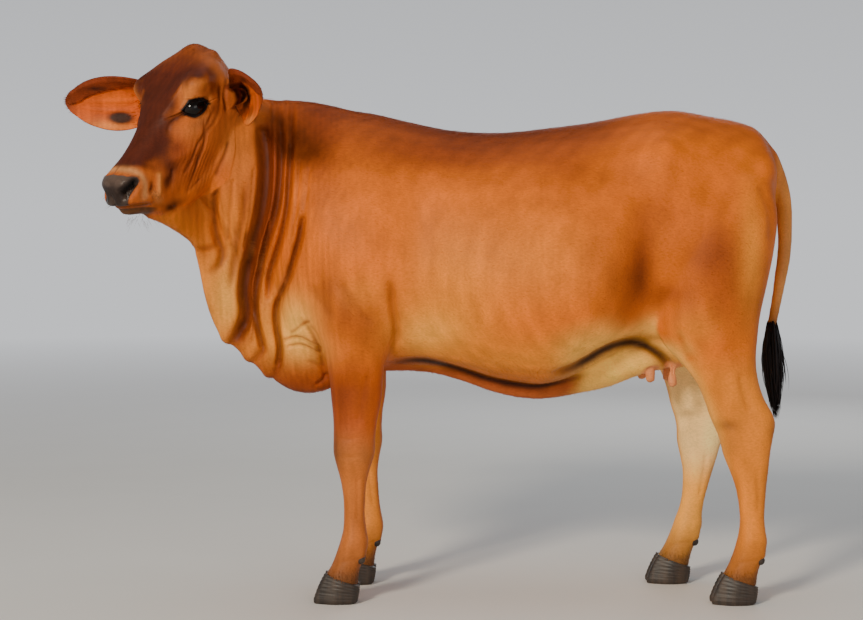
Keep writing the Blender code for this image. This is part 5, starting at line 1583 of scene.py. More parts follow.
@dataclass
class MarkingsAndShade:
    """The coat's colours over the whole animal, with painted shade and highlights laid into them, which the
    skin and its hair share.
    """

    pose: HeadPose
    eyes: EyeShape
    ears: Ears
    skin: Skin
    palette: Palette
    forehead_half: Rows = ((0.040, 0.020), (0.051, 0.030), (0.080, 0.044), (0.112, 0.049), (0.147, 0.060),
                           (0.168, 0.063), (0.187, 0.056), (0.203, 0.055), (0.240, 0.058), (0.257, 0.066),
                           (0.271, 0.078), (0.295, 0.084), (0.340, 0.090))
    forehead_edge: Rows = ((0.040, 0.090), (0.051, 0.087), (0.080, 0.081), (0.112, 0.074), (0.147, 0.073),
                           (0.168, 0.093), (0.187, 0.122), (0.203, 0.147), (0.225, 0.170), (0.240, 0.186),
                           (0.257, 0.200), (0.280, 0.216), (0.310, 0.212), (0.340, 0.196), (0.400, 0.186),
                           (0.440, 0.180))
    flank_line: Rows = ((0.30, 0.580), (0.37, 0.606), (0.41, 0.638), (0.47, 0.658), (0.52, 0.660),
                        (0.57, 0.650), (0.61, 0.640), (0.66, 0.640), (0.76, 0.66))
    belly_line: Rows = ((-0.12, 0.590), (0.05, 0.577), (0.16, 0.545), (0.30, 0.530), (0.40, 0.552))
    curtain_front: Rows = ((0.55, -0.40), (0.75, -0.44), (0.90, -0.425), (1.05, -0.42), (1.25, -0.43))
    curtain_back: Rows = ((0.55, -0.34), (0.75, -0.40), (0.90, -0.395), (1.05, -0.39), (1.25, -0.40))
    ear_fold: Rows = ((0.30, 0.040), (0.45, 0.036), (0.51, 0.033), (0.64, 0.027), (0.76, 0.017),
                      (0.82, 0.008), (0.96, -0.012))

    def trunk(self, points: Array, normals: Array, paint: Paint) -> None:
        """Lays on the trunk's markings: a dark topline that is partly painted shade, red-brown tones, painted
        shade before the thigh and under the folds, and pale flanks, belly and udder.

        Args:
            points: Rows of x, y, z.
            normals: The directions that the skin faces there.
            paint: What the colours are laid on.
        """
        colour = self.palette
        x, y, z = points.T
        torso, neck = np.array(TORSO), np.array(NECK)[::-1]
        top = np.where(x < -0.35, np.interp(x, neck[:, 0], neck[:, 2]),
                       np.interp(x, torso[:, 0], torso[:, 2]))
        # Darker towards the topline: partly the coat's own colour, partly painted shade on the back, which
        # faces away from the light.
        below_top = top - z + 0.022 * ridged(points * (0.5, 1.0, 1.6), 0.24, 21)
        saddle = 1.0 - 0.70 * ramp(x, 0.36, 0.56)
        paint.wash(colour.topline, 0.45 * saddle * fall(below_top, 0.00, 0.20))
        paint.wash(colour.topline, 0.62 * saddle * fall(below_top, 0.00, 0.085))
        paint.wash(colour.topline, 0.45 * soft_spot(points * (1.0, 0.0, 1.0), (0.100, 0.0, 1.150),
                                                    (0.170, 1.0, 0.055)))
        both = points.copy()
        both[:, 1] = np.abs(both[:, 1])
        paint.spots(both, (
                (colour.tan, 0.50, (0.050, 0.22, 0.800), (0.120, 0.30, 0.150)),
                (colour.tan, 0.34, (0.260, 0.22, 0.860), (0.150, 0.30, 0.120)),
                ((212, 108, 26), 0.55, (-0.235, 0.15, 0.900), (0.110, 0.30, 0.130)),
                (colour.red_brown, 0.34, (-0.270, 0.15, 1.060), (0.060, 0.30, 0.100)),
                (colour.red_brown, 0.44, (0.000, 0.20, 1.120), (0.230, 0.30, 0.060)),
                (colour.red_brown, 0.38, (0.330, 0.20, 1.090), (0.090, 0.30, 0.070)),
                # The next three darken the hollow before the thigh: partly the coat's red-brown, partly
                # painted shade in the hollow.
                (colour.red_brown, 0.70, (0.512, 0.20, 0.850), (0.036, 0.30, 0.110)),
                (colour.red_brown, 0.40, (0.460, 0.20, 0.800), (0.060, 0.30, 0.120)),
                (colour.dusk, 0.42, (0.508, 0.20, 0.812), (0.026, 0.30, 0.060)),
                (colour.red_brown, 0.34, (0.722, 0.20, 0.880), (0.055, 0.30, 0.080)),
                ((226, 146, 70), 0.60, (0.850, 0.00, 1.070), (0.030, 0.06, 0.045)),
                (colour.red_brown, 0.55, (0.575, 0.20, 0.775), (0.055, 0.30, 0.028)),
                (colour.red_brown, 0.40, (0.560, 0.20, 0.980), (0.070, 0.30, 0.050)),
                (colour.red_brown, 0.50, (0.735, 0.20, 0.770), (0.080, 0.30, 0.100)),
                (colour.dusk, 0.30, (0.655, 0.20, 0.860), (0.060, 0.30, 0.050)),
                (colour.tan, 0.75, (0.785, 0.18, 0.870), (0.035, 0.30, 0.150)),
                (colour.tan, 0.45, (0.640, 0.18, 0.690), (0.060, 0.30, 0.050)),
                (colour.red_brown, 0.42, (0.690, 0.20, 0.880), (0.060, 0.30, 0.080)),
                (colour.red_brown, 0.55, (-0.215, 0.20, 0.735), (0.075, 0.30, 0.060)),
                (colour.red_brown, 0.50, (-0.155, 0.20, 0.690), (0.050, 0.30, 0.060)),
                (colour.red_brown, 0.34, (-0.255, 0.20, 0.790), (0.040, 0.30, 0.030)),
                (colour.tan, 0.30, (-0.170, 0.20, 0.780), (0.060, 0.30, 0.045)),
                (colour.tan, 0.85, (0.010, 0.22, 0.690), (0.110, 0.30, 0.075)),
                (colour.cream, 0.45, (-0.010, 0.22, 0.660), (0.070, 0.30, 0.055)),
                (colour.tan, 0.70, (0.370, 0.22, 0.640), (0.110, 0.30, 0.035)),
                (colour.tan, 0.55, (0.200, 0.22, 0.610), (0.200, 0.30, 0.030))))
        under = ramp(-normals[:, 2], 0.25, 0.80) * ramp(x, -0.10, 0.02) * ramp(0.76 - z, 0.0, 0.06)
        paint.wash(colour.cream, 0.75 * under * ramp(x, 0.26, 0.36))
        paint.wash(colour.tan, 0.50 * under * fall(x, 0.26, 0.36))
        cream_flank = ramp(x, 0.335, 0.395) * fall(x, 0.70, 0.76) * fall(np.abs(y), 0.155, 0.185)
        line = read_table(self.flank_line, x)
        paint.wash(colour.cream, 0.95 * cream_flank * fall(z, line - 0.006, line + 0.010))
        line = read_table(self.belly_line, x)
        fold = fall(z, line - 0.008, line + 0.006)
        on_fold = fold * ramp(x, -0.13, -0.10) * fall(x, 0.33, 0.41) * fall(np.abs(y), 0.05, 0.09)
        paint.wash((170, 84, 40), 0.90 * on_fold)
        seen = self.skin.from_left(points)
        under = fall(np.abs(y), 0.17, 0.21)
        # Painted shadow along the creases under the belly fold and the flank fold.
        for _, path, width, _ in UNDER_LINES:
            paint.wash((150, 70, 26), 0.70 * under * near_path(seen, path, 2.0 * width, 0.04))
            paint.wash((30, 13, 6), 0.95 * under * near_path(seen, path, 1.05 * width, 0.10))
        hollow = ramp(x, 0.77, 0.80) * fall(np.abs(y), 0.030, 0.060) * ramp(1.06 - z, 0.0, 0.03)
        paint.wash(colour.tan, 0.70 * hollow * ramp(z, 0.60, 0.70))
        paint.wash((150, 92, 70), 0.85 * soft_spot(points, (0.862, 0.0, 0.985), (0.030, 0.020, 0.040)), 0.5)

    def neck(self, points: Array, normals: Array, paint: Paint) -> None:
        """Lays on the neck's markings: tan curtains and a pale breast, with painted shade in the folds behind
        the curtains and in the finer creases, and a painted shadow of the head on the upper neck.

        Args:
            points: Rows of x, y, z.
            normals: The directions that the skin faces there.
            paint: What the colours are laid on.
        """
        colour = self.palette
        x, _, z = points.T
        seen = self.skin.from_left(points)
        front = fall(x, read_table(self.curtain_front, z), read_table(self.curtain_back, z))
        paint.wash((204, 116, 38), 0.90 * front * fall(z, 1.14, 1.26))
        paint.wash((172, 88, 30), 0.65 * front * ramp(z, 0.94, 1.06))
        paint.wash(colour.cream, 0.55 * front * soft_spot(points * (1.0, 0.0, 1.0), (-0.510, 0.0, 0.760),
                                                          (0.050, 1.0, 0.100)))
        middle = ramp(x, -0.44, -0.41) * fall(x, -0.36, -0.27)
        paint.wash(colour.coat, 0.50 * middle * ramp(z, 0.80, 0.90))
        # Painted shade in the bottom of the great fold, a little behind its line.
        great_fold_shade = tuple((row[0] + 0.016, row[1]) for row in GREAT_FOLD)
        paint.wash((150, 62, 18), 0.80 * near_path(seen, great_fold_shade, 0.0300, 0.05))
        paint.wash((78, 30, 10), 0.85 * near_path(seen, great_fold_shade, 0.0200, 0.05))
        # Painted shadow of the head, laid as red-brown over the top of the neck behind it.
        paint.wash(colour.red_brown, 0.55 * ramp(z, 1.02, 1.12) * ramp(x, -0.43, -0.40)
                   * fall(x, -0.30, -0.20))
        paint.spots(points, ((colour.cream, 0.95, (-0.345, 0.0, 0.690), (0.060, 0.30, 0.075)),
                             (colour.cream, 0.55, (-0.330, 0.0, 0.620), (0.080, 0.30, 0.045)),
                             (colour.tan, 0.55, (-0.420, 0.0, 0.660), (0.060, 0.30, 0.120))))
        # Painted shade along the neck's folds and the elbow, then along every finer crease of the neck, trunk
        # and legs.
        for name, path, width, depth in NECK_CREASES:
            strength = min(0.85, 0.30 + 26.0 * depth) * (0.5 if name == "elbow" else 1.0)
            paint.wash((158, 68, 20), 0.70 * strength * near_path(seen, path, 1.50 * width, 0.05))
            paint.wash(colour.dusk, strength * near_path(seen, path, 0.80 * width, 0.05))
        for _, path, width, depth in FINE_CREASES:
            paint.wash(colour.dusk, min(0.5, 60.0 * depth) * near_path(seen, path, 0.7 * width, 0.02)
                       * ramp(np.abs(normals[:, 1]), 0.2, 0.5))
        paint.wash((172, 88, 42), 0.80 * ramp(x, -0.42, -0.36) * fall(x, -0.20, -0.10)
                   * fall(z, 0.530, 0.562))
        edge = fall(normals[:, 2], -0.85, -0.30) * fall(x, -0.30, -0.24) * fall(z, 0.92, 1.0)
        paint.wash((186, 112, 58), 0.45 * edge)

    def legs(self, points: Array, normals: Array, paint: Paint) -> None:
        """Lays on the legs' markings: pale inner sides, darker forearms, and smudged joints.

        Args:
            points: Rows of x, y, z.
            normals: The directions that the skin faces there.
            paint: What the colours are laid on.
        """
        colour = self.palette
        x, y, z = points.T
        seen = self.skin.from_left(points)
        on_leg = 1.0 - ramp(x, -0.13, -0.09) * fall(x, 0.57, 0.63)
        fore = on_leg * fall(x, 0.10, 0.20)
        hind = on_leg * ramp(x, 0.10, 0.20)
        inward = ramp(-normals[:, 1] * np.sign(y), 0.05, 0.75)
        low = fall(z, 0.54, 0.66)
        paint.wash((164, 70, 14), 0.65 * fore * low)
        paint.wash(colour.red_brown, 0.55 * fore * low * ramp(z, 0.40, 0.52)
                   * ramp(-normals[:, 0], -0.8, 0.4))
        paint.wash((196, 116, 50), 0.60 * fore * fall(z, 0.36, 0.46))
        paint.wash(colour.tan, 0.60 * hind * low)
        paint.wash(colour.pale_inner, 0.94 * hind * inward * fall(z, 0.60, 0.68) * ramp(z, 0.24, 0.38))
        paint.wash(colour.pale_inner, 0.75 * hind * inward * ramp(z, 0.56, 0.62) * fall(z, 0.78, 0.88))
        paint.wash(colour.tan, 0.60 * fore * inward * fall(z, 0.56, 0.66))
        places = np.stack([seen[:, 0], np.zeros(len(x)), seen[:, 1]], axis=1)
        paint.spots(places, ((colour.smudge, 0.55, (-0.240, 0.0, 0.385), (0.030, 1.0, 0.050)),
                             (colour.smudge, 0.35, (-0.165, 0.0, 0.375), (0.020, 1.0, 0.030)),
                             (colour.smudge, 0.50, (0.735, 0.0, 0.450), (0.026, 1.0, 0.014)),
                             (colour.smudge, 0.40, (0.850, 0.0, 0.440), (0.022, 1.0, 0.030)),
                             (colour.smudge, 0.30, (0.738, 0.0, 0.400), (0.022, 1.0, 0.040))))
        foot = fall(z, 0.085, 0.175)
        paint.wash((122, 74, 40), 0.62 * foot)
        paint.wash(colour.smudge, 0.60 * fall(z, 0.062, 0.095))

    def tail(self, points: Array, paint: Paint) -> None:
        """Darkens the tail towards its switch.

        Args:
            points: Rows of x, y, z.
            paint: What the colours are laid on.
        """
        x, y, z = points.T
        on_tail = ramp(x, 0.852, 0.868) * fall(np.abs(y), 0.034, 0.044) * ramp(1.14 - z, 0.0, 0.03)
        hanging = on_tail * fall(z, 0.96, 1.04) + on_tail * ramp(x, 0.872, 0.884) * ramp(z, 0.96, 1.04)
        paint.wash((214, 136, 66), 0.75 * hanging)
        paint.wash((196, 132, 74), 0.60 * hanging * fall(z, 0.86, 1.00))
        paint.wash(self.palette.dusk, 0.55 * hanging * fall(z, 0.68, 0.76))
        paint.wash(self.palette.switch, 0.95 * hanging * fall(z, 0.665, 0.715))

    def udder(self, points: Array, paint: Paint) -> None:
        """Leaves the teats bare.

        Args:
            points: Rows of x, y, z.
            paint: What the colours are laid on.
        """
        for x, y, level, radius, _ in TEATS:
            away = np.hypot(points[:, 0] - x, points[:, 1] - y)
            near = fall(away, 1.4 * radius, 2.4 * radius) * fall(points[:, 2], level, level + 0.012)
            paint.wash(self.palette.teat, near, 0.35)

    def head(self, points: Array, paint: Paint) -> None:
        """Lays on the head's markings: a dark forehead, bridge and mouth, and tan round the eyes and nose,
        with painted shade in its folds, wrinkles, hollows and nostrils, painted shadow under the chin, and a
        painted highlight on top of the nose pad.

        Args:
            points: Rows of x, y, z.
            paint: What the colours are laid on.
        """
        colour = self.palette
        places = self.pose.to_head(points)
        one_side = self.pose.one_side(points)
        back, aside, up = one_side.T
        flat = one_side * (1.0, 0.4, 1.0)
        here = ramp(self.pose.height(points), -0.012, 0.012)
        wide = ramp(self.pose.height(points) + 0.015 * ridged(places, 0.10, 31), -0.040, 0.060)
        wander = 0.006 * ridged(places, 0.035, 33) + 0.005 * ridged(places, 0.09, 34)

        def near(path: Sequence[Sequence[float]], width: float, fade: float = 0.012) -> Array:
            """Marks the places close to a path, whichever way the skin bulges there."""
            return here * near_path(flat, tuple((row[0], 0.4 * row[1], row[2]) for row in path), width, fade)

        paint.wash(colour.cheek, 0.92 * wide)
        paint.wash((196, 108, 42), 0.92 * wide * soft_spot(one_side, (0.350, 0.100, 0.030),
                                                           (0.050, 0.080, 0.080)))
        paint.spots(one_side, (((150, 66, 24), 0.60, (0.190, 0.070, 0.030), (0.060, 0.050, 0.040)),
                               ((116, 46, 18), 0.75, (0.180, 0.062, 0.080), (0.034, 0.050, 0.026)),
                               ((122, 50, 18), 0.55, (0.155, 0.055, 0.060), (0.040, 0.040, 0.016)),
                               ((186, 104, 44), 0.55, (0.235, 0.085, 0.100), (0.030, 0.040, 0.022))), here)
        line = read_table(self.forehead_edge, back)
        half = read_table(self.forehead_half, back)
        soft = 0.010 * ramp(back, 0.10, 0.15) * fall(back, 0.22, 0.26)
        top = np.maximum(ramp(up - line + 0.8 * wander, -0.018 - 2.0 * soft, 0.014 + soft),
                         ramp(half - aside + 1.4 * wander, -0.016 - soft, 0.012 + soft)
                         * ramp(up - line, -0.080, -0.050))
        paint.wash(colour.bridge, 0.94 * here * top * (1.0 - 0.45 * ramp(back, 0.30, 0.38))
                   * ramp(back, 0.036, 0.056))
        paint.wash((104, 40, 16), 0.70 * here * soft_spot(one_side, (0.325, 0.0, 0.250),
                                                          (0.060, 0.060, 0.030)))
        paint.wash((124, 52, 18), 0.60 * here * soft_spot(one_side * (1.0, 0.0, 1.0), (0.322, 0.0, 0.170),
                                                          (0.014, 1.0, 0.052)) * ramp(aside, 0.05, 0.08))
        oval_reach = np.hypot((back - 0.278) / 0.042, (up - 0.166) / 0.052)
        inner = aside - 0.022 * (places[:, 1] < 0.0)
        paint.wash((190, 108, 47), 0.92 * here * ramp(inner, 0.056, 0.078)
                   * fall(oval_reach + 1.5 * wander, 0.70, 1.12))
        paint.spots(one_side, (((150, 88, 46), 0.70, (0.262, 0.098, 0.112), (0.034, 0.030, 0.014)),
                               ((196, 104, 40), 0.85, (0.362, 0.106, 0.150), (0.018, 0.040, 0.070)),
                               ((196, 104, 44), 0.60, (0.385, 0.080, 0.215), (0.030, 0.040, 0.030))), here)
        paint.wash(colour.dusk, 0.22 * here * near(((0.336, 0.104, 0.195), (0.336, 0.104, 0.157),
                                                    (0.322, 0.104, 0.125)), 0.0050))
        # The first blot is painted shade where the fold from the eye's corner starts.
        paint.spots(one_side, (((92, 40, 16), 0.70, (0.310, 0.101, 0.128), (0.012, 0.030, 0.013)),
                               ((196, 110, 44), 0.50, (0.330, 0.094, 0.015), (0.030, 0.050, 0.040)),
                               ((176, 86, 34), 0.80, (0.358, 0.107, 0.143), (0.014, 0.040, 0.040)),
                               ((60, 25, 10), 0.75, (0.392, 0.122, 0.128), (0.009, 0.028, 0.026))), here)
        for path, width, strength in (
                (((0.232, 0.073, 0.146), (0.218, 0.062, 0.144), (0.203, 0.055, 0.140)), 0.0060, 0.75),
                (((0.203, 0.055, 0.147), (0.187, 0.056, 0.122), (0.168, 0.063, 0.093)), 0.0080, 0.45)):
            paint.wash(colour.bridge, strength * near(path, width))
        # The last two are painted shade in the lip dent and in the corner hollow.
        for path, width, shade, strength in (
                (((0.042, -0.013, 0.090), (0.045, 0.028, 0.088), (0.059, 0.054, 0.068), (0.058, 0.061, 0.046),
                  (0.047, 0.061, 0.025), (0.040, 0.055, 0.010)), 0.0100, (196, 132, 78), 0.92),
                (((0.116, 0.057, 0.049), (0.101, 0.058, 0.022), (0.086, 0.054, -0.008)),
                 0.0090, (204, 130, 66), 0.80),
                (((0.070, 0.060, 0.015), (0.085, 0.060, -0.010), (0.105, 0.058, -0.026)),
                 0.0110, (190, 122, 66), 0.75),
                (((0.083, 0.058, 0.038), (0.075, 0.060, 0.026), (0.061, 0.062, 0.018)),
                 0.0050, (112, 54, 26), 0.75),
                (((0.143, 0.058, 0.024), (0.127, 0.057, 0.014), (0.117, 0.056, 0.000)),
                 0.0090, (96, 44, 18), 0.62)):
            paint.wash(shade, strength * near(path, width))
        # Painted shade in the fine wrinkles of the cheek.
        paint.wash((96, 42, 14), 0.50 * here * self.skin.cheek_lines(one_side)
                   * soft_spot(one_side, (0.225, 0.080, 0.010), (0.055, 0.040, 0.060)))
        # Painted shade along the folds of the face.
        for _, path, width, depth in FACE_FOLDS:
            if depth > 0.0:
                paint.wash(colour.dusk, 0.64 * near(path, 0.8 * width))
        level = read_table(tuple(row[::2] for row in MOUTH), back)
        lower = fall(up - level, -0.006, -0.001) * fall(back, 0.070, 0.100) * fall(up, 0.0, 0.01)
        paint.wash(colour.lip, 0.92 * here * lower)
        # Painted shadow under the chin.
        paint.wash((58, 29, 13), 0.80 * here * soft_spot(one_side, (0.135, 0.040, -0.052),
                                                         (0.032, 0.034, 0.019)))
        paint.wash((12, 7, 5), 0.97 * near(MOUTH, 0.0070, 0.0), 0.3)
        pad = self.skin.on_pad(places) * here
        paint.wash(colour.nose, pad, 1.0)
        # A painted highlight along the top of the nose pad, and pale speckles over it.
        speckle = ramp(ridged(places, 0.030, 8), 0.0, 0.8)
        paint.wash(colour.nose_highlight_and_speckle, pad * (0.60 * ramp(up, 0.056, 0.080) + 0.22 * speckle), 1.0)
        # Painted shade in the nostril holes, black and rougher than the wet pad.
        hole = next(path for name, path, _, _ in FACE_FOLDS if name == "nostril hole")
        nostril_shade = near(hole, 0.0095, 0.004)
        paint.wash((4, 3, 3), 0.98 * nostril_shade, 0.0)
        paint.bare *= 1.0 - 0.8 * nostril_shade
        for side in Side:
            distance, way = self.eyes.on_ball(points, side)
            facing = (way[:, 2] > 0.0) & (distance < 1.35)
            outside = np.where(facing, self.eyes.outside(way), 9.0)
            paint.wash((96, 52, 26), 0.60 * fall(outside, 0.10, 0.30))
            paint.wash(colour.eye_rim, fall(outside, 0.07, 0.16) * fall(distance, 1.22, 1.30), 0.7)
        for corner, reach, strength in (((0.2375, 0.076, 0.1450), (0.0075, 0.014, 0.0040), 0.95),
                                        ((0.3050, 0.100, 0.1430), (0.0040, 0.014, 0.0036), 0.60)):
            at_corner = ramp(soft_spot(one_side, corner, reach), 0.25, 0.60)
            paint.wash(colour.eye_rim, strength * here * at_corner, 0.5)

    def ear(self, points: Array, normals: Array, paint: Paint) -> None:
        """Lays on the ears' markings: brown backs and folds, bright insides and a dark spot in each cup, with
        painted shadow under the folded rim and painted shade deep in each cup.

        Args:
            points: Rows of x, y, z.
            normals: The directions that the skin faces there.
            paint: What the colours are laid on.
        """
        colour = self.palette
        for side in Side:
            share, across, _ = self.ears.along(points, side)
            _, _, face, over = self.ears.axes(side)
            up = across * math.copysign(1.0, over.z)
            here = self.ears.on(points, side)
            front = ramp(normals @ np.array(face), -0.05, 0.25) * here
            at_rim = ramp(np.abs(across) / np.maximum(self.ears.half_width(share), 0.004), 0.86, 1.00)
            over_fold = up - read_table(self.ear_fold, share) + 0.004 * ridged(points, 0.02, 51)
            above = ramp(over_fold, -0.004, 0.005)
            spots = np.stack([share - 1.2 * (up + 0.041), up, up * 0.0], axis=1)
            paint.wash((104, 40, 14), 0.90 * here)
            paint.wash((198, 84, 18), 0.94 * front)
            paint.spots(spots, (((222, 132, 60), 0.75, (0.62, -0.060, 0.0), (0.25, 0.014, 1.0)),
                                ((228, 104, 20), 0.70, (0.45, 0.004, 0.0), (0.20, 0.020, 1.0))), front)
            paint.wash((112, 44, 16), 0.90 * front * above)
            # Painted shadow under the folded upper rim.
            paint.wash((40, 14, 6), 0.80 * front * soft_spot(spots, (0.62, 0.036, 0.0), (0.10, 0.007, 1.0)))
            paint.wash((120, 50, 18), 0.70 * front * np.maximum(0.6 * at_rim, ramp(share, 0.84, 1.0)))
            dark_spot = ramp(soft_spot(spots, (0.52, -0.042, 0.0), (0.12, 0.015, 1.0)), 0.10, 0.70)
            paint.wash(colour.ear_dark, (0.96 if side is Side.RIGHT else 0.45) * front * dark_spot)
            # Painted shade deep in each ear's cup towards its root, reaching further on the near ear, whose
            # whole hollow is darkened too.
            depth = 0.24 if side is Side.RIGHT else 0.50
            paint.wash((22, 9, 4), 0.96 * front * fall(share + 0.9 * np.abs(across), 0.10, depth))
            if side is Side.LEFT:
                cup = soft_spot(spots, (0.33, 0.004, 0.0), (0.26, 0.026, 1.0))
                paint.wash((26, 11, 5), 0.94 * front * ramp(cup, 0.15, 0.75))

    def colour(self, mesh: bpy.types.Mesh) -> None:
        """Lays all the markings, with their painted shade and highlights, on the skin and stores them with
        it.

        Args:
            mesh: The skin.
        """
        points, normals = read_points(mesh), read_normals(mesh)
        paint = Paint.start(len(points), self.palette.coat)
        off_head = fall(self.pose.height(points), -0.03, 0.0)
        body = off_head > 0.0
        on_body = Paint(paint.colours[body], paint.bare[body])
        for lay in (self.trunk, self.neck, self.legs):
            lay(points[body], normals[body], on_body)
        self.tail(points[body], on_body)
        self.udder(points[body], on_body)
        paint.colours[body], paint.bare[body] = on_body.colours, on_body.bare
        fore = points[:, 0] < -0.30
        on_head = Paint(paint.colours[fore], paint.bare[fore])
        self.head(points[fore], on_head)
        self.ear(points[fore], normals[fore], on_head)
        paint.colours[fore], paint.bare[fore] = on_head.colours, on_head.bare
        shade = 1.0 + 0.09 * ridged(points * (1.0, 1.0, 0.35), 0.045, 3) + 0.07 * ridged(points, 0.16, 4)
        fine = (0.35 + 0.65 * fall(points[:, 0], -0.28, -0.10)) * fall(points[:, 0], 0.30, 0.50)
        shade += 0.10 * fine * ridged(points * (1.0, 0.6, 0.10), 0.014, 5)
        paint.colours *= (1.0 + (shade - 1.0) * (1.0 - paint.bare))[:, None]
        paint.colours = np.clip(paint.colours, 0.0, 1.0)
        paint.store(mesh)


@dataclass(frozen=True)
class Finish:
    """A material's nodes, kept short for the finishes below."""

    name: str

    def start(self) -> tuple[bpy.types.Material, bpy.types.NodeTree, bpy.types.Node]:
        """Opens a new material.

        Returns:
            The material, its nodes, and its main shader.
        """
        made = bpy.data.materials.new(self.name)
        made.use_nodes = True
        tree = made.node_tree
        return made, tree, tree.nodes["Principled BSDF"]

    def noise(self, tree: bpy.types.NodeTree, scale: float, detail: float, stretch: tuple[float, float, float]
              ) -> bpy.types.NodeSocket:
        """Adds noise over the object's own coordinates.

        Args:
            tree: The material's nodes.
            scale: Noise scale, in cycles a metre.
            detail: Octaves.
            stretch: Scale along each axis.

        Returns:
            The noise's value.
        """
        place = tree.nodes.new("ShaderNodeTexCoord")
        mapping = tree.nodes.new("ShaderNodeMapping")
        mapping.inputs["Scale"].default_value = stretch
        noise = tree.nodes.new("ShaderNodeTexNoise")
        noise.inputs["Scale"].default_value = scale
        noise.inputs["Detail"].default_value = detail
        tree.links.new(place.outputs["Object"], mapping.inputs["Vector"])
        tree.links.new(mapping.outputs["Vector"], noise.inputs["Vector"])
        return noise.outputs["Fac"]

    def blend(self, tree: bpy.types.NodeTree, value: bpy.types.NodeSocket, low: float, high: float,
              start: float = 0.0, end: float = 1.0) -> bpy.types.NodeSocket:
        """Turns a value's range into another.

        Args:
            tree: The material's nodes.
            value: The value.
            low: Result at the range's start.
            high: Result at its end.
            start: The range's start.
            end: The range's end.

        Returns:
            The new value.
        """
        spread = tree.nodes.new("ShaderNodeMapRange")
        for name, number in (("From Min", start), ("From Max", end), ("To Min", low), ("To Max", high)):
            spread.inputs[name].default_value = number
        tree.links.new(value, spread.inputs["Value"])
        return spread.outputs["Result"]

    def attribute(self, tree: bpy.types.NodeTree, name: str) -> bpy.types.Node:
        """Reads a mesh attribute.

        Args:
            tree: The material's nodes.
            name: Name of the attribute.

        Returns:
            The node that reads it.
        """
        node = tree.nodes.new("ShaderNodeAttribute")
        node.attribute_name = name
        return node

    def multiply(self, tree: bpy.types.NodeTree, colour: bpy.types.NodeSocket, value: bpy.types.NodeSocket
                 ) -> bpy.types.NodeSocket:
        """Scales a colour by a value.

        Args:
            tree: The material's nodes.
            colour: The colour.
            value: The value.

        Returns:
            The scaled colour.
        """
        scaled = tree.nodes.new("ShaderNodeVectorMath")
        scaled.operation = "SCALE"
        tree.links.new(colour, scaled.inputs[0])
        tree.links.new(value, scaled.inputs["Scale"])
        return scaled.outputs["Vector"]

    def bump(self, tree: bpy.types.NodeTree, shader: bpy.types.Node, height: bpy.types.NodeSocket,
             distance: float, under: bpy.types.NodeSocket | None = None) -> bpy.types.NodeSocket:
        """Adds relief to a shader.

        Args:
            tree: The material's nodes.
            shader: The shader.
            height: The relief.
            distance: Its height in metres.
            under: Relief that it lies on.

        Returns:
            The new normal.
        """
        relief = tree.nodes.new("ShaderNodeBump")
        relief.inputs["Distance"].default_value = distance
        relief.inputs["Strength"].default_value = 1.0
        tree.links.new(height, relief.inputs["Height"])
        if under is not None:
            tree.links.new(under, relief.inputs["Normal"])
        tree.links.new(relief.outputs["Normal"], shader.inputs["Normal"])
        return relief.outputs["Normal"]


@dataclass(frozen=True)
class HideFinish(Finish):
    """Short sleek hair over skin, bare and moist where the mesh says so."""

    name: str = "short coat"
    hair_scale: float = 520.0
    hair_relief: float = 0.0005
    patch_scale: float = 46.0
    patch_relief: float = 0.0012
    pebble_scale: float = 330.0
    coat_roughness: float = 0.50
    bare_roughness: float = 0.30
    specular: float = 0.14

    def build(self) -> bpy.types.Material:
        """Makes the material.

        Returns:
            The material.
        """
        made, tree, shader = self.start()
        colour = self.attribute(tree, "markings").outputs["Color"]
        bare = self.attribute(tree, "bare").outputs["Fac"]
        strands = self.noise(tree, self.hair_scale, 3.0, (0.22, 1.0, 0.50))
        patches = self.noise(tree, self.patch_scale, 3.0, (0.6, 1.0, 0.35))
        tint = self.blend(tree, strands, 0.86, 1.14, 0.25, 0.75)
        wide = self.blend(tree, patches, 0.90, 1.10, 0.25, 0.75)
        tree.links.new(self.multiply(tree, self.multiply(tree, colour, tint), wide),
                       shader.inputs["Base Color"])
        rough = tree.nodes.new("ShaderNodeMix")
        tree.links.new(bare, rough.inputs["Factor"])
        tree.links.new(self.blend(tree, strands, self.coat_roughness - 0.07, self.coat_roughness + 0.12),
                       rough.inputs["A"])
        rough.inputs["B"].default_value = self.bare_roughness
        tree.links.new(rough.outputs["Result"], shader.inputs["Roughness"])
        pebbles = tree.nodes.new("ShaderNodeTexVoronoi")
        pebbles.inputs["Scale"].default_value = self.pebble_scale
        place = tree.nodes.new("ShaderNodeTexCoord")
        tree.links.new(place.outputs["Object"], pebbles.inputs["Vector"])
        relief = tree.nodes.new("ShaderNodeMix")
        tree.links.new(bare, relief.inputs["Factor"])
        tree.links.new(strands, relief.inputs["A"])
        tree.links.new(self.blend(tree, pebbles.outputs["Distance"], 0.9, 0.2), relief.inputs["B"])
        broad = self.bump(tree, shader, patches, self.patch_relief)
        self.bump(tree, shader, relief.outputs["Result"], self.hair_relief, broad)
        shader.inputs["Specular IOR Level"].default_value = self.specular
        return made


@dataclass(frozen=True)
class TuftFinish(Finish):
    """Strands of the coat, in the colour of the skin below."""

    name: str = "coat tufts"
    roughness: float = 0.55
    strand_scale: float = 700.0
    specular: float = 0.12

    def build(self) -> bpy.types.Material:
        """Makes the material.

        Returns:
            The material.
        """
        made, tree, shader = self.start()
        colour = self.attribute(tree, "markings").outputs["Color"]
        strands = self.noise(tree, self.strand_scale, 2.0, (0.5, 1.0, 0.3))
        tree.links.new(self.multiply(tree, colour, self.blend(tree, strands, 0.86, 1.16, 0.25, 0.75)),
                       shader.inputs["Base Color"])
        tree.links.new(self.blend(tree, strands, self.roughness - 0.05, self.roughness + 0.10),
                       shader.inputs["Roughness"])
        shader.inputs["Specular IOR Level"].default_value = self.specular
        return made


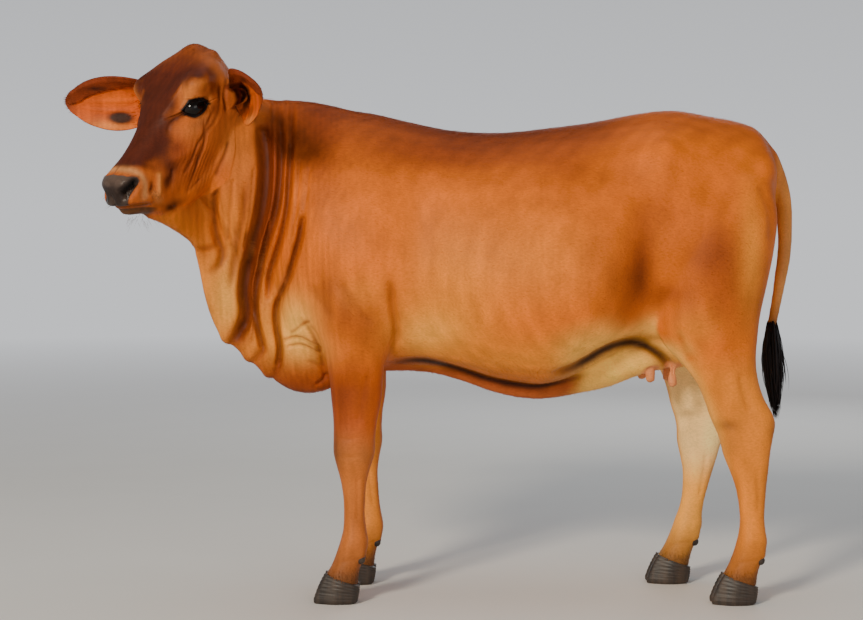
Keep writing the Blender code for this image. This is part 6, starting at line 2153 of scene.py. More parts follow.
@dataclass(frozen=True)
class HornFinish(Finish):
    """Hoof horn with growth rings and streaks of paler horn."""

    name: str = "hoof horn"
    dark: Colour = Palette.horn
    pale: Colour = Palette.horn_pale
    grain_scale: float = 60.0
    grain_relief: float = 0.0006
    ring_scale: float = 34.0
    ring_relief: float = 0.0010

    def build(self) -> bpy.types.Material:
        """Makes the material.

        Returns:
            The material.
        """
        made, tree, shader = self.start()
        grain = self.noise(tree, self.grain_scale, 5.0, (1.0, 1.0, 0.12))
        rings = self.noise(tree, self.ring_scale, 2.0, (0.15, 0.15, 5.0))
        mix = tree.nodes.new("ShaderNodeMix")
        mix.data_type = "RGBA"
        tree.links.new(self.blend(tree, grain, 0.0, 1.0, 0.35, 0.70), mix.inputs["Factor"])
        mix.inputs["A"].default_value = (*to_linear(self.dark), 1.0)
        mix.inputs["B"].default_value = (*to_linear(self.pale), 1.0)
        tree.links.new(self.multiply(tree, mix.outputs["Result"],
                                     self.blend(tree, rings, 0.86, 1.10, 0.3, 0.7)),
                       shader.inputs["Base Color"])
        tree.links.new(self.blend(tree, grain, 0.38, 0.62), shader.inputs["Roughness"])
        below = self.bump(tree, shader, rings, self.ring_relief)
        self.bump(tree, shader, grain, self.grain_relief, below)
        return made


@dataclass(frozen=True)
class EyeFinish(Finish):
    """A wet dark eye, whose iris and pupil are painted on the mesh."""

    name: str = "wet eye"
    streak_scale: float = 900.0
    specular: float = 0.24

    def build(self) -> bpy.types.Material:
        """Makes the material.

        Returns:
            The material.
        """
        made, tree, shader = self.start()
        colour = self.attribute(tree, "markings").outputs["Color"]
        streaks = self.noise(tree, self.streak_scale, 3.0, (1.0, 1.0, 1.0))
        tree.links.new(self.multiply(tree, colour, self.blend(tree, streaks, 0.7, 1.3, 0.3, 0.7)),
                       shader.inputs["Base Color"])
        tree.links.new(self.blend(tree, streaks, 0.05, 0.09), shader.inputs["Roughness"])
        shader.inputs["Specular IOR Level"].default_value = self.specular
        return made


@dataclass(frozen=True)
class FloorFinish(Finish):
    """A plain pale studio floor, which fades into the backdrop far from the animal."""

    name: str = "studio floor"
    colour: Colour = (226, 224, 220)
    backdrop: Colour = (232, 234, 238)
    backdrop_strength: float = 0.95
    fade_start: float = 2.6
    fade_end: float = 11.0

    def build(self) -> bpy.types.Material:
        """Makes the material.

        Returns:
            The material.
        """
        made, tree, shader = self.start()
        grain = self.noise(tree, 3.0, 2.0, (1.0, 1.0, 1.0))
        base = tree.nodes.new("ShaderNodeRGB")
        base.outputs[0].default_value = (*to_linear(self.colour), 1.0)
        place = tree.nodes.new("ShaderNodeTexCoord")
        away = tree.nodes.new("ShaderNodeVectorMath")
        away.operation = "LENGTH"
        tree.links.new(place.outputs["Object"], away.inputs[0])
        near = self.blend(tree, away.outputs["Value"], 1.0, 0.0, self.fade_start, self.fade_end)
        plain = self.multiply(tree, base.outputs[0], self.blend(tree, grain, 0.98, 1.02))
        tree.links.new(self.multiply(tree, plain, near), shader.inputs["Base Color"])
        glow = self.blend(tree, away.outputs["Value"], 0.0, self.backdrop_strength, self.fade_start,
                          self.fade_end)
        tree.links.new(glow, shader.inputs["Emission Strength"])
        shader.inputs["Emission Color"].default_value = (*to_linear(self.backdrop), 1.0)
        shader.inputs["Specular IOR Level"].default_value = 0.0
        shader.inputs["Roughness"].default_value = 0.85
        return made


@dataclass
class Strands:
    """Many tapered closed locks of hair in one mesh.

    Each point has the number of its lock, its share of the lock's length, and its angle round the lock.
    """

    points: Array
    faces: Array
    owner: Array
    share: Array
    turn: Array
    tip_shade: float = 0.22
    patch_radius: float = 0.0015

    @classmethod
    def grow(cls, roots: Array, ways: Array, bends: Array, flats: Array, widths: Array, depths: Array,
             segments: int = 1, sides: int = 3, taper: float = 1.6) -> "Strands":
        """Makes a lock at each root.

        Args:
            roots: Where the locks start.
            ways: From each root to where its tip would be if it were straight.
            bends: How far its tip is moved from there.
            flats: The direction across each lock's flat side.
            widths: Half widths at the root.
            depths: Half thicknesses at the root.
            segments: Lengths that a lock is built in.
            sides: Sides of its section.
            taper: Higher keeps the lock wide further out.

        Returns:
            The locks.
        """
        count = len(roots)
        out = np.cross(ways, flats)
        out /= np.maximum(np.linalg.norm(out, axis=1), 1e-9)[:, None]
        turn = around(sides) + math.pi / 2.0
        rings, shares, turns = [], [], []
        for step in range(segments):
            share = step / segments
            middle = roots + ways * share + bends * share ** 2
            size = 1.0 - share ** taper
            for angle in turn:
                rings.append(middle + flats * (widths * size * math.cos(angle))[:, None]
                             + out * (depths * size * math.sin(angle))[:, None])
                shares.append(share)
                turns.append(angle)
        rings.append(roots + ways + bends)
        shares.append(1.0)
        turns.append(0.0)
        each = len(rings)
        points = np.stack(rings, axis=1).reshape(-1, 3)
        faces = [(0, side, side + 1) for side in range(1, sides - 1)]
        for step in range(segments - 1):
            for side in range(sides):
                low, after = step * sides + side, step * sides + (side + 1) % sides
                faces += [(low, low + sides, after + sides), (low, after + sides, after)]
        last = (segments - 1) * sides
        faces += [(last + side, each - 1, last + (side + 1) % sides) for side in range(sides)]
        all_faces = (np.arange(count)[:, None, None] * each + np.array(faces)[None]).reshape(-1, 3)
        return cls(points, all_faces, np.repeat(np.arange(count), each), np.tile(shares, count),
                   np.tile(turns, count))

    def build(self, name: str, colours: Array, places: Array | None = None) -> bpy.types.Object:
        """Makes the mesh.

        Args:
            name: Name of the object.
            colours: Colour of each lock.
            places: Each root's place on the unwrapped skin, if there is one.

        Returns:
            The locks as an object.
        """
        mesh = mesh_from(name, self.points, self.faces)
        shades = colours[self.owner] * (0.90 + self.tip_shade * self.share)[:, None]
        write_colours(mesh, np.clip(shades, 0.0, 1.0))
        if places is not None:
            ring = np.stack([np.cos(self.turn), np.sin(self.turn)], axis=1)
            patch = self.patch_radius * (1.0 - 0.5 * self.share)[:, None] * ring
            spots = (places[self.owner] + patch)[self.faces.ravel()]
            mesh.uv_layers.new(name="OFBake").data.foreach_set("uv", spots.astype(np.float32).ravel())
        mesh.shade_smooth()
        return new_object(name, mesh)


@dataclass
class Eyes:
    """Two eyeballs with a brown iris and a level pupil, and their lashes."""

    shape: EyeShape
    palette: Palette
    sides: int = 64
    rings: int = 40
    pupil: tuple[float, float] = (0.40, 0.20)
    iris: tuple[float, float] = (0.74, 0.62)
    cornea: float = 0.035
    lashes: int = 34
    lash_width: float = 0.00045
    lash_depth: float = 0.00035

    def ball(self, side: Side) -> bpy.types.Object:
        """Makes one eyeball.

        Args:
            side: Which eye.

        Returns:
            The eyeball as an object.
        """
        middle, size = self.shape.axes(side)[0], self.shape.half_axes(side)
        turn = around(self.sides)
        rings, ways = [], []
        for angle in np.linspace(0.002, math.pi - 0.002, self.rings) ** 1.25 / math.pi ** 0.25:
            way = np.stack([math.sin(angle) * np.cos(turn), math.sin(angle) * np.sin(turn),
                            np.full(self.sides, math.cos(angle))], axis=1)
            bulge = 1.0 + self.cornea * max(0.0, 1.0 - (angle / 0.75) ** 2)
            rings.append(middle + way @ size * bulge)
            ways.append(way)
        ball = loft("eye_" + side.name.lower() + "_ball", rings)
        way = np.concatenate(ways)
        front = way[:, 2] > 0.0
        paint = Paint.start(len(way), self.palette.eye_white)
        paint.wash(self.palette.eye_rim, fall(way[:, 2], 0.30, 0.62))
        from_iris = np.hypot(way[:, 0] / self.iris[0], way[:, 1] / self.iris[1])
        paint.wash(self.palette.iris, fall(from_iris, 0.92, 1.02) * front)
        paint.wash(self.palette.eye_rim, np.exp(-((from_iris - 0.97) / 0.06) ** 2) * front)
        from_pupil = np.hypot(way[:, 0] / self.pupil[0], way[:, 1] / self.pupil[1])
        paint.wash(self.palette.pupil, fall(from_pupil, 0.90, 1.06) * front)
        paint.store(ball.data)
        ball.data.shade_smooth()
        return ball

    def lash_row(self, side: Side) -> bpy.types.Object:
        """Makes the lashes of one eye's upper lid.

        Args:
            side: Which eye.

        Returns:
            The lashes as an object.
        """
        middle, gaze, across, above = self.shape.axes(side)
        draw = np.random.default_rng(5)
        places = np.linspace(-0.80, 0.62, self.lashes) + draw.uniform(-0.02, 0.02, self.lashes)
        closed = np.abs(places / self.shape.lid_length) ** self.shape.lid_power
        rise = self.shape.lid_above * (1.0 - closed) + 0.05
        way = np.stack([places, rise, np.sqrt(np.maximum(1.0 - places ** 2 - rise ** 2, 0.05))], axis=1)
        roots = middle + way @ self.shape.half_axes(side) * (1.0 + self.shape.lid_depth)
        lengths = draw.uniform(0.008, 0.014, self.lashes)
        ways = (gaze * 0.85 + above * 0.10 + across * (0.25 * places)[:, None]) * lengths[:, None]
        bends = (-0.55 * above + 0.15 * gaze) * lengths[:, None]
        strands = Strands.grow(roots, ways, bends, np.tile(across, (self.lashes, 1)),
                               np.full(self.lashes, self.lash_width), np.full(self.lashes, self.lash_depth),
                               segments=4)
        return strands.build("lashes_" + side.name.lower(),
                             np.tile(to_linear(self.palette.eye_rim), (self.lashes, 1)))

    def build(self) -> None:
        """Makes both eyes and their lashes."""
        wet, hair = EyeFinish().build(), TuftFinish("lash hair").build()
        for side in Side:
            ball = self.ball(side)
            ball.data.materials.append(wet)
            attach(ball, "root")
            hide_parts("eye_" + side.name.lower())
            lashes = self.lash_row(side)
            lashes.data.materials.append(hair)
            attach(lashes, "root")
            log.info("%s eye and its lashes", side.name.lower())


@dataclass
class Hooves:
    """Two claws and two dewclaws on each foot, with growth rings and worn toes."""

    coronet_level: float = 0.060
    coronet_slope: float = math.radians(20.0)
    claw_length: float = 0.112
    claw_width: float = 0.043
    cleft: float = 0.004
    gap: float = 0.0003
    ring_height: float = 0.0003
    dewclaw_size: tuple[float, float, float] = (0.0120, 0.0090, 0.0160)
    dewclaw_level: float = 0.114
    dewclaw_aside: float = 0.021
    dewclaw_sink: float = 0.011
    dewclaw_pad: float = 0.007
    dewclaw_lean: float = math.radians(-28.0)
    claw_sides: int = 56
    dewclaw_sides: int = 24
    edge_angle: float = math.radians(50.0)
    tuck_reach: float = 0.09
    tuck_share: float = 0.12

    def top(self, x: Array, foot_x: float) -> Array:
        """Level of the coronet's slanting plane over each x."""
        slope = math.tan(self.coronet_slope)
        return self.coronet_level - (x - foot_x) * slope - self.gap * 1.2 / math.cos(self.coronet_slope)

    def claw(self, name: str, foot_x: float, foot_y: float, outward: float) -> bpy.types.Object:
        """Makes one claw.

        Args:
            name: Name of the object.
            foot_x: The coronet's middle along X.
            foot_y: The same along Y.
            outward: Which side of the cleft the claw is on.

        Returns:
            The claw as an object.
        """
        turn = around(self.claw_sides)
        rings = []
        shares = np.concatenate([[0.0, 0.012, 0.03, 0.06], np.linspace(0.10, 0.97, 26), [1.0]])
        for share in shares:
            spread = 1.0 - 0.10 * share
            tuck = 0.87 + 0.13 * min(1.0, share / 0.12) ** 0.5
            ripple = 1.0 + (self.ring_height / 0.02 * math.sin(share * 46.0) * (0.3 + 0.7 * share)
                            * (share > 0.05))
            length = self.claw_length / 2.0 * (1.0 - 0.24 * share + 0.03 * math.sin(math.pi * share)) * tuck
            along = length * np.cos(turn) * ripple
            toe = ramp(-along / length, -0.1, 1.0)
            half_width = self.claw_width / 2.0 * spread * tuck * (1.0 - 0.28 * toe)
            across = half_width * np.sign(np.sin(turn)) * np.abs(np.sin(turn)) ** 0.75
            across = across * np.where(across > 0.0, ripple, 1.0) - 0.10 * self.claw_width * toe
            x = foot_x - 0.020 * (1.0 - share) + along
            y = foot_y + outward * (self.cleft / 2.0 + self.claw_width / 2.0 + across)
            rings.append(np.stack([x, y, share * self.top(x, foot_x)], axis=1))
        claw = loft(name, rings)
        claw.data.shade_smooth()
        claw.data.set_sharp_from_angle(angle=self.edge_angle)
        return claw

    def leg_back(self, foot: str, level: float) -> float:
        """The x of the back of a foot's leg at a level.

        Args:
            foot: Name of the foot.
            level: The level.

        Returns:
            The leg's back.
        """
        rows, shifts = (FORELEG, FORELEG_SHIFT) if foot.startswith("fore") else (HINDLEG, HINDLEG_SHIFT)
        table = np.array(rows)[::-1]
        back = float(np.interp(level, table[:, 0], table[:, 2]))
        return back + (float(read_table(shifts, level)) if foot.endswith("right") else 0.0)

    def dewclaw(self, name: str, x: float, y: float) -> bpy.types.Object:
        """Makes one dewclaw.

        Args:
            name: Name of the object.
            x: Its middle along X.
            y: Its middle along Y.

        Returns:
            The dewclaw as an object.
        """
        turn = around(self.dewclaw_sides)
        long, wide, tall = self.dewclaw_size
        rings = []
        for share in np.linspace(-0.995, 0.995, 19):
            reach = math.sqrt(1.0 - abs(share) ** 2.4) * (1.0 + 0.02 * math.sin(share * 30.0))
            rings.append(np.stack([long * reach * np.cos(turn), wide * reach * np.sin(turn),
                                   np.full(self.dewclaw_sides, tall * share)], axis=1))
        claw = loft(name, rings)
        lean = Matrix.Rotation(self.dewclaw_lean, 4, "Y")
        claw.data.transform(Matrix.Translation((x, y, self.dewclaw_level)) @ lean)
        claw.data.shade_smooth()
        return claw

    def build(self) -> None:
        """Makes every claw and dewclaw."""
        horn = HornFinish().build()
        for foot, x, y in FEET:
            outward = -1.0 if y < 0.0 else 1.0
            back = self.leg_back(foot, self.dewclaw_level) - self.dewclaw_sink
            for place, side in (("outer", outward), ("inner", -outward)):
                for kind, thing in (("claw_", self.claw("hoof_" + foot + "_" + place, x, y, side)),
                                    ("dewclaw_", self.dewclaw("spur_" + foot + "_" + place, back,
                                                              y + side * self.dewclaw_aside))):
                    thing.data.materials.append(horn)
                    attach(thing, "root")
                    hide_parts(kind + foot + "_" + place)
            log.info("hooves of %s", foot)

    def tuck(self, mesh: bpy.types.Mesh) -> None:
        """Draws the skin of the legs in below the coronets, to lie inside the claws."""
        points = read_points(mesh)
        for _, x, y in FEET:
            near = (np.abs(points[:, :2] - (x, y)) < self.tuck_reach).all(axis=1) & (points[:, 2] < 0.11)
            below = self.top(points[near, 0], x) - points[near, 2]
            share = self.tuck_share * ramp(below, -0.001, 0.010)
            points[near, 0] += share * (x - points[near, 0])
            points[near, 1] += share * (y - points[near, 1])
        write_points(mesh, points)
        pads = np.zeros(len(points))
        for foot, _, y in FEET:
            back = self.leg_back(foot, self.dewclaw_level) - self.dewclaw_sink
            for side in (-1.0, 1.0):
                root = (back + 0.004, y + side * self.dewclaw_aside, self.dewclaw_level + 0.010)
                pads += soft_spot(points, root, (0.014, 0.013, 0.017))
        push_out(mesh, self.dewclaw_pad * np.minimum(pads, 1.0))


@dataclass
class Switch:
    """The dark tuft at the tail's end: many long locks that hang, overlap and come together at the tip."""

    palette: Palette
    locks: int = 260
    top: float = 0.700
    bottom: float = 0.612
    tip: float = 0.446
    tip_x: float = 0.884
    spread: float = 0.0150
    swell: float = 0.0200
    ragged: float = 0.10

    def tail_at(self, level: Array) -> tuple[Array, Array]:
        """The tail's x and radius at some levels.

        Args:
            level: The levels.

        Returns:
            The x and the radius at each.
        """
        hanging = np.array([row for row in TAIL if row[1] < 1.15])[::-1]
        return (curve_through(level, hanging[:, 1], hanging[:, 0]),
                curve_through(level, hanging[:, 1], hanging[:, 2]))

    def build(self) -> None:
        """Makes the switch."""
        draw = np.random.default_rng(17)
        share = np.arange(self.locks) / self.locks
        angle = GOLDEN_ANGLE * np.arange(self.locks)
        level = self.top + (self.bottom - self.top) * share
        middle, radius = self.tail_at(level)
        out = np.stack([np.cos(angle), np.sin(angle), np.zeros(self.locks)], axis=1)
        roots = np.stack([middle, np.zeros(self.locks), level], axis=1) + out * (radius * 0.75)[:, None]
        low = self.tip + draw.uniform(0.0, 1.0, self.locks) ** 1.6 * self.ragged
        ends = np.stack([self.tip_x + self.spread * draw.normal(0.0, 0.55, self.locks) * (low - 0.40) * 9.0,
                         self.spread * draw.normal(0.0, 0.55, self.locks) * (low - 0.40) * 9.0, low], axis=1)
        bulge = out * (self.swell * draw.uniform(0.5, 1.15, self.locks) * (1.0 - 0.4 * share))[:, None] * 4.0
        ways = ends - roots + bulge
        strands = Strands.grow(roots, ways, -bulge, np.stack([-out[:, 1], out[:, 0], out[:, 2]], axis=1),
                               draw.uniform(0.0022, 0.0040, self.locks),
                               draw.uniform(0.0010, 0.0018, self.locks), segments=11, sides=4, taper=2.2)
        shade = draw.uniform(0.6, 1.8, self.locks)[:, None]
        thing = strands.build("tail_tuft", to_linear(self.palette.switch) * shade)
        thing.data.materials.append(TuftFinish("switch hair", 0.42).build())
        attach(thing, "root")
        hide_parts("tail_switch")
        log.info("switch of %d locks", self.locks)


@dataclass
class Unwrap:
    """The skin laid flat in charts by region and facing, for the hair's places on it."""

    pose: HeadPose
    margin: float = 0.02

    def charts(self, points: Array, normals: Array) -> Array:
        """Numbers the chart that each point lies in.

        Args:
            points: Rows of x, y, z.
            normals: The directions that the skin faces there.

        Returns:
            A chart number for each point.
        """
        x, y, z = points.T
        region = np.zeros(len(points), dtype=int)
        region[(x < -0.27) & (z > 0.50)] = 1
        region[self.pose.height(points) > 0.0] = 2
        legs = (z < 0.62) & (np.abs(y) > 0.06) & ((x < 0.0) | (x > 0.55))
        region[legs] = 3 + 2 * (x[legs] > 0.2) + (y[legs] > 0.0)
        region[(x > 0.868) & (np.abs(y) < 0.04)] = 7
        axis = np.argmax(np.abs(normals), axis=1)
        facing = np.take_along_axis(normals, axis[:, None], axis=1)[:, 0] > 0.0
        return region * 6 + axis * 2 + facing

    def places(self, points: Array, normals: Array) -> Array:
        """Lays points flat.

        Args:
            points: Rows of x, y, z.
            normals: The directions that the skin faces there.

        Returns:
            Each point's place in the unit square.
        """
        chart = self.charts(points, normals)
        flat = np.zeros((len(points), 2))
        boxes = []
        for number in np.unique(chart):
            inside = chart == number
            axes = ((1, 2), (0, 2), (0, 1))[number % 6 // 2]
            place = points[inside][:, axes]
            corner = place.min(axis=0)
            flat[inside] = place - corner
            boxes.append((number, *(np.ptp(place, axis=0) + self.margin)))
        width = 1.15 * math.sqrt(sum(wide * tall for _, wide, tall in boxes))
        width = max(width, max(wide for _, wide, _ in boxes))
        left = level = row = 0.0
        for number, wide, tall in sorted(boxes, key=lambda box: -box[2]):
            if left + wide > width:
                left, level, row = 0.0, level + row, 0.0
            flat[chart == number] += (left, level)
            left, row = left + wide, max(row, tall)
        return flat / max(width, level + row) * 0.99 + 0.005


@dataclass
class Coat:
    """Short flat tufts over the whole skin, and longer hair where the coat breaks the outline."""

    pose: HeadPose
    ears: Ears
    tufts: int = 120_000
    tuft_lift: float = 0.07
    edge_locks: int = 9_000
    edge_lift: float = 0.34
    whiskers: int = 90
    whisker_width: float = 0.00028
    whisker_colour: Colour = (96, 66, 40)
    root_depth: float = 0.0004

    def lie(self, points: Array, normals: Array) -> Array:
        """Finds which way the hair lies.

        Args:
            points: Rows of x, y, z.
            normals: The directions that the skin faces there.

        Returns:
            Directions along the skin.
        """
        x, _, z = points.T
        forward, _, up = self.pose.axes()
        way = np.tile((1.0, 0.0, -0.40), (len(points), 1))
        neck = fall(x, -0.42, -0.20)
        leg = fall(z, 0.50, 0.72)
        way += neck[:, None] * (np.array((0.55, 0.1, -0.85)) - way)
        way += leg[:, None] * (np.array((0.12, 0.0, -1.0)) - way)
        tail = ramp(x, 0.86, 0.875) * fall(z, 1.05, 1.12)
        way += tail[:, None] * (np.array((0.0, 0.0, -1.0)) - way)
        places = self.pose.to_head(points)
        upper = ramp(normals @ up, 0.2, 0.6)
        before = fall(places[:, 0], 0.25, 0.29) * upper
        on_head = ramp(self.pose.height(points), -0.01, 0.01)
        face = -forward - 0.55 * up + before[:, None] * (2.0 * forward + 0.55 * up)
        way += on_head[:, None] * (face - way)
        for side in Side:
            on_ear = self.ears.on(points, side)
            aim = np.array(self.ears.axes(side)[1])
            way += on_ear[:, None] * (aim - way)
        way -= normals * (way * normals).sum(axis=1)[:, None]
        return way / np.maximum(np.linalg.norm(way, axis=1), 1e-6)[:, None]

    def length(self, points: Array, normals: Array) -> Array:
        """Finds how long the short hair is.

        Args:
            points: Rows of x, y, z.
            normals: The directions that the skin faces there.

        Returns:
            Length of the tufts there.
        """
        z = points[:, 2]
        length = np.full(len(points), 0.0088)
        length -= 0.0035 * fall(z, 0.45, 0.60)
        length -= 0.0040 * ramp(self.pose.height(points), -0.02, 0.02)
        length += 0.0040 * ramp(normals[:, 2], 0.75, 0.95) * ramp(z, 1.05, 1.15)
        length += 0.0030 * ramp(-normals[:, 2], 0.5, 0.9) * ramp(z, 0.45, 0.52)
        return length

    def sample(self, mesh: bpy.types.Mesh, weight: Array, count: int, seed: int) -> tuple[Array, ...]:
        """Picks roots on the skin.

        Args:
            mesh: The skin.
            weight: How densely the roots stand at each of its points.
            count: Number of roots.
            seed: Seed of the draw.

        Returns:
            Points, normals and colours at the roots.
        """
        draw = np.random.default_rng(seed)
        mesh.calc_loop_triangles()
        corners = np.empty(len(mesh.loop_triangles) * 3, dtype=np.int32)
        mesh.loop_triangles.foreach_get("vertices", corners)
        corners = corners.reshape(-1, 3)
        points, normals = read_points(mesh), read_normals(mesh)
        sides = points[corners[:, 1]] - points[corners[:, 0]], points[corners[:, 2]] - points[corners[:, 0]]
        area = np.linalg.norm(np.cross(*sides), axis=1) * weight[corners].mean(axis=1)
        total = np.cumsum(area)
        picks = (np.arange(count) + draw.uniform(0.0, 1.0, count)) / count * total[-1]
        chosen = corners[np.searchsorted(total, picks)]
        first, second = draw.uniform(0.0, 1.0, (2, count))
        fold = first + second > 1.0
        first[fold], second[fold] = 1.0 - first[fold], 1.0 - second[fold]
        shares = np.stack([1.0 - first - second, first, second], axis=1)[:, :, None]
        colours = read_rows(mesh.attributes["markings"].data, "color", 4)[:, :3]
        normal = (normals[chosen] * shares).sum(axis=1)
        normal /= np.maximum(np.linalg.norm(normal, axis=1), 1e-6)[:, None]
        return (points[chosen] * shares).sum(axis=1), normal, (colours[chosen] * shares).sum(axis=1)

    def grow(self, name: str, rooted: tuple[Array, ...], length: Array, lift: float, seed: int, places: Array,
             segments: int = 1, slim: float = 0.075) -> bpy.types.Object:
        """Grows tufts at picked roots.

        Args:
            name: Name of the piece.
            rooted: Points, normals and colours at the roots.
            length: Length of each tuft.
            lift: How steeply the tufts stand off the skin, in radians.
            seed: Seed of the draw.
            places: Each root's place on the unwrapped skin.
            segments: Lengths that a tuft is built in.
            slim: Half width as a share of the length.

        Returns:
            The piece.
        """
        draw = np.random.default_rng(seed)
        points, normals, colours = rooted
        lie = self.lie(points, normals)
        flat = np.cross(normals, lie)
        swing = draw.normal(0.0, 0.20, len(points))[:, None]
        lie = lie * np.cos(swing) + flat * np.sin(swing)
        flat = np.cross(normals, lie)
        size = length * draw.uniform(0.70, 1.25, len(points))
        rise = lift * draw.uniform(0.6, 1.5, len(points))
        ways = (lie * np.cos(rise)[:, None] + normals * np.sin(rise)[:, None]) * size[:, None]
        bends = -normals * (size * np.sin(rise) * (0.45 if segments > 1 else 0.0))[:, None]
        shade = draw.uniform(0.92, 1.16, len(points))[:, None]
        strands = Strands.grow(points - normals * self.root_depth, ways, bends, flat,
                               np.maximum(size * slim, 0.00045), np.maximum(size * slim * 0.20, 0.00012),
                               segments=segments)
        return strands.build(name, colours * shade, places)

    def region(self, points: Array) -> dict[str, Array]:
        """Sorts roots into pieces.

        Args:
            points: Rows of x, y, z.

        Returns:
            For each piece, whether each root belongs to it.
        """
        height = self.pose.height(points)
        x, y, z = points.T
        head = height > 0.0
        neck = ~head & (x < -0.27) & (z > 0.50)
        legs = ~head & ~neck & (z < 0.60)
        trunk = ~head & ~neck & ~legs
        return {"coat_head": head, "coat_neck": neck, "coat_legs": legs, "coat_left": trunk & (y < 0.0),
                "coat_right": trunk & (y >= 0.0)}

    def bald(self, mesh: bpy.types.Mesh) -> Array:
        """How free of hair each point of the skin is, from 0 to 1."""
        bare = read_rows(mesh.attributes["bare"].data, "value", 1)[:, 0]
        return np.clip(bare * 2.0, 0.0, 1.0)

    def edge_length(self, points: Array, normals: Array) -> tuple[Array, Array]:
        """Finds where longer hair breaks the outline.

        Args:
            points: Rows of x, y, z.
            normals: The directions that the skin faces there.

        Returns:
            How densely it grows at each point, and how long it is.
        """
        x, _, z = points.T
        places = self.pose.to_head(points)
        density, length = np.zeros(len(points)), np.full(len(points), 0.012)
        on_head = ramp(self.pose.height(points), -0.01, 0.01)

        def add(mask: Array, amount: float, size: float) -> None:
            """Adds hair of one length where a mask says so."""
            nonlocal density, length
            share = np.clip(mask, 0.0, 1.0)
            length = np.where(share * amount > density, size, length)
            density = np.maximum(density, share * amount)

        add(ramp(normals[:, 2], 0.80, 0.95) * ramp(z, 1.10, 1.16) * (1.0 - on_head), 1.6, 0.014)
        add(ramp(normals[:, 2], 0.70, 0.95) * fall(x, -0.40, -0.30) * (1.0 - on_head), 2.2, 0.018)
        add(on_head * ramp(places[:, 0], 0.37, 0.40) * ramp(places[:, 2], 0.19, 0.22), 3.0, 0.009)
        add(fall(z, 0.075, 0.100), 7.0, 0.011)
        add(ramp(normals[:, 0], 0.70, 0.90) * fall(z, 0.50, 0.56) * fall(x, 0.86, 0.87), 2.5, 0.008)
        add(ramp(-normals[:, 2], 0.75, 0.92) * ramp(z, 0.50, 0.53) * fall(z, 0.66, 0.72), 1.6, 0.012)
        add(fall(x, -0.42, -0.36) * fall(normals[:, 2], -0.6, -0.2) * (1.0 - on_head)
            * fall(z, 0.90, 1.00), 1.2, 0.009)
        for side in Side:
            share, across, _ = self.ears.along(points, side)
            here = self.ears.on(points, side)
            rim = ramp(np.abs(across) / np.maximum(self.ears.half_width(share), 0.004), 0.90, 1.00)
            add(here * np.maximum(rim, ramp(share, 0.92, 0.99)), 7.0, 0.009)
            front = ramp(normals @ np.array(self.ears.axes(side)[2]), 0.0, 0.3)
            add(here * front * fall(share, 0.25, 0.45), 4.0, 0.016)
        return density, length

    def whisker_roots(self) -> tuple[Array, Array]:
        """Picks where the whiskers grow.

        Returns:
            Their roots and directions.
        """
        draw = np.random.default_rng(29)
        forward, left, up = self.pose.axes()
        side = np.where(np.arange(self.whiskers) % 2 == 0, 1.0, -1.0)
        on_chin = np.arange(self.whiskers) % 3 == 0
        back = draw.uniform(0.030, 0.105, self.whiskers)
        above = np.where(on_chin, draw.uniform(-0.060, -0.040, self.whiskers),
                         draw.uniform(-0.008, 0.030, self.whiskers))
        aside = side * np.where(on_chin, draw.uniform(0.015, 0.036, self.whiskers), 0.058)
        roots = self.pose.to_world(np.stack([back, aside, above], axis=1))
        ways = side[:, None] * left * 0.8 + forward * 0.45 - up * np.where(on_chin, 0.9, 0.25)[:, None]
        return roots, ways + draw.normal(0.0, 0.16, ways.shape)

    def build(self, skin: bpy.types.Object) -> None:
        """Grows the coat on a coloured skin."""
        mesh = skin.data
        finish = TuftFinish().build()
        points, normals = read_points(mesh), read_normals(mesh)
        hairy = 1.0 - self.bald(mesh)
        unwrap = Unwrap(self.pose)
        weight = hairy * (1.0 + 2.2 * ramp(self.pose.height(points), -0.02, 0.02)
                          + 0.5 * fall(points[:, 2], 0.50, 0.60))
        rooted = self.sample(mesh, weight, self.tufts, 41)
        spots = unwrap.places(rooted[0], rooted[1])
        length = self.length(rooted[0], rooted[1])
        for name, inside in self.region(rooted[0]).items():
            piece = self.grow(name, tuple(row[inside] for row in rooted), length[inside], self.tuft_lift, 43,
                              spots[inside])
            self.dress(piece, finish)
            log.info("%s of %d tufts", name, inside.sum())
        density, _ = self.edge_length(points, normals)
        rooted = self.sample(mesh, density * (hairy > 0.5), self.edge_locks, 47)
        length = self.edge_length(rooted[0], rooted[1])[1]
        edges = self.grow("coat_edges", rooted, length, self.edge_lift, 53,
                          unwrap.places(rooted[0], rooted[1]), segments=3, slim=0.055)
        self.dress(edges, finish)
        log.info("coat_edges of %d locks", self.edge_locks)
        self.grow_whiskers(finish)

    def grow_whiskers(self, finish: bpy.types.Material) -> None:
        """Grows the whiskers of the muzzle and chin."""
        roots, ways = self.whisker_roots()
        draw = np.random.default_rng(31)
        sizes = draw.uniform(0.016, 0.030, self.whiskers)[:, None]
        ways = ways / np.linalg.norm(ways, axis=1)[:, None] * sizes
        flat = np.cross(ways, (0.3, 0.2, 1.0))
        flat /= np.linalg.norm(flat, axis=1)[:, None]
        widths = np.full(self.whiskers, self.whisker_width)
        strands = Strands.grow(roots, ways, -np.array((0.0, 0.0, 0.25)) * sizes, flat, widths, widths,
                               segments=5)
        whiskers = strands.build("whiskers", np.tile(to_linear(self.whisker_colour), (self.whiskers, 1)))
        self.dress(whiskers, finish)
        log.info("%d whiskers", self.whiskers)

    def dress(self, piece: bpy.types.Object, finish: bpy.types.Material) -> None:
        """Gives a piece of coat its finish and lets it ride on the body."""
        piece.data.materials.append(finish)
        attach(piece, "root")


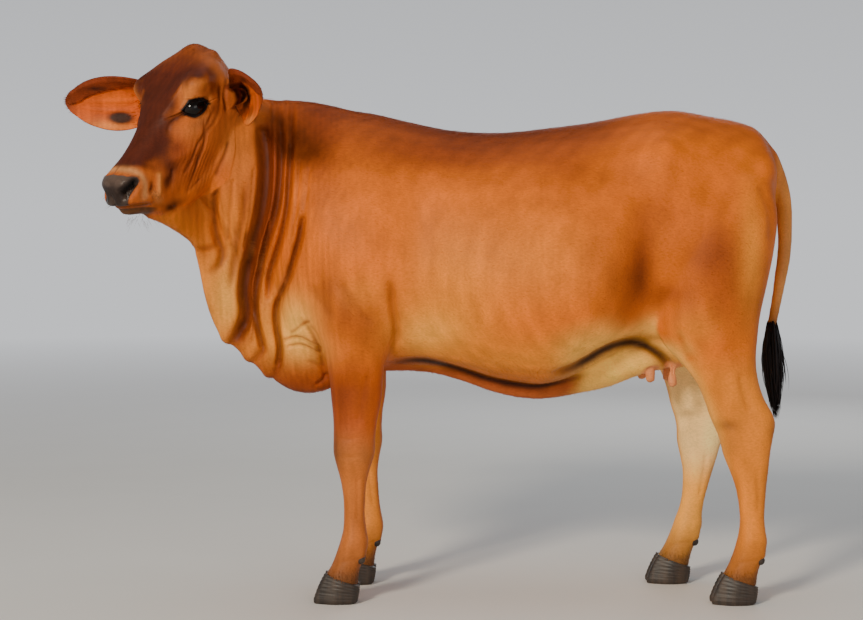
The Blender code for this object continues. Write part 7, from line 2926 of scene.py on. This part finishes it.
@dataclass(frozen=True)
class Lamp:
    """One soft studio light."""

    name: str
    place: tuple[float, float, float]
    aim: tuple[float, float, float]
    size: float
    power: float
    colour: tuple[float, float, float]

    def build(self) -> None:
        """Hangs the light."""
        data = bpy.data.lights.new(self.name, "AREA")
        data.shape = "DISK"
        data.size = self.size
        data.energy = self.power
        data.color = self.colour
        lamp = bpy.data.objects.new(self.name, data)
        lamp.location = self.place
        lamp.rotation_euler = (Vector(self.aim) - Vector(self.place)).to_track_quat("-Z", "Y").to_euler()
        bpy.context.scene.collection.objects.link(lamp)


@dataclass
class Studio:
    """A plain pale floor, soft light from the front left, and the camera."""

    floor_radius: float = 30.0
    floor_sides: int = 96
    inner_radius: float = 2.0
    eye_height: float = 0.970
    distance: float = 5.0
    pitch: float = math.atan(95.0 / 1956.0)
    lens: float = 36.0 * 1956.0 / 863.0
    sky: Colour = (232, 234, 238)
    horizon_strength: float = 0.95
    zenith_strength: float = 0.26
    fade_height: float = 0.45
    lamps: tuple[Lamp, ...] = (
        Lamp("key", (-4.4, -8.7, 4.9), (0.0, 0.0, 0.85), 2.0, 950.0, (1.0, 0.89, 0.72)),
        Lamp("front fill", (2.6, -5.8, 1.9), (0.2, 0.0, 0.7), 3.0, 60.0, (1.0, 0.93, 0.84)),
        Lamp("top", (0.2, 0.4, 4.6), (0.0, 0.0, 0.6), 3.2, 30.0, (0.84, 0.92, 1.0)),
        Lamp("back", (1.6, 4.8, 2.6), (0.0, 0.0, 0.8), 2.6, 50.0, (0.90, 0.95, 1.0)),
    )

    def build(self) -> None:
        """Sets up floor, light, sky and camera."""
        self.build_floor()
        for lamp in self.lamps:
            lamp.build()
        self.build_sky()
        self.build_camera()

    def build_floor(self) -> None:
        """Lays the floor."""
        turn = around(self.floor_sides)
        rim = np.stack([np.cos(turn), np.sin(turn), np.zeros(self.floor_sides)], axis=1)
        mesh = mesh_from("studio_floor", np.concatenate([rim * self.inner_radius, rim * self.floor_radius]),
                         tube_faces(2, self.floor_sides)[:, ::-1])
        bm = bmesh.new()
        bm.from_mesh(mesh)
        bm.verts.ensure_lookup_table()
        bm.faces.new([bm.verts[index] for index in range(self.floor_sides)])
        bm.to_mesh(mesh)
        bm.free()
        mesh.materials.append(FloorFinish().build())
        new_object("studio_floor", mesh)

    def build_sky(self) -> None:
        """Makes the backdrop, which is brighter at the horizon."""
        world = bpy.data.worlds.new("studio")
        world.use_nodes = True
        tree = world.node_tree
        background = tree.nodes["Background"]
        place = tree.nodes.new("ShaderNodeTexCoord")
        split = tree.nodes.new("ShaderNodeSeparateXYZ")
        fade = tree.nodes.new("ShaderNodeMapRange")
        fade.inputs["From Max"].default_value = self.fade_height
        fade.inputs["To Min"].default_value = self.horizon_strength
        fade.inputs["To Max"].default_value = self.zenith_strength
        tree.links.new(place.outputs["Generated"], split.inputs["Vector"])
        tree.links.new(split.outputs["Z"], fade.inputs["Value"])
        tree.links.new(fade.outputs["Result"], background.inputs["Strength"])
        background.inputs["Color"].default_value = (*to_linear(self.sky), 1.0)
        bpy.context.scene.world = world

    def build_camera(self) -> None:
        """Puts the camera where the photo was taken from."""
        camera_data = bpy.data.cameras.new("camera")
        camera_data.lens = self.lens
        camera = bpy.data.objects.new("camera", camera_data)
        camera.location = Vector((0.0, -self.distance, self.eye_height)) + ORIGIN_SHIFT
        camera.rotation_euler = (math.pi / 2.0 - self.pitch, 0.0, 0.0)
        bpy.context.scene.collection.objects.link(camera)
        bpy.context.scene.camera = camera


# the CAD nodes that the skin takes the place of
FLESH = ("head", "neck", "torso", "foreleg_left_upper", "foreleg_right_upper", "foreleg_left_lower",
         "foreleg_right_lower", "hindleg_left_upper", "hindleg_right_upper", "hindleg_left_lower",
         "hindleg_right_lower", "ear_left", "ear_right", "tail")


def main() -> None:
    """Builds the animal and its studio."""
    logging.basicConfig(level=logging.INFO, format="%(name)s: %(message)s")
    before = set(bpy.data.objects)
    palette = Palette()
    pose = HeadPose()
    eyes = EyeShape(pose)
    ears = Ears(pose)
    skin = Skin(pose, eyes, ears)
    hooves = Hooves()
    body = skin.build()
    hooves.tuck(body.data)
    MarkingsAndShade(pose, eyes, ears, skin, palette).colour(body.data)
    body.data.materials.clear()
    body.data.materials.append(HideFinish().build())
    body.data.shade_smooth()
    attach(body, "root")
    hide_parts(*FLESH)
    log.info("skin of %d faces", len(body.data.polygons))
    Eyes(eyes, palette).build()
    hooves.build()
    Switch(palette).build()
    Coat(pose, ears).build(body)
    for thing in set(bpy.data.objects) - before:
        thing.data.transform(Matrix.Translation(ORIGIN_SHIFT))
    Studio().build()
    log.info("sizes written")


if __name__ == "__main__":
    main()
